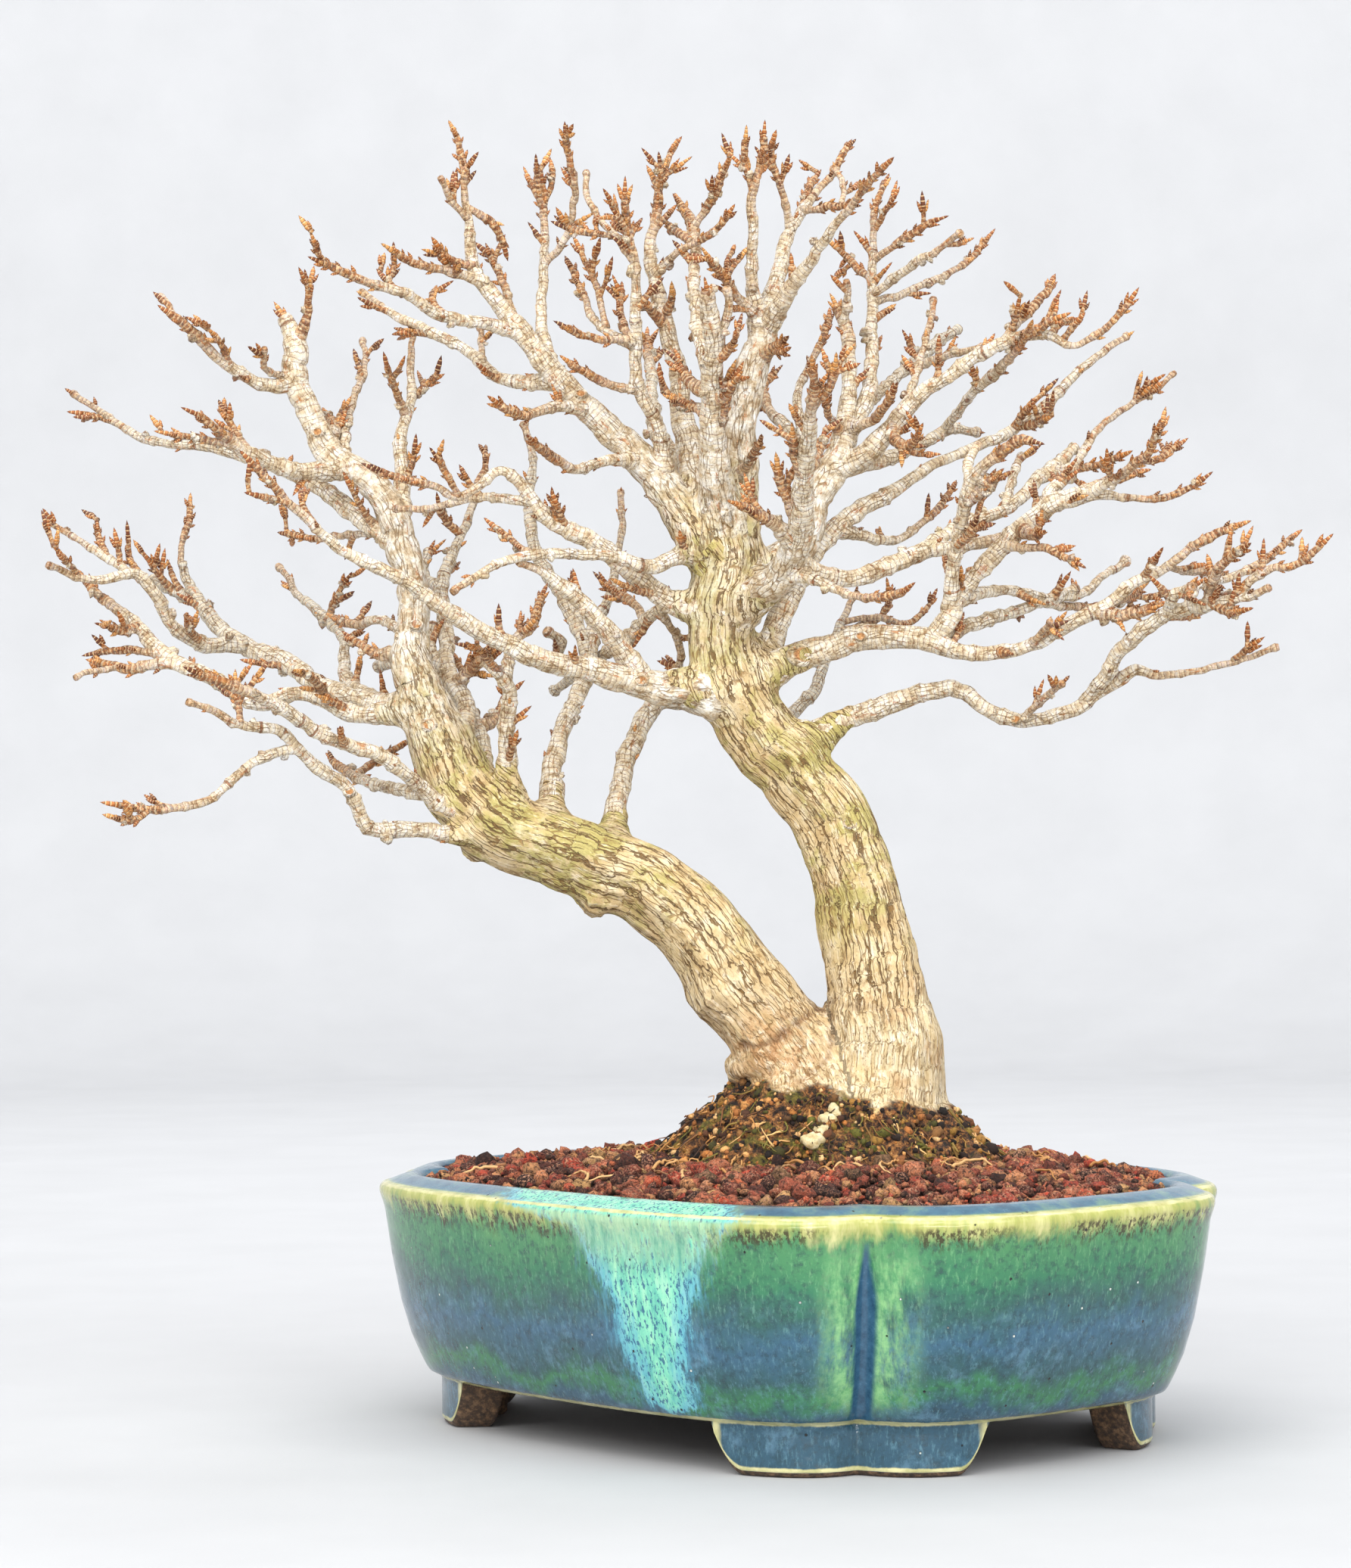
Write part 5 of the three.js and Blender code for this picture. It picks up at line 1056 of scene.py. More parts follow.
live(upper_right, -14, 29, 258, 1.7, 29, 254, 1.6, 34, 253, 1.5, 36, 260)
spray_right = pruned(right_post, 35, 15, 246, 3, 26, 249, 2.4, 38, 254, 1.8, 43, 257, 1.9, 51, 256, 1.4)
live(spray_right, -56, 42, 256.5, 1.7, 51, 268, 1.6, 55, 271, 2, 59, 275, 1.5, 66, 285.5)
green_branch = pruned(right_trunk, 46, -12, 196, 4.4, -5, 200, 3.8, -2, 207, 3.5, 3, 217, 3.2, 10, 228, 3,
    21, 237, 2.6, 27, 240, 2.3, 38, 247, 1.9, 50, 252, 1.8, 62, 258, 2, 70, 264.5, 1.8, 80, 274, 1.5,
    90, 281, 1.1)
live(green_branch, -9, 60, 257, 1.5, 63, 261, 1.4, 67, 265.5)
live(green_branch, -12, 61, 257.5, 1.5, 67, 258.5, 1.3, 72, 261)
live(green_branch, 28, 14, 231, 2, 30, 228.5, 1.5, 38, 234, 1.3, 46, 245)

# Right side
low_right = pruned(right_trunk, -14, 0, 171, 5.2, 8, 177, 4, 15, 182, 3.1, 26, 185.5, 2.8, 45, 189, 2.4,
    52, 184, 2.2, 60, 181, 2.1, 72, 183, 2.1, 86, 191, 2, 91, 194, 1.9, 95, 192.5, 1.4, 110, 194.5, 1.3,
    128, 199.5, 1)
low_right_up = pruned(low_right, -38, 77, 186.5, 2.4, 84, 194, 2.2, 87, 199, 2.3, 99, 208, 2.2,
    113, 211.5, 2, 121, 213, 1.5, 126, 215, 1.1)
live(low_right_up, -10, 118, 212, 1.6, 120, 216, 1.5, 125, 219.5, 1.4, 133, 221, 1.2, 143.5, 230)
live(low_right_up, 21, 104, 210, 1.8, 107, 215, 1.6, 117, 218, 1.4, 125, 222.5, 1.4, 135, 230.5)
live(low_right_up, -21, 109, 211, 1.8, 112, 219, 1.7, 117, 224, 1.4, 122.5, 227.5)
live(low_right_up, -9, 111, 211, 1.7, 115, 209, 1.5, 123, 209.5)
live(low_right_up, 10, 100, 208.5, 1.7, 105, 208, 1.4, 110.5, 209.5)
pruned(low_right_up, -12, 99, 208, 1.9, 101.5, 213.5, 1.7, 106, 215.5, 1.4)
pruned(low_right, -18, 61, 181, 1.5, 64, 184, 1.3, 72, 191, 1)
live(low_right, -7, 116, 196, 1.2, 120, 199.5, 1.1, 125, 202)
big_right = live(right_trunk, -28, -8, 192, 4.8, 0, 197, 4.1, 10, 200.5, 3.7, 20, 203, 3.6, 30, 203, 3.4,
    38, 202, 3.3, 43, 200, 2.5, 57, 199, 2.1, 65, 201, 2, 75, 206.5, 2.1, 84, 211, 2.1, 91, 217, 1.8,
    98, 220, 1.6, 108, 227, 1.5, 123, 233)
live(big_right, -10, 80, 209, 2, 86, 208, 1.8, 94, 209.5, 1.7, 100, 212)
pruned(big_right, -9, 64, 201, 1.3, 66, 203.5, 1.2, 69, 207, 1)
live(big_right, 14, 86, 212.5, 1.7, 90, 213, 1.5, 94, 217)
live(big_right, -12, 93, 218, 1.5, 96, 222, 1.3, 99, 225)
live(big_right, 24, 99, 221, 1.6, 104, 219.5, 1.4, 113, 218.5, 1.4, 118, 217)
big_right_up = live(big_right, -7, 38, 203, 3.4, 42, 207, 3.3, 45, 213, 3, 50, 219, 2.6, 58, 228, 2.5,
    66, 234.5, 2.6, 70, 237, 3.1, 75, 239, 2.6, 81, 240, 2, 88, 238.8, 1.4, 100, 239, 1.2, 113, 245.5)
live(big_right_up, 10, 74, 239, 2, 84, 243, 1.6, 97, 246)
big_right_tip = live(big_right_up, -24, 79, 240, 1.8, 86, 243.5, 1.6, 91, 247.5, 1.5, 95, 251, 1.3, 98, 260)
live(big_right_tip, 9, 91, 247.5, 1.5, 98, 249, 1.3, 106, 254.5)
live(big_right_up, -18, 57, 227, 1.8, 61, 226, 1.4, 68, 226, 1.3, 73, 223, 1.2, 80, 221.5)
live(big_right_up, -14, 61, 231, 1.9, 65, 229.5, 1.8, 69, 231)
pruned(big_right_up, 10, 67, 236, 2.2, 71, 242, 1.9, 75, 244, 1.4)
right_twig = pruned(big_right, 32, 39, 203, 2.9, 47, 206, 2.3, 58, 209, 1.8, 68, 212, 2, 76, 215.5, 1.4)
live(right_twig, 24, 67, 212, 1.7, 76, 210.5, 1.5, 86, 211)
pruned(big_right_up, 52, 45, 213, 2.3, 53, 215, 1.8, 72, 213, 1.6, 77, 214, 1.5, 82, 218, 1.5,
    89, 222.5, 1.4)
right_upright = live(big_right_up, -35, 43, 209, 2.5, 44, 220, 2, 46, 234, 2, 48, 242, 2.2, 56, 250, 1.7,
    62, 254, 1.5, 69, 252)
live(right_upright, -10, 47, 237, 2, 51, 241, 1.9, 58, 248)
live(right_upright, -10, 45, 227, 1.5, 49, 231, 1.4, 50, 235.5)
pruned(right_upright, 10, 48, 243, 1.9, 49, 250, 1.6, 51, 253, 1.2)
live(right_upright, 7, 44, 218, 1.4, 42, 221.5, 1.2, 41, 225)

# Root base and trunks are one piece of wood, so one skin is drawn over the base, the roots on it, the
# trunks and the foot of each limb they bear. Its bark is worked in: ridges and folds above, and the
# crust of earth that the root base is packed in below.
TRUNKS = (left_trunk, right_trunk)
BASE_Y, BASE_STEPS, BASE_RINGS = 2.0, 150, 60
# The root base, level by level: height, half length, half width, and where its middle lies
BASE_LEVELS = np.array([(55, 44, 35, 9.5), (65, 45, 36, 9.5), (69, 42, 33.5, 9.3), (72, 38, 30.5, 9),
                        (76, 33.8, 28, 9.2), (80, 29.8, 25, 10.6), (85, 26.5, 21.5, 12), (92, 22.5, 18, 13),
                        (99, 16, 13, 11)])
LOWEST, HIGHEST = BASE_LEVELS[0, 0], BASE_LEVELS[-1, 0]
ROOT_COUNT, ROOT_TOP, ROOT_FOOT, ROOT_BENDS = 19, (84, 92), 64.5, 9
SKIN_PITCH, SKIN_CALM = 0.0009, 7
TRUNK_SIDES, LIMB_FOOT_SIDES, ROOT_SIDES = 48, 24, 12
# Healed stumps: x and z as seen from the front, and size
KNOBS = [(-50, 137, 4.4), (-22.5, 111.5, 3.4), (-10.5, 92, 4.6), (12.5, 111, 2.6), (-60, 142.5, 3.4),
         (-80, 150, 3.6), (22, 140, 4.0), (-14, 203, 4.2), (-17, 219, 4.0)]
# Bark rolled over the lowest of them: x, z, width and how far each stands out
ROLLED = [(-20.8, 110, 4.2, 1.7), (-49.3, 134.5, 4.0, 1.9), (-12.5, 93, 4.0, 1.8), (-8, 98, 3.0, 0.9)]
# Folds in the bark where the trunks part: how deep each is, then x and z along it
FOLDS = [(1.0, [(12.5, 110), (8.7, 108), (4.6, 105.4), (-0.2, 102.7), (-3.2, 99.7), (-7.7, 97.6),
                (-12, 98.3)]),
         (0.5, [(12.3, 108.8), (17.6, 107.2), (26.4, 107.2), (33.5, 105.6)]),
         (0.8, [(10.2, 107), (11.4, 101.3), (10.2, 95.3), (7.2, 91.6), (2.7, 88.5)]),
         (0.4, [(6, 105.7), (2.8, 99.7), (3.3, 95), (-1, 88.5)]), (0.35, [(0, 101.5), (-4.2, 97), (-5, 90)])]
FOLD_WIDTH, FOLD_DEPTH = 0.7, 0.9
# The upper edge of the crust: x, and its height there
CRUST_EDGE = ([-26, -16, 0, 14, 26, 39, 44], [84, 89, 88.5, 86, 83.5, 82.5, 80])
CRACK_PITCH = 3.3


def limb_line(limb, step):
    """A limb's line in space, with the radius, the way gone and the whole length."""
    line, at, gone = bend_through([seen(x, z, y) for x, z, _, y in limb["bends"]], step)
    radii = np.interp(at, gone, [bend[2] for bend in limb["bends"]])
    path = np.stack([at, at * 0, at * 0], axis=1)
    wander = [0.4 * rough(path + [0, 0, axis * 9], 7, limb["number"] + 3)
              + 0.34 * rough(path + [0, 0, axis * 5], 2.7, limb["number"] + 5) for axis in range(3)]
    fade = ease(at, 0, 6) * ease(at, gone[-1], gone[-1] - 3)
    return line + np.stack(wander, axis=1) * fade[:, None], radii, at, gone[-1]


def flare_share(limb, radius, most):
    """How far a limb's foot may swell without standing out past its parent."""
    return min(most, max(0.0, limb["held"] * 0.95 / radius - 1))


def base_at(z):
    """Half length, half width and middle of the root base at a height."""
    return [float(np.interp(z, BASE_LEVELS[:, 0], BASE_LEVELS[:, k])) for k in (1, 2, 3)]


def base_ring(z):
    """The root base at a height, fluted by its roots, and less so higher up."""
    length, width, middle = base_at(z)
    angle = once_round(BASE_STEPS)
    flutes = 0.07 * np.cos(6 * angle + 0.9) + 0.04 * np.sin(11 * angle) + 0.02 * np.cos(17 * angle + 2)
    share = 1 + flutes * min(1.0, max(0.0, (100 - z) / 20))
    return np.stack([middle + length * share * np.cos(angle), BASE_Y + width * share * np.sin(angle),
                     np.full(BASE_STEPS, float(z))], axis=1)


def surface_roots():
    """The roots that show as ridges on the base, each from under the trunks down into the soil."""
    draw = np.random.default_rng(12)
    for number in range(ROOT_COUNT):
        angle = (number + draw.uniform(-0.3, 0.3)) / ROOT_COUNT * 2 * math.pi
        lean = draw.normal(0, 0.3)
        line = []
        for z in np.linspace(draw.uniform(*ROOT_TOP), ROOT_FOOT, ROOT_BENDS):
            length, width, middle = base_at(z)
            angle += lean / ROOT_BENDS + draw.normal(0, 0.04)
            line.append([middle + length * math.cos(angle), BASE_Y + width * math.sin(angle), z])
        line, at, gone = bend_through(line, 0.8)
        thick = [0.6, draw.uniform(1.5, 2.7), draw.uniform(1.2, 2.4)]
        yield line, np.interp(at, [0, gone[-1] * 0.35, gone[-1]], thick)


def under_skin():
    """Everything thick, each piece closed, before one skin is drawn over it."""
    bundle = Bundle()
    rings = [base_ring(z) for z in np.linspace(LOWEST, HIGHEST, BASE_RINGS)]
    bundle.put(np.vstack(rings + [[[9, BASE_Y, LOWEST], [11, BASE_Y, HIGHEST]]]),
               closed_faces(BASE_RINGS, BASE_STEPS))
    for line, thick in surface_roots():
        bundle.put(*tube(line, thick, ROOT_SIDES))
    for trunk in TRUNKS:
        line, radii, at, _ = limb_line(trunk, 1.5)
        turn = once_round(TRUNK_SIDES)[None, :]
        muscle = 0.05 * np.sin(3 * turn + at[:, None] * 0.025)
        muscle = muscle + 0.035 * np.cos(5 * turn - at[:, None] * 0.04)
        bundle.put(*tube(line, radii[:, None] * (1 + muscle), TRUNK_SIDES))
    for limb in limbs:
        if any(limb["parent"] is trunk for trunk in TRUNKS):
            line, radii, at, _ = limb_line(limb, 0.8)
            foot, held = radii[0], limb["held"]
            kept = at < held + 3.2 * foot + 1
            flare = np.exp(-np.maximum(0, at - held * 0.8) / (0.8 * foot))
            shrink = 1 - 0.3 * ease(at, held + 1.6 * foot, held + 3.2 * foot)
            radii = radii * (1 + flare_share(limb, foot, 0.75) * flare) * shrink
            if kept.sum() > 4:
                bundle.put(*tube(line[kept], radii[kept], LIMB_FOOT_SIDES))
    ball_points, ball_faces = stone_shapes(2, 60, 1)[0]
    for x, z, size in KNOBS:
        trunk = min(TRUNKS, key=lambda t: spring_from(t, x, z)[4])
        y = spring_from(trunk, x, z)[3]
        bundle.put(ball_points * [size, size * 1.1, size] + seen(x, z, y - 1), ball_faces)
    return bundle


def one_skin(piece):
    cover = piece.modifiers.new("cover", "REMESH")
    cover.mode, cover.voxel_size, cover.adaptivity = "VOXEL", SKIN_PITCH, 0
    calm = piece.modifiers.new("calm", "SMOOTH")
    calm.factor, calm.iterations = 0.5, SKIN_CALM
    return keep_worked(piece)


def nearest_trunk(points):
    """Where each point lies beside the trunk lines: across, across, along and the radius there."""
    tree = KDTree(4000)
    rows = []
    for trunk in TRUNKS:
        line, radii, at, _ = limb_line(trunk, 1.0)
        across, third = frames_along(line)
        for i in range(len(line)):
            tree.insert(Vector(line[i]), len(rows))
            way = at[i] + trunk["number"] * 300
            rows.append((line[i], across[i], third[i], np.cross(across[i], third[i]), way, radii[i]))
    tree.balance()
    lines, across, third, ahead, at, radii = (np.array(part) for part in zip(*rows))
    found = np.array([tree.find(point)[1] for point in points.tolist()])
    off = points - lines[found]
    parts = [(off * vectors[found]).sum(axis=1) for vectors in (across, third, ahead)]
    parts[2] = parts[2] + at[found]
    return np.stack(parts, axis=1), radii[found]


def fold_depth(points):
    """How deep in a fold each point of the skin lies, from 0 to 1."""
    far = (points[:, 1] - EYE[1]) / -EYE[1]
    x, z = EYE[0] + (points[:, 0] - EYE[0]) / far, EYE[2] + (points[:, 2] - EYE[2]) / far
    depth = np.zeros(len(points))
    for share, fold in FOLDS:
        for (ax, az), (bx, bz) in zip(fold, fold[1:]):
            run, rise = bx - ax, bz - az
            t = np.clip(((x - ax) * run + (z - az) * rise) / (run * run + rise * rise), 0, 1)
            off = np.hypot(x - ax - run * t, z - az - rise * t) + 0.7 * rough(points, 2.2, 77)
            depth = np.maximum(depth, share * np.exp(-((off / FOLD_WIDTH) ** 2)))
    return depth * (points[:, 1] < 4)


def patch(points, x, z, wide, tall):
    """1 at the middle of a patch of the front, and less the farther a point lies from it."""
    return np.exp(-(((points[:, 0] - x) / wide) ** 2) - ((points[:, 2] - z) / tall) ** 2)


def trunk_skin():
    """The skin with its bark worked into it: long ridges above, and root crust over the mound."""
    piece = under_skin().piece("trunks")
    skin = one_skin(piece)
    flat, normals = np.empty(len(skin.vertices) * 3), np.empty(len(skin.vertices) * 3)
    skin.vertices.foreach_get("co", flat)
    skin.vertices.foreach_get("normal", normals)
    points = (flat.reshape(-1, 3) - MIDDLE) * 1000
    normals = normals.reshape(-1, 3)
    grain, radii = nearest_trunk(points)
    edge = np.interp(points[:, 0], *CRUST_EDGE) + 2.4 * rough(points, 5, 21) + 1.2 * rough(points, 1.9, 22)
    crust = ease(edge - points[:, 2], -0.5, 1.2)
    ridged = grain * [1, 1, 0.2]
    bark = 0.4 * rough(ridged, 2.4, 31) + 0.26 * rough(ridged, 1.2, 32) + 0.6 * rough(points, 11, 33)
    fold = fold_depth(points)
    bark = bark + patch(points, 7, 97, 9, 9) * 0.7 * rough(points, 3.1, 35) - FOLD_DEPTH * fold
    for x, z, width, stand in ROLLED:
        near = patch(points, x, z, width, width)
        bark = bark + near * (stand + 0.8 * rough(points, 1.8, 36)) * (points[:, 1] < 12)
    lumps = 1.1 * rough(points * [1, 1, 0.7], 6.5, 41) + 0.8 * rough(points, 3, 42)
    lumps = 1.0 + (lumps + 0.55 * rough(points, 1.5, 43))
    moved = points + normals * (bark * (1 - crust) + lumps * crust)[:, None]
    moved[:, 2] = np.maximum(moved[:, 2], LOWEST)
    skin.vertices.foreach_set("co", to_frame(moved).ravel())
    rust = patch(points, -4, 97, 13, 12) * (points[:, 1] < 10)
    note_marks(skin, {"grain": grain, "crust": crust, "young": 0.42 * ease(radii, 11.5, 7), "rust": rust,
                      "fold": fold, "back": ease(points[:, 1], 20, 70)})
    skin.shade_smooth()
    skin.update()
    return piece, moved, normals, crust


def crack_lines(f, grain, around, start):
    """How far each spot lies from wavering lines that run along the wood, in line spacings."""
    moved = f.arrows("ADD", f.drawn(0.4, grain), (start, start, 0.0))
    sway = f.sway(f.noise(6, 4, 0.6, moved), 3.4)
    turn = f.calc("FRACT", f.plus(f.calc("DIVIDE", around, CRACK_PITCH), sway))
    return f.calc("ABSOLUTE", f.less(turn, 0.5))


def bark():
    f = Finish("maple_bark")
    grain, young, back = f.mark("grain", "Vector"), f.mark("young"), f.mark("back")
    crust, tip, cut, ring = f.mark("crust"), f.mark("tip"), f.mark("cut"), f.mark("ring")
    height = f.height()
    part = f.add("ShaderNodeSeparateXYZ", {0: grain}).outputs
    away = f.calc("SQRT", f.plus(f.both(part["X"], part["X"]), f.both(part["Y"], part["Y"])))
    around = f.both(f.calc("ARCTAN2", part["Y"], f.both(part["X"], -1.0)), away)
    unrolled = f.add("ShaderNodeCombineXYZ", {"X": around, "Y": part["Z"]}).outputs[0]
    broad, fine = f.noise(13, 6, 0.72), f.noise(1.3, 6, 0.7, f.drawn(0.28, grain))
    # Old wood: tan, olive where algae grow on it, cream at the foot, rusty in patches
    f.coat(f.ramp(f.noise(6, 5, 0.62), 0.28, "b09263", 0.42, "c8ad7d", 0.56, "d8c298", 0.72, "e6d7b6"))
    algae = f.ramp(fine, 0.3, "8f883b", 0.7, "c2b569")
    f.coat(algae, f.step(broad, 0.44, 0.58), f.step(height, 112, 140), 0.8)
    low = f.both(f.step(height, 120, 98), f.step(f.noise(9, 3), 0.3, 0.6))
    f.coat(f.ramp(fine, 0.3, "a08658", 0.46, "cdb98f", 0.62, "eadfc5"), low, 0.85)
    rust = f.both(f.step(f.noise(16, 5, 0.7), 0.54, 0.66), f.step(height, 150, 110), 0.5)
    rust = f.calc("MAXIMUM", rust, f.both(f.mark("rust"), f.step(f.noise(3, 4, 0.7), 0.36, 0.58)))
    f.coat(f.ramp(fine, 0.35, "a16533", 0.6, "cb9d68"), rust, 0.85)
    # Limbs: paler, nearly white on top, and grey in the shade at the back
    limb = f.ramp(f.noise(3.4, 6, 0.7), 0.33, "9c8160", 0.44, "c7b394", 0.54, "e4dbc9", 0.66, "f7f4ee")
    f.coat(f.blend(limb, "bcb484", f.step(broad, 0.58, 0.7), 0.4), f.step(young, 0.1, 0.6))
    f.coat(f.ramp(fine, 0.3, "8d867a", 0.5, "b5b0a4", 0.7, "d8d4ca"), back, 0.75)
    f.coat("f2ebdb", f.step(fine, 0.54, 0.66), 0.4)
    f.coat("977648", f.step(fine, 0.44, 0.32), 0.4)
    # Cracks run with the grain: two sets of wavering lines that meet and part, broken here and there
    wide = f.calc("MINIMUM", crack_lines(f, grain, around, 0.0), crack_lines(f, grain, around, 53.0))
    close = f.cells(1.15, f.stretch(f.warp(unrolled, 6, 1.5), 1, 0.24, 0), "DISTANCE_TO_EDGE", sheet="2D")
    open_wide = f.step(f.noise(5, 5, 0.7, f.drawn(0.5, grain)), 0.4, 0.52)
    open_close = f.step(f.noise(3, 4, 0.6, f.drawn(0.5, grain)), 0.43, 0.56)
    crack = f.both(f.step(wide, 0.085, 0.035), open_wide, f.step(young, 0.9, 0.2),
                   f.less(1.0, f.both(f.step(height, 112, 98), 0.75)))
    hair = f.both(f.step(close, 0.11, 0.04), open_close, f.less(1.0, f.both(tip, 0.8)))
    # Leaf scars ring the young wood, and its last growth is orange-brown
    scar = f.plus(ring, f.sway(f.noise(1.1, 4, 0.7), 1.5))
    scar = f.both(f.step(scar, 0.42, 0.72), f.step(ring, 0.12, 0.4))
    warm = f.ramp(f.noise(0.9, 5, 0.7), 0.38, "43240f", 0.47, "83481e", 0.56, "bb7a38", 0.67, "e6c692")
    f.coat(warm, tip, 0.9)
    turns = f.calc("FRACT", f.plus(f.both(part["Z"], 0.75), f.both(f.noise(2.4, 4, 0.6), 1.6)))
    thin_wood = f.step(young, 0.55, 0.95)
    f.coat("f0dcb4", f.step(turns, 0.5, 0.75), thin_wood, 0.4)
    f.coat("703c1b", f.step(turns, 0.22, 0.05), thin_wood, 0.65)
    spot = f.step(f.noise(2.2, 6, 0.75, f.drawn(0.45, grain)), 0.57, 0.64)
    f.coat(f.ramp(fine, 0.35, "8a4a20", 0.6, "c27e3e"), spot, f.step(young, 0.2, 0.5), 0.8)
    pit = f.step(f.noise(0.8, 3, 0.6, f.drawn(0.55, grain)), 0.57, 0.63)
    f.coat("6b4d24", pit, f.plus(0.3, f.both(low, 0.45)))
    f.coat(f.ramp(fine, 0.4, "553a1a", 0.62, "7d5e2f"), crack, 0.92)
    f.coat("86622f", hair, 0.7)
    # Painted shade: the folds where the trunks part are darkened to brown
    f.coat("6b4423", f.mark("fold"), 0.7)
    f.coat(f.ramp(fine, 0.35, "5b3218", 0.6, "9c5f33"), scar, 0.85)
    f.coat(f.ramp(f.noise(0.8, 4), 0.3, "8a5a34", 0.55, "c58d55", 0.75, "dcb384"), cut)
    # Crust of earth and moss over the root base
    crumb = f.noise(2.1, 6, 0.75)
    earth = f.ramp(crumb, 0.36, "0f0a07", 0.44, "36251a", 0.5, "6d482a", 0.56, "ae7139", 0.65, "e8b46e")
    moss = f.ramp(f.noise(0.8, 4, 0.7), 0.3, "2f3010", 0.5, "6c6621", 0.7, "a69c3c")
    earth = f.blend(earth, moss, f.step(f.noise(8, 4, 0.65), 0.5, 0.6), f.step(crumb, 0.33, 0.5), 0.85)
    f.coat(earth, crust)
    relief = f.less(f.both(fine, 0.6), f.plus(crack, f.both(hair, 0.45)))
    relief = f.bump(f.less(relief, f.both(scar, 0.5)), 0.5)
    relief = f.bump(f.both(f.plus(0.35, young), f.noise(1.5, 4, 0.65)), 0.8, relief)
    relief = f.bump(f.both(crust, crumb), 2.4, relief)
    return f.done(f.plus(0.62, f.both(fine, 0.25)), relief)


bark_finish = bark()
trunks, skin_points, skin_normals, skin_crust = trunk_skin()
settle(trunks, bark_finish, "tree")

# Limbs and twigs are the same wood, thinner and younger: pale bark, a collar where each leaves its
# parent, a swelling at every pair of leaf scars, and healed flat ends where a shoot was pruned.
LIMB_GROUPS = (("limbs_left", left_trunk), ("limbs_middle", ringed), ("limbs_right", right_trunk))
MIDDLE_EDGE = 4
# How many sides a limb has, by the least radius at its thickest place
LIMB_SIDES = [(4, 22), (2.4, 15), (1.6, 10), (0, 8)]
THIN_LIMB, THIN_STEP, THICK_STEP = 3, 0.74, 0.95
# How far apart leaf scars stand on a live tip and on older wood, and how wide each is
FRESH_GAP, OLD_GAP = (1.2, 2.1), (2.6, 6.4)
KNUCKLE_WIDTH, SCAR_WIDTH, SCAR_OFFSET = 0.62, 0.4, 0.5
LIVE_TIP, WARM_TIP, BUD_ROOM = 11, 28, 5.0
YOUNG_RADII, BACK_DEPTHS = (7.5, 2.6), (14, 62)
bud_notes = []


def ancestors(limb):
    while limb:
        yield limb
        limb = limb["parent"]


def sideways(across, third, angle):
    """The direction away from a line at this angle round it."""
    return across * math.cos(angle) + third * math.sin(angle)


def node_places(length, radius, budded, draw):
    """Where leaf scars ring a limb: close together at a live tip, wider apart on older wood."""
    places, at = [], length - draw.uniform(0.6, 1.4)
    while at > 3:
        places.append(at)
        fresh = budded and length - at < LIVE_TIP
        at -= draw.uniform(*FRESH_GAP) if fresh else draw.uniform(*OLD_GAP) * (1 + 0.25 * radius)
    return np.array(places)


def note_bud(spot, heading, length, radius):
    bud_notes.append((spot, heading, length, radius))


def note_buds(limb, line, radii, at, places, across, third, draw):
    """Small side buds in pairs at the young leaf scars, and a long bud with two more at a live tip."""
    end, budded = at[-1], limb["end"] == BUD
    along = np.cross(across, third)
    for number, place in enumerate(places):
        i = int(np.argmin(np.abs(at - place)))
        young = budded and radii[i] < 1.9 and end - place < 16
        if i < 2 or place < limb["held"] + 2 or draw.uniform() > (0.8 if young else 0.3 * (radii[i] < 3.2)):
            continue
        angle = draw.uniform(0, 0.5) + number % 2 * math.pi / 2
        for side in (0, math.pi):
            if draw.uniform() < 0.25:
                continue
            out = sideways(across[i], third[i], angle + side)
            heading = along[i] * draw.uniform(1.2, 2.2) + out
            size = draw.uniform(0.65, 1.25)
            note_bud(line[i] + out * radii[i] * 0.7, heading, 2.2 * size, 0.52 * size)
    if budded:
        ahead = along[-1]
        length = draw.uniform(3.9, 5.6)
        note_bud(line[-1] - ahead * 0.6, ahead, length, draw.uniform(0.68, 0.9))
        angle = draw.uniform(0, math.pi)
        for side in (0, math.pi):
            if draw.uniform() < 0.3:
                continue
            out = sideways(across[-1], third[-1], angle + side)
            size = draw.uniform(0.5, 0.75)
            spot = line[-1] + out * 0.55 - ahead * 0.9
            note_bud(spot, ahead * 2.4 + out * 0.9, length * size, 0.95 * size)


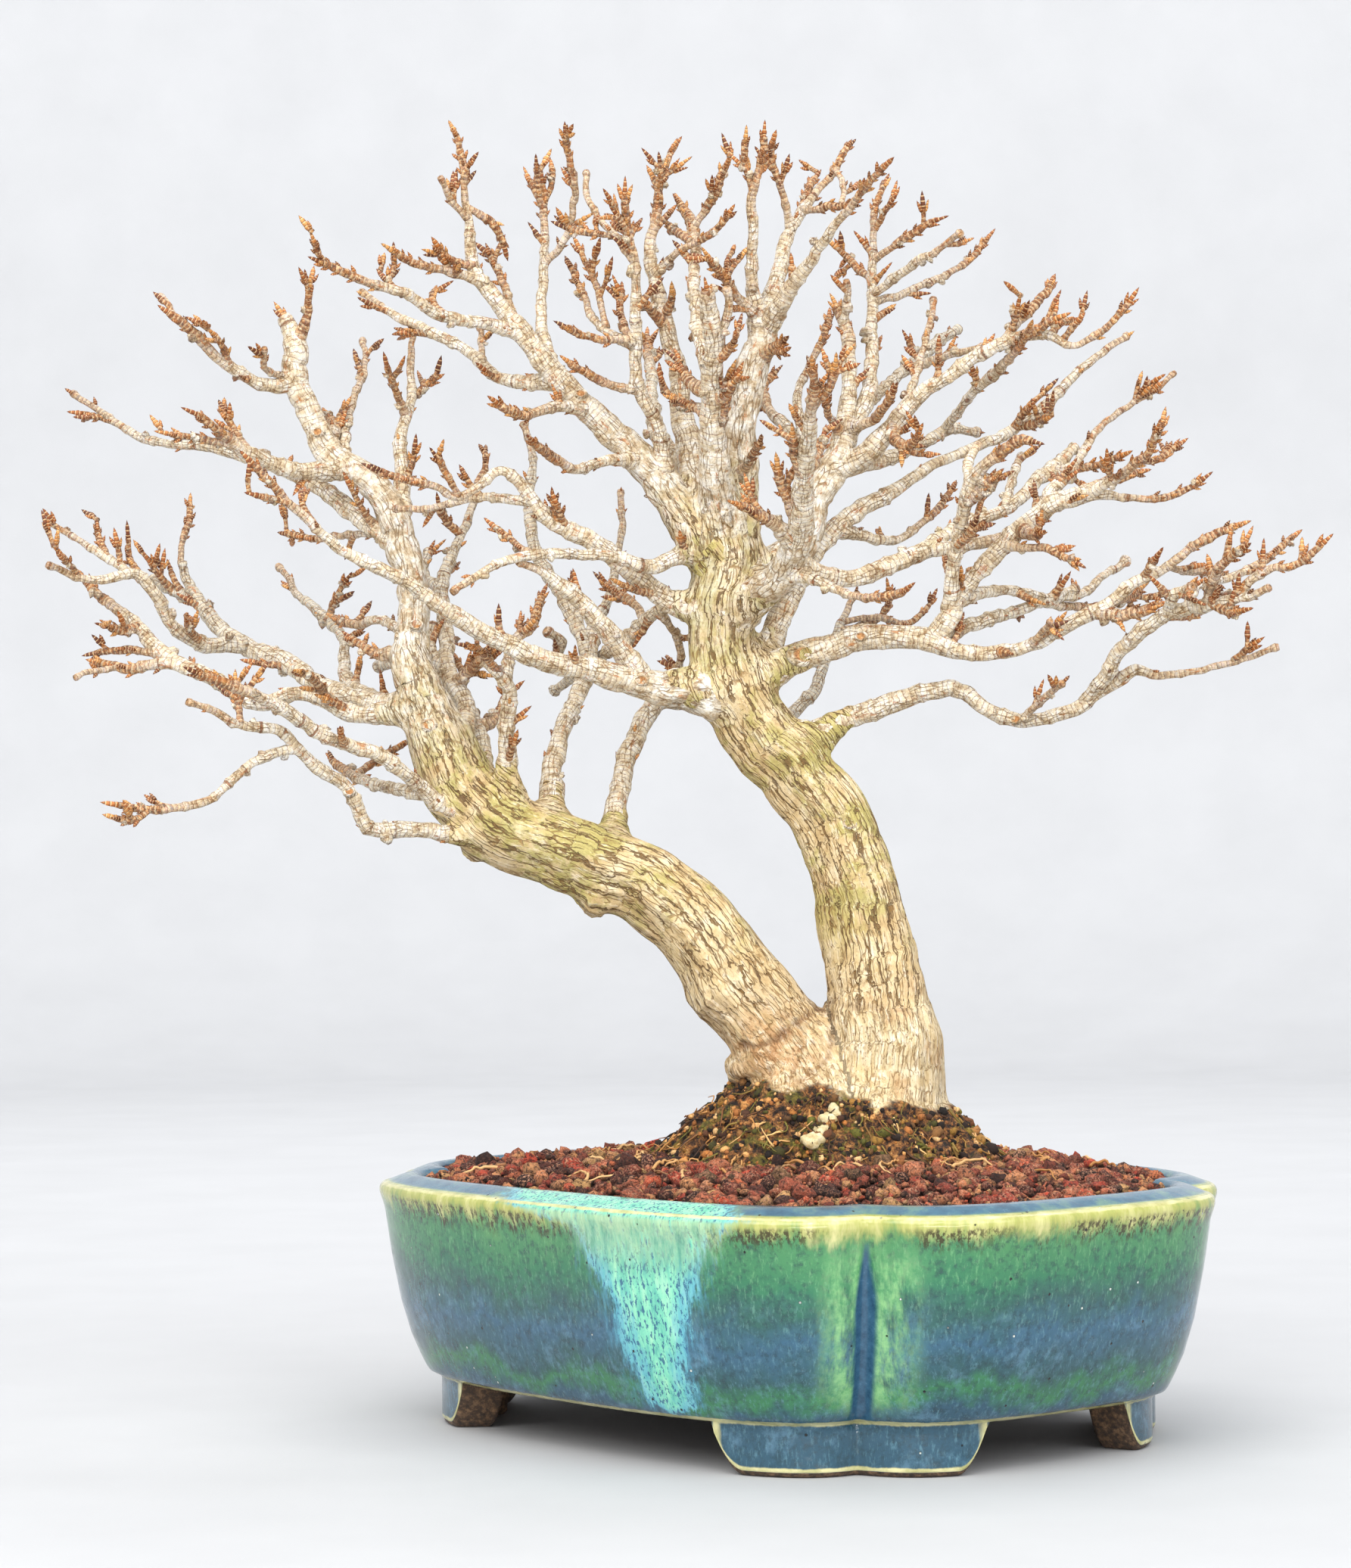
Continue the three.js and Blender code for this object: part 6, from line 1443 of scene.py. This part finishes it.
def limb_mesh(limb, bundle, draw, line=None, radii=None):
    """Adds a limb to a bundle, from its bends or from a line with its radii, and notes its buds."""
    if line is None:
        peak = max(bend[2] for bend in limb["bends"])
        line, radii, at, length = limb_line(limb, THIN_STEP if peak < THIN_LIMB else THICK_STEP)
    else:
        at = np.concatenate([[0], np.cumsum(np.linalg.norm(np.diff(line, axis=0), axis=1))])
        length, peak = at[-1], radii.max()
    budded = limb["end"] == BUD
    if budded:
        keep = at < length - min(BUD_ROOM, 0.45 * (length - limb["held"]))
        keep[:4] = True
        line, radii, at = line[keep], np.maximum(radii[keep], 0.7), at[keep]
    sides = next(count for least, count in LIMB_SIDES if peak > least)
    end = at[-1]
    places = node_places(end, peak, budded, draw)
    thick, ring = radii * (0.87 + 0.13 * ease(radii, 3, 6)), np.zeros(len(at))
    for place in places:
        knuckle = np.exp(-(((at - place) / KNUCKLE_WIDTH) ** 2))
        thick = thick * (1 + draw.uniform(0.1, 0.34) * knuckle * ease(radii, 4.2, 1.4))
        scar = np.exp(-(((at - place - SCAR_OFFSET) / SCAR_WIDTH) ** 2))
        ring = np.maximum(ring, draw.uniform(0.3, 1.0) * scar)
    foot = np.exp(-np.maximum(0, at - limb["held"] * 0.85) / (0.9 * radii[0]))
    thick = thick * (1 + flare_share(limb, radii[0], 0.6) * foot)
    if not budded and end > 8:
        thick = thick * (1 + 0.22 * np.exp(-(((at - end + 0.8) / 0.9) ** 2)))
    turn = once_round(sides)[None]
    grain = np.stack([np.cos(turn) * radii[:, None], np.sin(turn) * radii[:, None],
                      np.repeat(at[:, None], sides, axis=1)], axis=2).reshape(-1, 3)
    grain = np.vstack([grain, [[0, 0, 0], [0, 0, end]]]) + [0, 0, limb["number"] * 37.0]
    lump = 0.13 * rough(grain * [1, 1, 0.6], 3.2, 51) + 0.11 * rough(grain * [1, 1, 0.6], 1.3, 52)
    lump = 1 + lump[:len(line) * sides].reshape(len(line), sides)
    points, faces = tube(line, thick[:, None] * lump, sides)

    def at_each(values, last=0):
        """One value for each ring as one for each point, then those of the two end points."""
        return np.append(np.repeat(values, sides), [0, last])

    tip = ease(at, end - WARM_TIP, end - 5) * ease(radii, 2.3, 1.25) if budded else np.zeros(len(at))
    cut = np.zeros(len(points))
    if not budded:
        cut[-1] = 1
        cut[(len(line) - 1) * sides:len(line) * sides] = 0.35
    bundle.put(points, faces, grain=grain, young=at_each(ease(radii, *YOUNG_RADII)),
               tip=at_each(np.maximum(tip, 0.6 * ease(radii, 1.45, 0.9)), tip[-1]), cut=cut,
               back=ease(points[:, 1], *BACK_DEPTHS), crust=0.0, ring=at_each(ring * ease(radii, 4.6, 1.6)))
    note_buds(limb, line, radii, at, places, *frames_along(line), draw)


limb_draw = np.random.default_rng(404)
bundles = {name: Bundle() for name, _ in LIMB_GROUPS}
for limb in limbs[2:]:
    above = list(ancestors(limb))
    name = next(name for name, root in LIMB_GROUPS if any(root is one for one in above))
    if name == "limbs_right" and limb["bends"][-1][0] < MIDDLE_EDGE:
        name = "limbs_middle"
    limb_mesh(limb, bundles[name], limb_draw)
for name, bundle in bundles.items():
    settle(bundle.piece(name), bark_finish, "tree")

# Spurs are the last two years' growth: short shoots that stand along the thin wood and turn up
# towards the light, each ringed with scars and ended by a group of buds. Stubs are the knuckles of
# older wood, where shoots were pinched off year after year.
SPUR_COUNT, STUB_COUNT = 340, 420
# The greatest tip radius of a limb that bears them
SPUR_HOST, STUB_HOST = 2.2, 3.5


def spurs():
    draw = np.random.default_rng(88)
    bundle = Bundle()
    hosts = [limb for limb in limbs[2:] if limb["bends"][-1][2] < SPUR_HOST]
    for number in range(SPUR_COUNT):
        host = hosts[draw.integers(len(hosts))]
        line, radii, at, length = limb_line(host, 1.0)
        start = draw.uniform(min(0.3, (host["held"] + 3) / length), 0.9) * length
        i = int(np.argmin(np.abs(at - start)))
        if radii[i] > 3.4 or at[i] < host["held"] + 1:
            continue
        across, third = frames_along(line)
        ahead = np.cross(across[i], third[i])
        out = sideways(across[i], third[i], draw.uniform(0, 2 * math.pi))
        heading = out + ahead * draw.uniform(0.2, 1.0) + [0, 0, draw.uniform(0, 0.8)]
        heading /= np.linalg.norm(heading)
        reach = float(np.clip(draw.exponential(3.6) + 2.6, 2.6, 11)) * (1.15 - 0.65 * start / length)
        lift = np.array([0, 0, 1.0]) * draw.uniform(0, 0.5) + draw.normal(0, 0.22, 3)
        bends = [line[i], line[i] + heading * (radii[i] + reach * 0.35)]
        bends.append(bends[-1] + (heading + lift * 0.6) * reach * 0.4)
        bends.append(bends[-1] + (heading + lift) * reach * 0.4)
        path, _, _ = bend_through(bends, 0.6)
        thick = min(radii[i] * 0.75, draw.uniform(0.85, 1.25))
        spur = {"end": BUD, "held": radii[i], "number": 500 + number}
        limb_mesh(spur, bundle, draw, path, np.linspace(thick, 0.72, len(path)))
    return bundle


def stubs():
    draw = np.random.default_rng(61)
    bundle = Bundle()
    shapes = stone_shapes(2, 300, 6)
    hosts = [limb for limb in limbs[2:] if limb["bends"][-1][2] < STUB_HOST]
    for number in range(STUB_COUNT):
        host = hosts[draw.integers(len(hosts))]
        line, radii, at, length = limb_line(host, 1.0)
        i = draw.integers(3, len(line) - 2)
        if at[i] < host["held"] or at[i] > length - 6:
            continue
        across, third = frames_along(line)
        out = sideways(across[i], third[i], draw.uniform(0, 2 * math.pi))
        size = min(0.75 * radii[i], draw.uniform(0.8, 1.5)) + 0.15
        points, faces = shapes[draw.integers(len(shapes))]
        points = (points * draw.uniform(0.8, 1.2, 3) * size) @ random_turn(draw).T
        spot = line[i] + out * radii[i] * draw.uniform(0.8, 1.05)
        bundle.put(points + spot, faces, grain=points + number * 11.0, young=ease(radii[i], *YOUNG_RADII),
                   tip=0.25 * (draw.uniform() < 0.4), cut=0.0, back=ease(spot[1], *BACK_DEPTHS), crust=0.0,
                   ring=draw.uniform(0, 0.6))
    return bundle


settle(spurs().piece("spurs"), bark_finish, "tree")
settle(stubs().piece("stubs"), bark_finish, "tree")

# Winter buds: pointed and closed, wrapped in pairs of stiff red-brown scales that overlap like
# tiles, each pair turned a quarter from the one below it.
LONG_BUD = 3.2
BUD_SCALES = 4


def bud_shape(length, radius, sides, rows):
    points = []
    for row in range(rows):
        t = row / (rows - 1)
        full = min(1.0, 0.72 + 0.9 * t) * (1 - t) ** 0.72 * (1 + 0.45 * t)
        pair = math.floor(t * BUD_SCALES)
        for a in once_round(sides):
            scale = 1 + 0.16 * math.cos(2 * a + pair * math.pi) + 0.14 * (t * BUD_SCALES % 1)
            r = radius * full * scale
            points.append((r * math.cos(a), r * math.sin(a), t * length))
    faces = rings_to_faces(rows, sides)
    faces += [[(k + 1) % sides, k, len(points)] for k in range(sides)]
    return np.array(points + [(0, 0, 0)]), faces


def all_buds():
    draw = np.random.default_rng(55)
    bundle = Bundle()
    for spot, heading, length, radius in bud_notes:
        points, faces = bud_shape(length, radius, *((7, 7) if length > LONG_BUD else (6, 4)))
        ahead = Vector(heading.tolist()).normalized().to_track_quat("Z", "Y").to_matrix()
        turn = np.array(ahead) @ np.array(Matrix.Rotation(draw.uniform(0, 2 * math.pi), 3, "Z"))
        bundle.put(points @ turn.T + spot, faces, tone=draw.uniform(), way=points[:, 2] / length)
    return bundle


def bud_scales():
    f = Finish("bud_scales")
    tone, way = f.mark("tone"), f.mark("way")
    layer = f.calc("FRACT", f.both(way, float(BUD_SCALES)))
    f.coat(f.ramp(tone, 0.0, "5c2d13", 0.35, "8f4e22", 0.7, "b66d31", 1.0, "d69a55"))
    f.coat("efcb98", f.step(layer, 0.66, 0.9), 0.75)
    f.coat("391b0b", f.step(layer, 0.3, 0.05), 0.7)
    f.coat("4a2412", f.step(f.noise(0.8, 4, 0.7), 0.48, 0.68), 0.6)
    f.coat("33180d", f.step(way, 0.8, 0.98), 0.7)
    return f.done(0.5, f.bump(f.plus(layer, f.noise(0.4, 3)), 0.14))


settle(all_buds().piece("buds"), bud_scales(), "tree")

# Crust on the root base: crumbs of grit, bark and dried moss that cling to it, dead rootlets and moss
# that run down it, and the one bare cream root that shows through at the front.
CRUMB_COUNT, FIBRE_COUNT, FIBRE_PARTS = 2200, 560, 6
CRUST_LOW, CRUMBS_HIGH, FIBRES_HIGH = 66, 92, 91
# The swellings of the bare root: x, z and size
BARE_ROOT = [(4.2, 76.5, 2.7), (7.2, 78.6, 2.5), (9.0, 80.9, 2.2), (10.6, 83.4, 1.9)]


def mound_spots(draw, count, high):
    """Places on the crust, each with the direction out of it."""
    fit = np.flatnonzero((skin_crust > 0.7) & (skin_points[:, 2] > CRUST_LOW) & (skin_points[:, 2] < high)
                         & (skin_normals[:, 2] > -0.2))
    return [(skin_points[i], skin_normals[i]) for i in draw.choice(fit, count)]


def mound_crumbs():
    draw = np.random.default_rng(17)
    crumbs = Bundle()
    shapes = stone_shapes(1, 120)
    for spot, out in mound_spots(draw, CRUMB_COUNT, CRUMBS_HIGH):
        size = float(np.clip(draw.exponential(0.3) + 0.26, 0.26, 1.7)) * (1.0 if spot[2] > 74 else 1.3)
        drop_stone(crumbs, shapes[draw.integers(len(shapes))], spot + out * size * 0.1, size, draw)
    return crumbs


def crumb_earth():
    f = Finish("crumb_earth")
    f.coat(f.ramp(f.mark("hue"), 0.0, "0e0907", 0.28, "2b1a12", 0.42, "6a4127", 0.56, "c07a3c",
                  0.66, "6c6a26", 0.78, "1c130d", 0.9, "dd9c58", 1.0, "ecc68c"))
    f.coat("1c130d", f.step(f.noise(0.8, 5, 0.7), 0.48, 0.64), 0.7)
    return f.done(0.9, f.bump(f.noise(0.5, 4, 0.7), 0.25))


def crust_fibres():
    draw = np.random.default_rng(23)
    fibres = Bundle()
    for spot, out in mound_spots(draw, FIBRE_COUNT, FIBRES_HIGH):
        heading = np.array([spot[0] - MOUND_X, spot[1] - MOUND_Y, 0.0])
        heading = heading / (np.linalg.norm(heading) + 0.01) * 0.8 + [0, 0, -0.7] + draw.normal(0, 0.6, 3)
        heading = heading - out * heading.dot(out)
        heading /= np.linalg.norm(heading)
        length, off = draw.uniform(2.5, 9), draw.uniform(0.05, 0.45)
        line = [spot + out * off]
        for step in range(FIBRE_PARTS):
            heading = heading + draw.normal(0, 0.42, 3)
            heading = heading - out * (heading.dot(out) - 0.1 * (step < 3))
            line.append(line[-1] + heading / np.linalg.norm(heading) * length / FIBRE_PARTS)
        thick = np.linspace(draw.uniform(0.18, 0.42), 0.1, FIBRE_PARTS + 1)
        fibres.put(*tube(np.array(line), thick, 4), tone=draw.uniform())
    return fibres


def moss_fibre():
    f = Finish("moss_fibre")
    f.coat(f.ramp(f.mark("tone"), 0.0, "1c130c", 0.35, "452c1a", 0.55, "7d4f2a", 0.7, "6e6a2a",
                  0.85, "b57c42", 1.0, "e2b878"))
    return f.done(0.8, f.bump(f.noise(0.4, 3), 0.08))


def bare_root():
    scar = Bundle()
    shapes = stone_shapes(3, 200, len(BARE_ROOT))
    for (x, z, size), (points, faces) in zip(BARE_ROOT, shapes):
        front = np.flatnonzero(np.abs(skin_points[:, 0] - x) + np.abs(skin_points[:, 2] - z) < 1.6)
        spot = skin_points[front[np.argmin(skin_points[front, 1])]]
        scar.put(points * [size * 0.95, size * 0.5, size * 0.85] + [spot[0], spot[1] + 0.3, spot[2]], faces)
    return scar


def root_wood():
    f = Finish("root_wood")
    f.coat(f.ramp(f.noise(2, 5, 0.65), 0.3, "a88e5e", 0.5, "d2c294", 0.7, "e9dec0"))
    f.coat("6b5130", f.step(f.noise(1, 4, 0.7), 0.6, 0.7), 0.8)
    return f.done(0.75, f.bump(f.noise(0.8, 4, 0.7), 0.3))


settle(mound_crumbs().piece("mound_crumbs"), crumb_earth(), "tree")
settle(crust_fibres().piece("crust_fibres"), moss_fibre(), "tree")
settle(bare_root().piece("bare_root"), root_wood(), "tree")

# Pruning scars: round cuts where shoots were taken off close, each healed by a rolled lip of bark
# round a dry face of wood; the largest is the oval one at the foot of the long right limb.
SCARS = [(2.5, 201.5, 3.0, big_right), (-37, 195.5, 1.7, long_cross), (-9, 238, 1.5, core),
         (-20, 243, 1.3, front_post), (-90, 180, 1.9, left_trunk), (14, 152, 1.6, right_trunk),
         (-14, 262, 1.3, front_post), (-52, 266, 1.3, crown_left), (20, 203, 1.3, big_right),
         (5, 244, 1.2, ringed), (46, 215, 1.2, big_right_up), (-96, 207, 1.4, left_leader),
         (-119, 257, 1.4, left_leader), (60, 181, 1.3, low_right), (-112, 165, 1.2, low_front),
         (-27, 262, 1.2, middle_post)]
SCAR_SIDES = 20
# A scar from the outside in: share of its radius, height, and how far the wood is laid bare
SCAR_PROFILE = [(1.25, -1.2, 0), (1.2, -0.2, 0), (1.05, 0.28, 0), (0.86, 0.36, 0), (0.7, 0.16, 0.6),
                (0.6, -0.05, 1), (0.3, -0.02, 1)]


def pruning_scars():
    draw = np.random.default_rng(31)
    scars = Bundle()
    a = once_round(SCAR_SIDES)
    for x, z, size, limb in SCARS:
        sx, sz, r, y, _ = spring_from(limb, x, z)
        spot = np.array(seen(sx, sz, y))
        out = np.array([draw.uniform(-0.35, 0.35), -1.0, draw.uniform(0.1, 0.6)])
        out /= np.linalg.norm(out)
        turn = np.array(Vector(out.tolist()).to_track_quat("Z", "Y").to_matrix())
        wide, tall = size * draw.uniform(1.0, 1.25), size * draw.uniform(0.75, 0.95)
        rows = [np.stack([wide * s * np.cos(a), tall * s * np.sin(a), 0 * a + h], axis=1)
                for s, h, _ in SCAR_PROFILE]
        points = np.concatenate(rows + [[[0, 0, SCAR_PROFILE[0][1]], [0, 0, 0]]])
        cut = np.append(np.repeat([bare for _, _, bare in SCAR_PROFILE], SCAR_SIDES), [0, 1])
        scars.put(points @ turn.T + spot + out * (r - 0.1), closed_faces(len(rows), SCAR_SIDES), cut=cut,
                  grain=points, young=0.5, tip=0.0, back=0.0, crust=0.0, ring=0.0)
    return scars


settle(pruning_scars().piece("pruning_scars"), bark_finish, "tree")

# The pale table and the paper round it are one sheet that curves up on all sides, in metres. They
# aren't part of the tree. Five soft lights stand round them, and a pale room gives the rest.
SHEET_INSIDE, SHEET_FLAT, SHEET_CURVE, SHEET_TOP = (0.3, 0.8), 1.6, 0.5, 1.25
SHEET_SIDES, SHEET_BENDS = 96, 16
# Each light: its place, what it points at, its size, its power and its colour
LIGHTS = {"key": ((-0.75, -1.35, 1.3), (0, 0, 0.16), (1.7, 1.4), 31, (1.0, 0.985, 0.955)),
          "fill": ((0.85, -1.3, 1.15), (0, 0, 0.1), (1.7, 1.4), 21, (0.98, 0.99, 1.0)),
          "low": ((0.1, -1.75, 0.1), (0, 0, 0.02), (2.4, 0.18), 15, (1.0, 0.97, 0.93)),
          "top": ((0.0, -0.3, 1.65), (0, 0, 0.1), (1.8, 1.6), 12, (1.0, 1.0, 1.0)),
          "paper": ((0.0, 0.75, 1.5), (0, 1.75, 0.2), (2.2, 0.6), 22, (1.0, 1.0, 1.0))}
ROOM_COLOUR, ROOM_POWER = (0.95, 0.965, 1.0, 1.0), 0.56


def paper_sheet():
    profile = [(r, 0.0) for r in (*SHEET_INSIDE, SHEET_FLAT)]
    for step in range(1, SHEET_BENDS + 1):
        a = step / SHEET_BENDS * math.pi / 2
        profile.append((SHEET_FLAT + SHEET_CURVE * math.sin(a), SHEET_CURVE * (1 - math.cos(a))))
    profile.append((SHEET_FLAT + SHEET_CURVE, SHEET_TOP))
    points = [(r * math.cos(a), r * math.sin(a), z) for r, z in profile for a in once_round(SHEET_SIDES)]
    faces = rings_to_faces(len(profile), SHEET_SIDES)
    faces += [[(i + 1) % SHEET_SIDES, i, len(points)] for i in range(SHEET_SIDES)]
    mesh = bpy.data.meshes.new("backdrop")
    mesh.from_pydata(points + [(0, 0, 0)], [], faces)
    mesh.shade_smooth()
    return put_in_scene("backdrop", mesh)


def pale_paper():
    f = Finish("pale_paper")
    f.coat(f.ramp(f.noise(60, 3), 0.3, "babbbd", 0.7, "bebfc1"))
    return f.done(0.8, f.bump(f.noise(0.9, 4), 0.05))


def soft_light(name, place, aim, size, power, colour):
    lamp = bpy.data.lights.new(name, "AREA")
    lamp.shape, lamp.size, lamp.size_y = "RECTANGLE", *size
    lamp.energy, lamp.color = power, colour
    light = put_in_scene(name, lamp)
    light.location = place
    light.rotation_euler = (Vector(aim) - Vector(place)).to_track_quat("-Z", "Y").to_euler()


sheet = paper_sheet()
sheet.data.materials.append(pale_paper())
for name, light in LIGHTS.items():
    soft_light(name, *light)
scene = bpy.context.scene
scene.world = bpy.data.worlds.new("room")
scene.world.use_nodes = True
room = scene.world.node_tree.nodes["Background"].inputs
room["Color"].default_value, room["Strength"].default_value = ROOM_COLOUR, ROOM_POWER
scene.view_settings.view_transform = "Standard"
scene.view_settings.look = "None"

# The camera stands at EYE, about a metre off and level with the lower limbs, with a long lens. It is
# tipped up a little and rolled, as the photograph's was.
CAMERA_RISE, CAMERA_ROLL = 0.0137, -0.0113
LENS, SENSOR = 96.17, 36.0
camera_data = bpy.data.cameras.new("camera")
camera_data.lens, camera_data.sensor_width, camera_data.sensor_fit = LENS, SENSOR, "AUTO"
camera = put_in_scene("camera", camera_data)
aim = Matrix.Rotation(math.pi / 2 + CAMERA_RISE, 4, "X") @ Matrix.Rotation(CAMERA_ROLL, 4, "Z")
camera.matrix_world = Matrix.Translation(to_frame([EYE])[0]) @ aim
scene.camera = camera
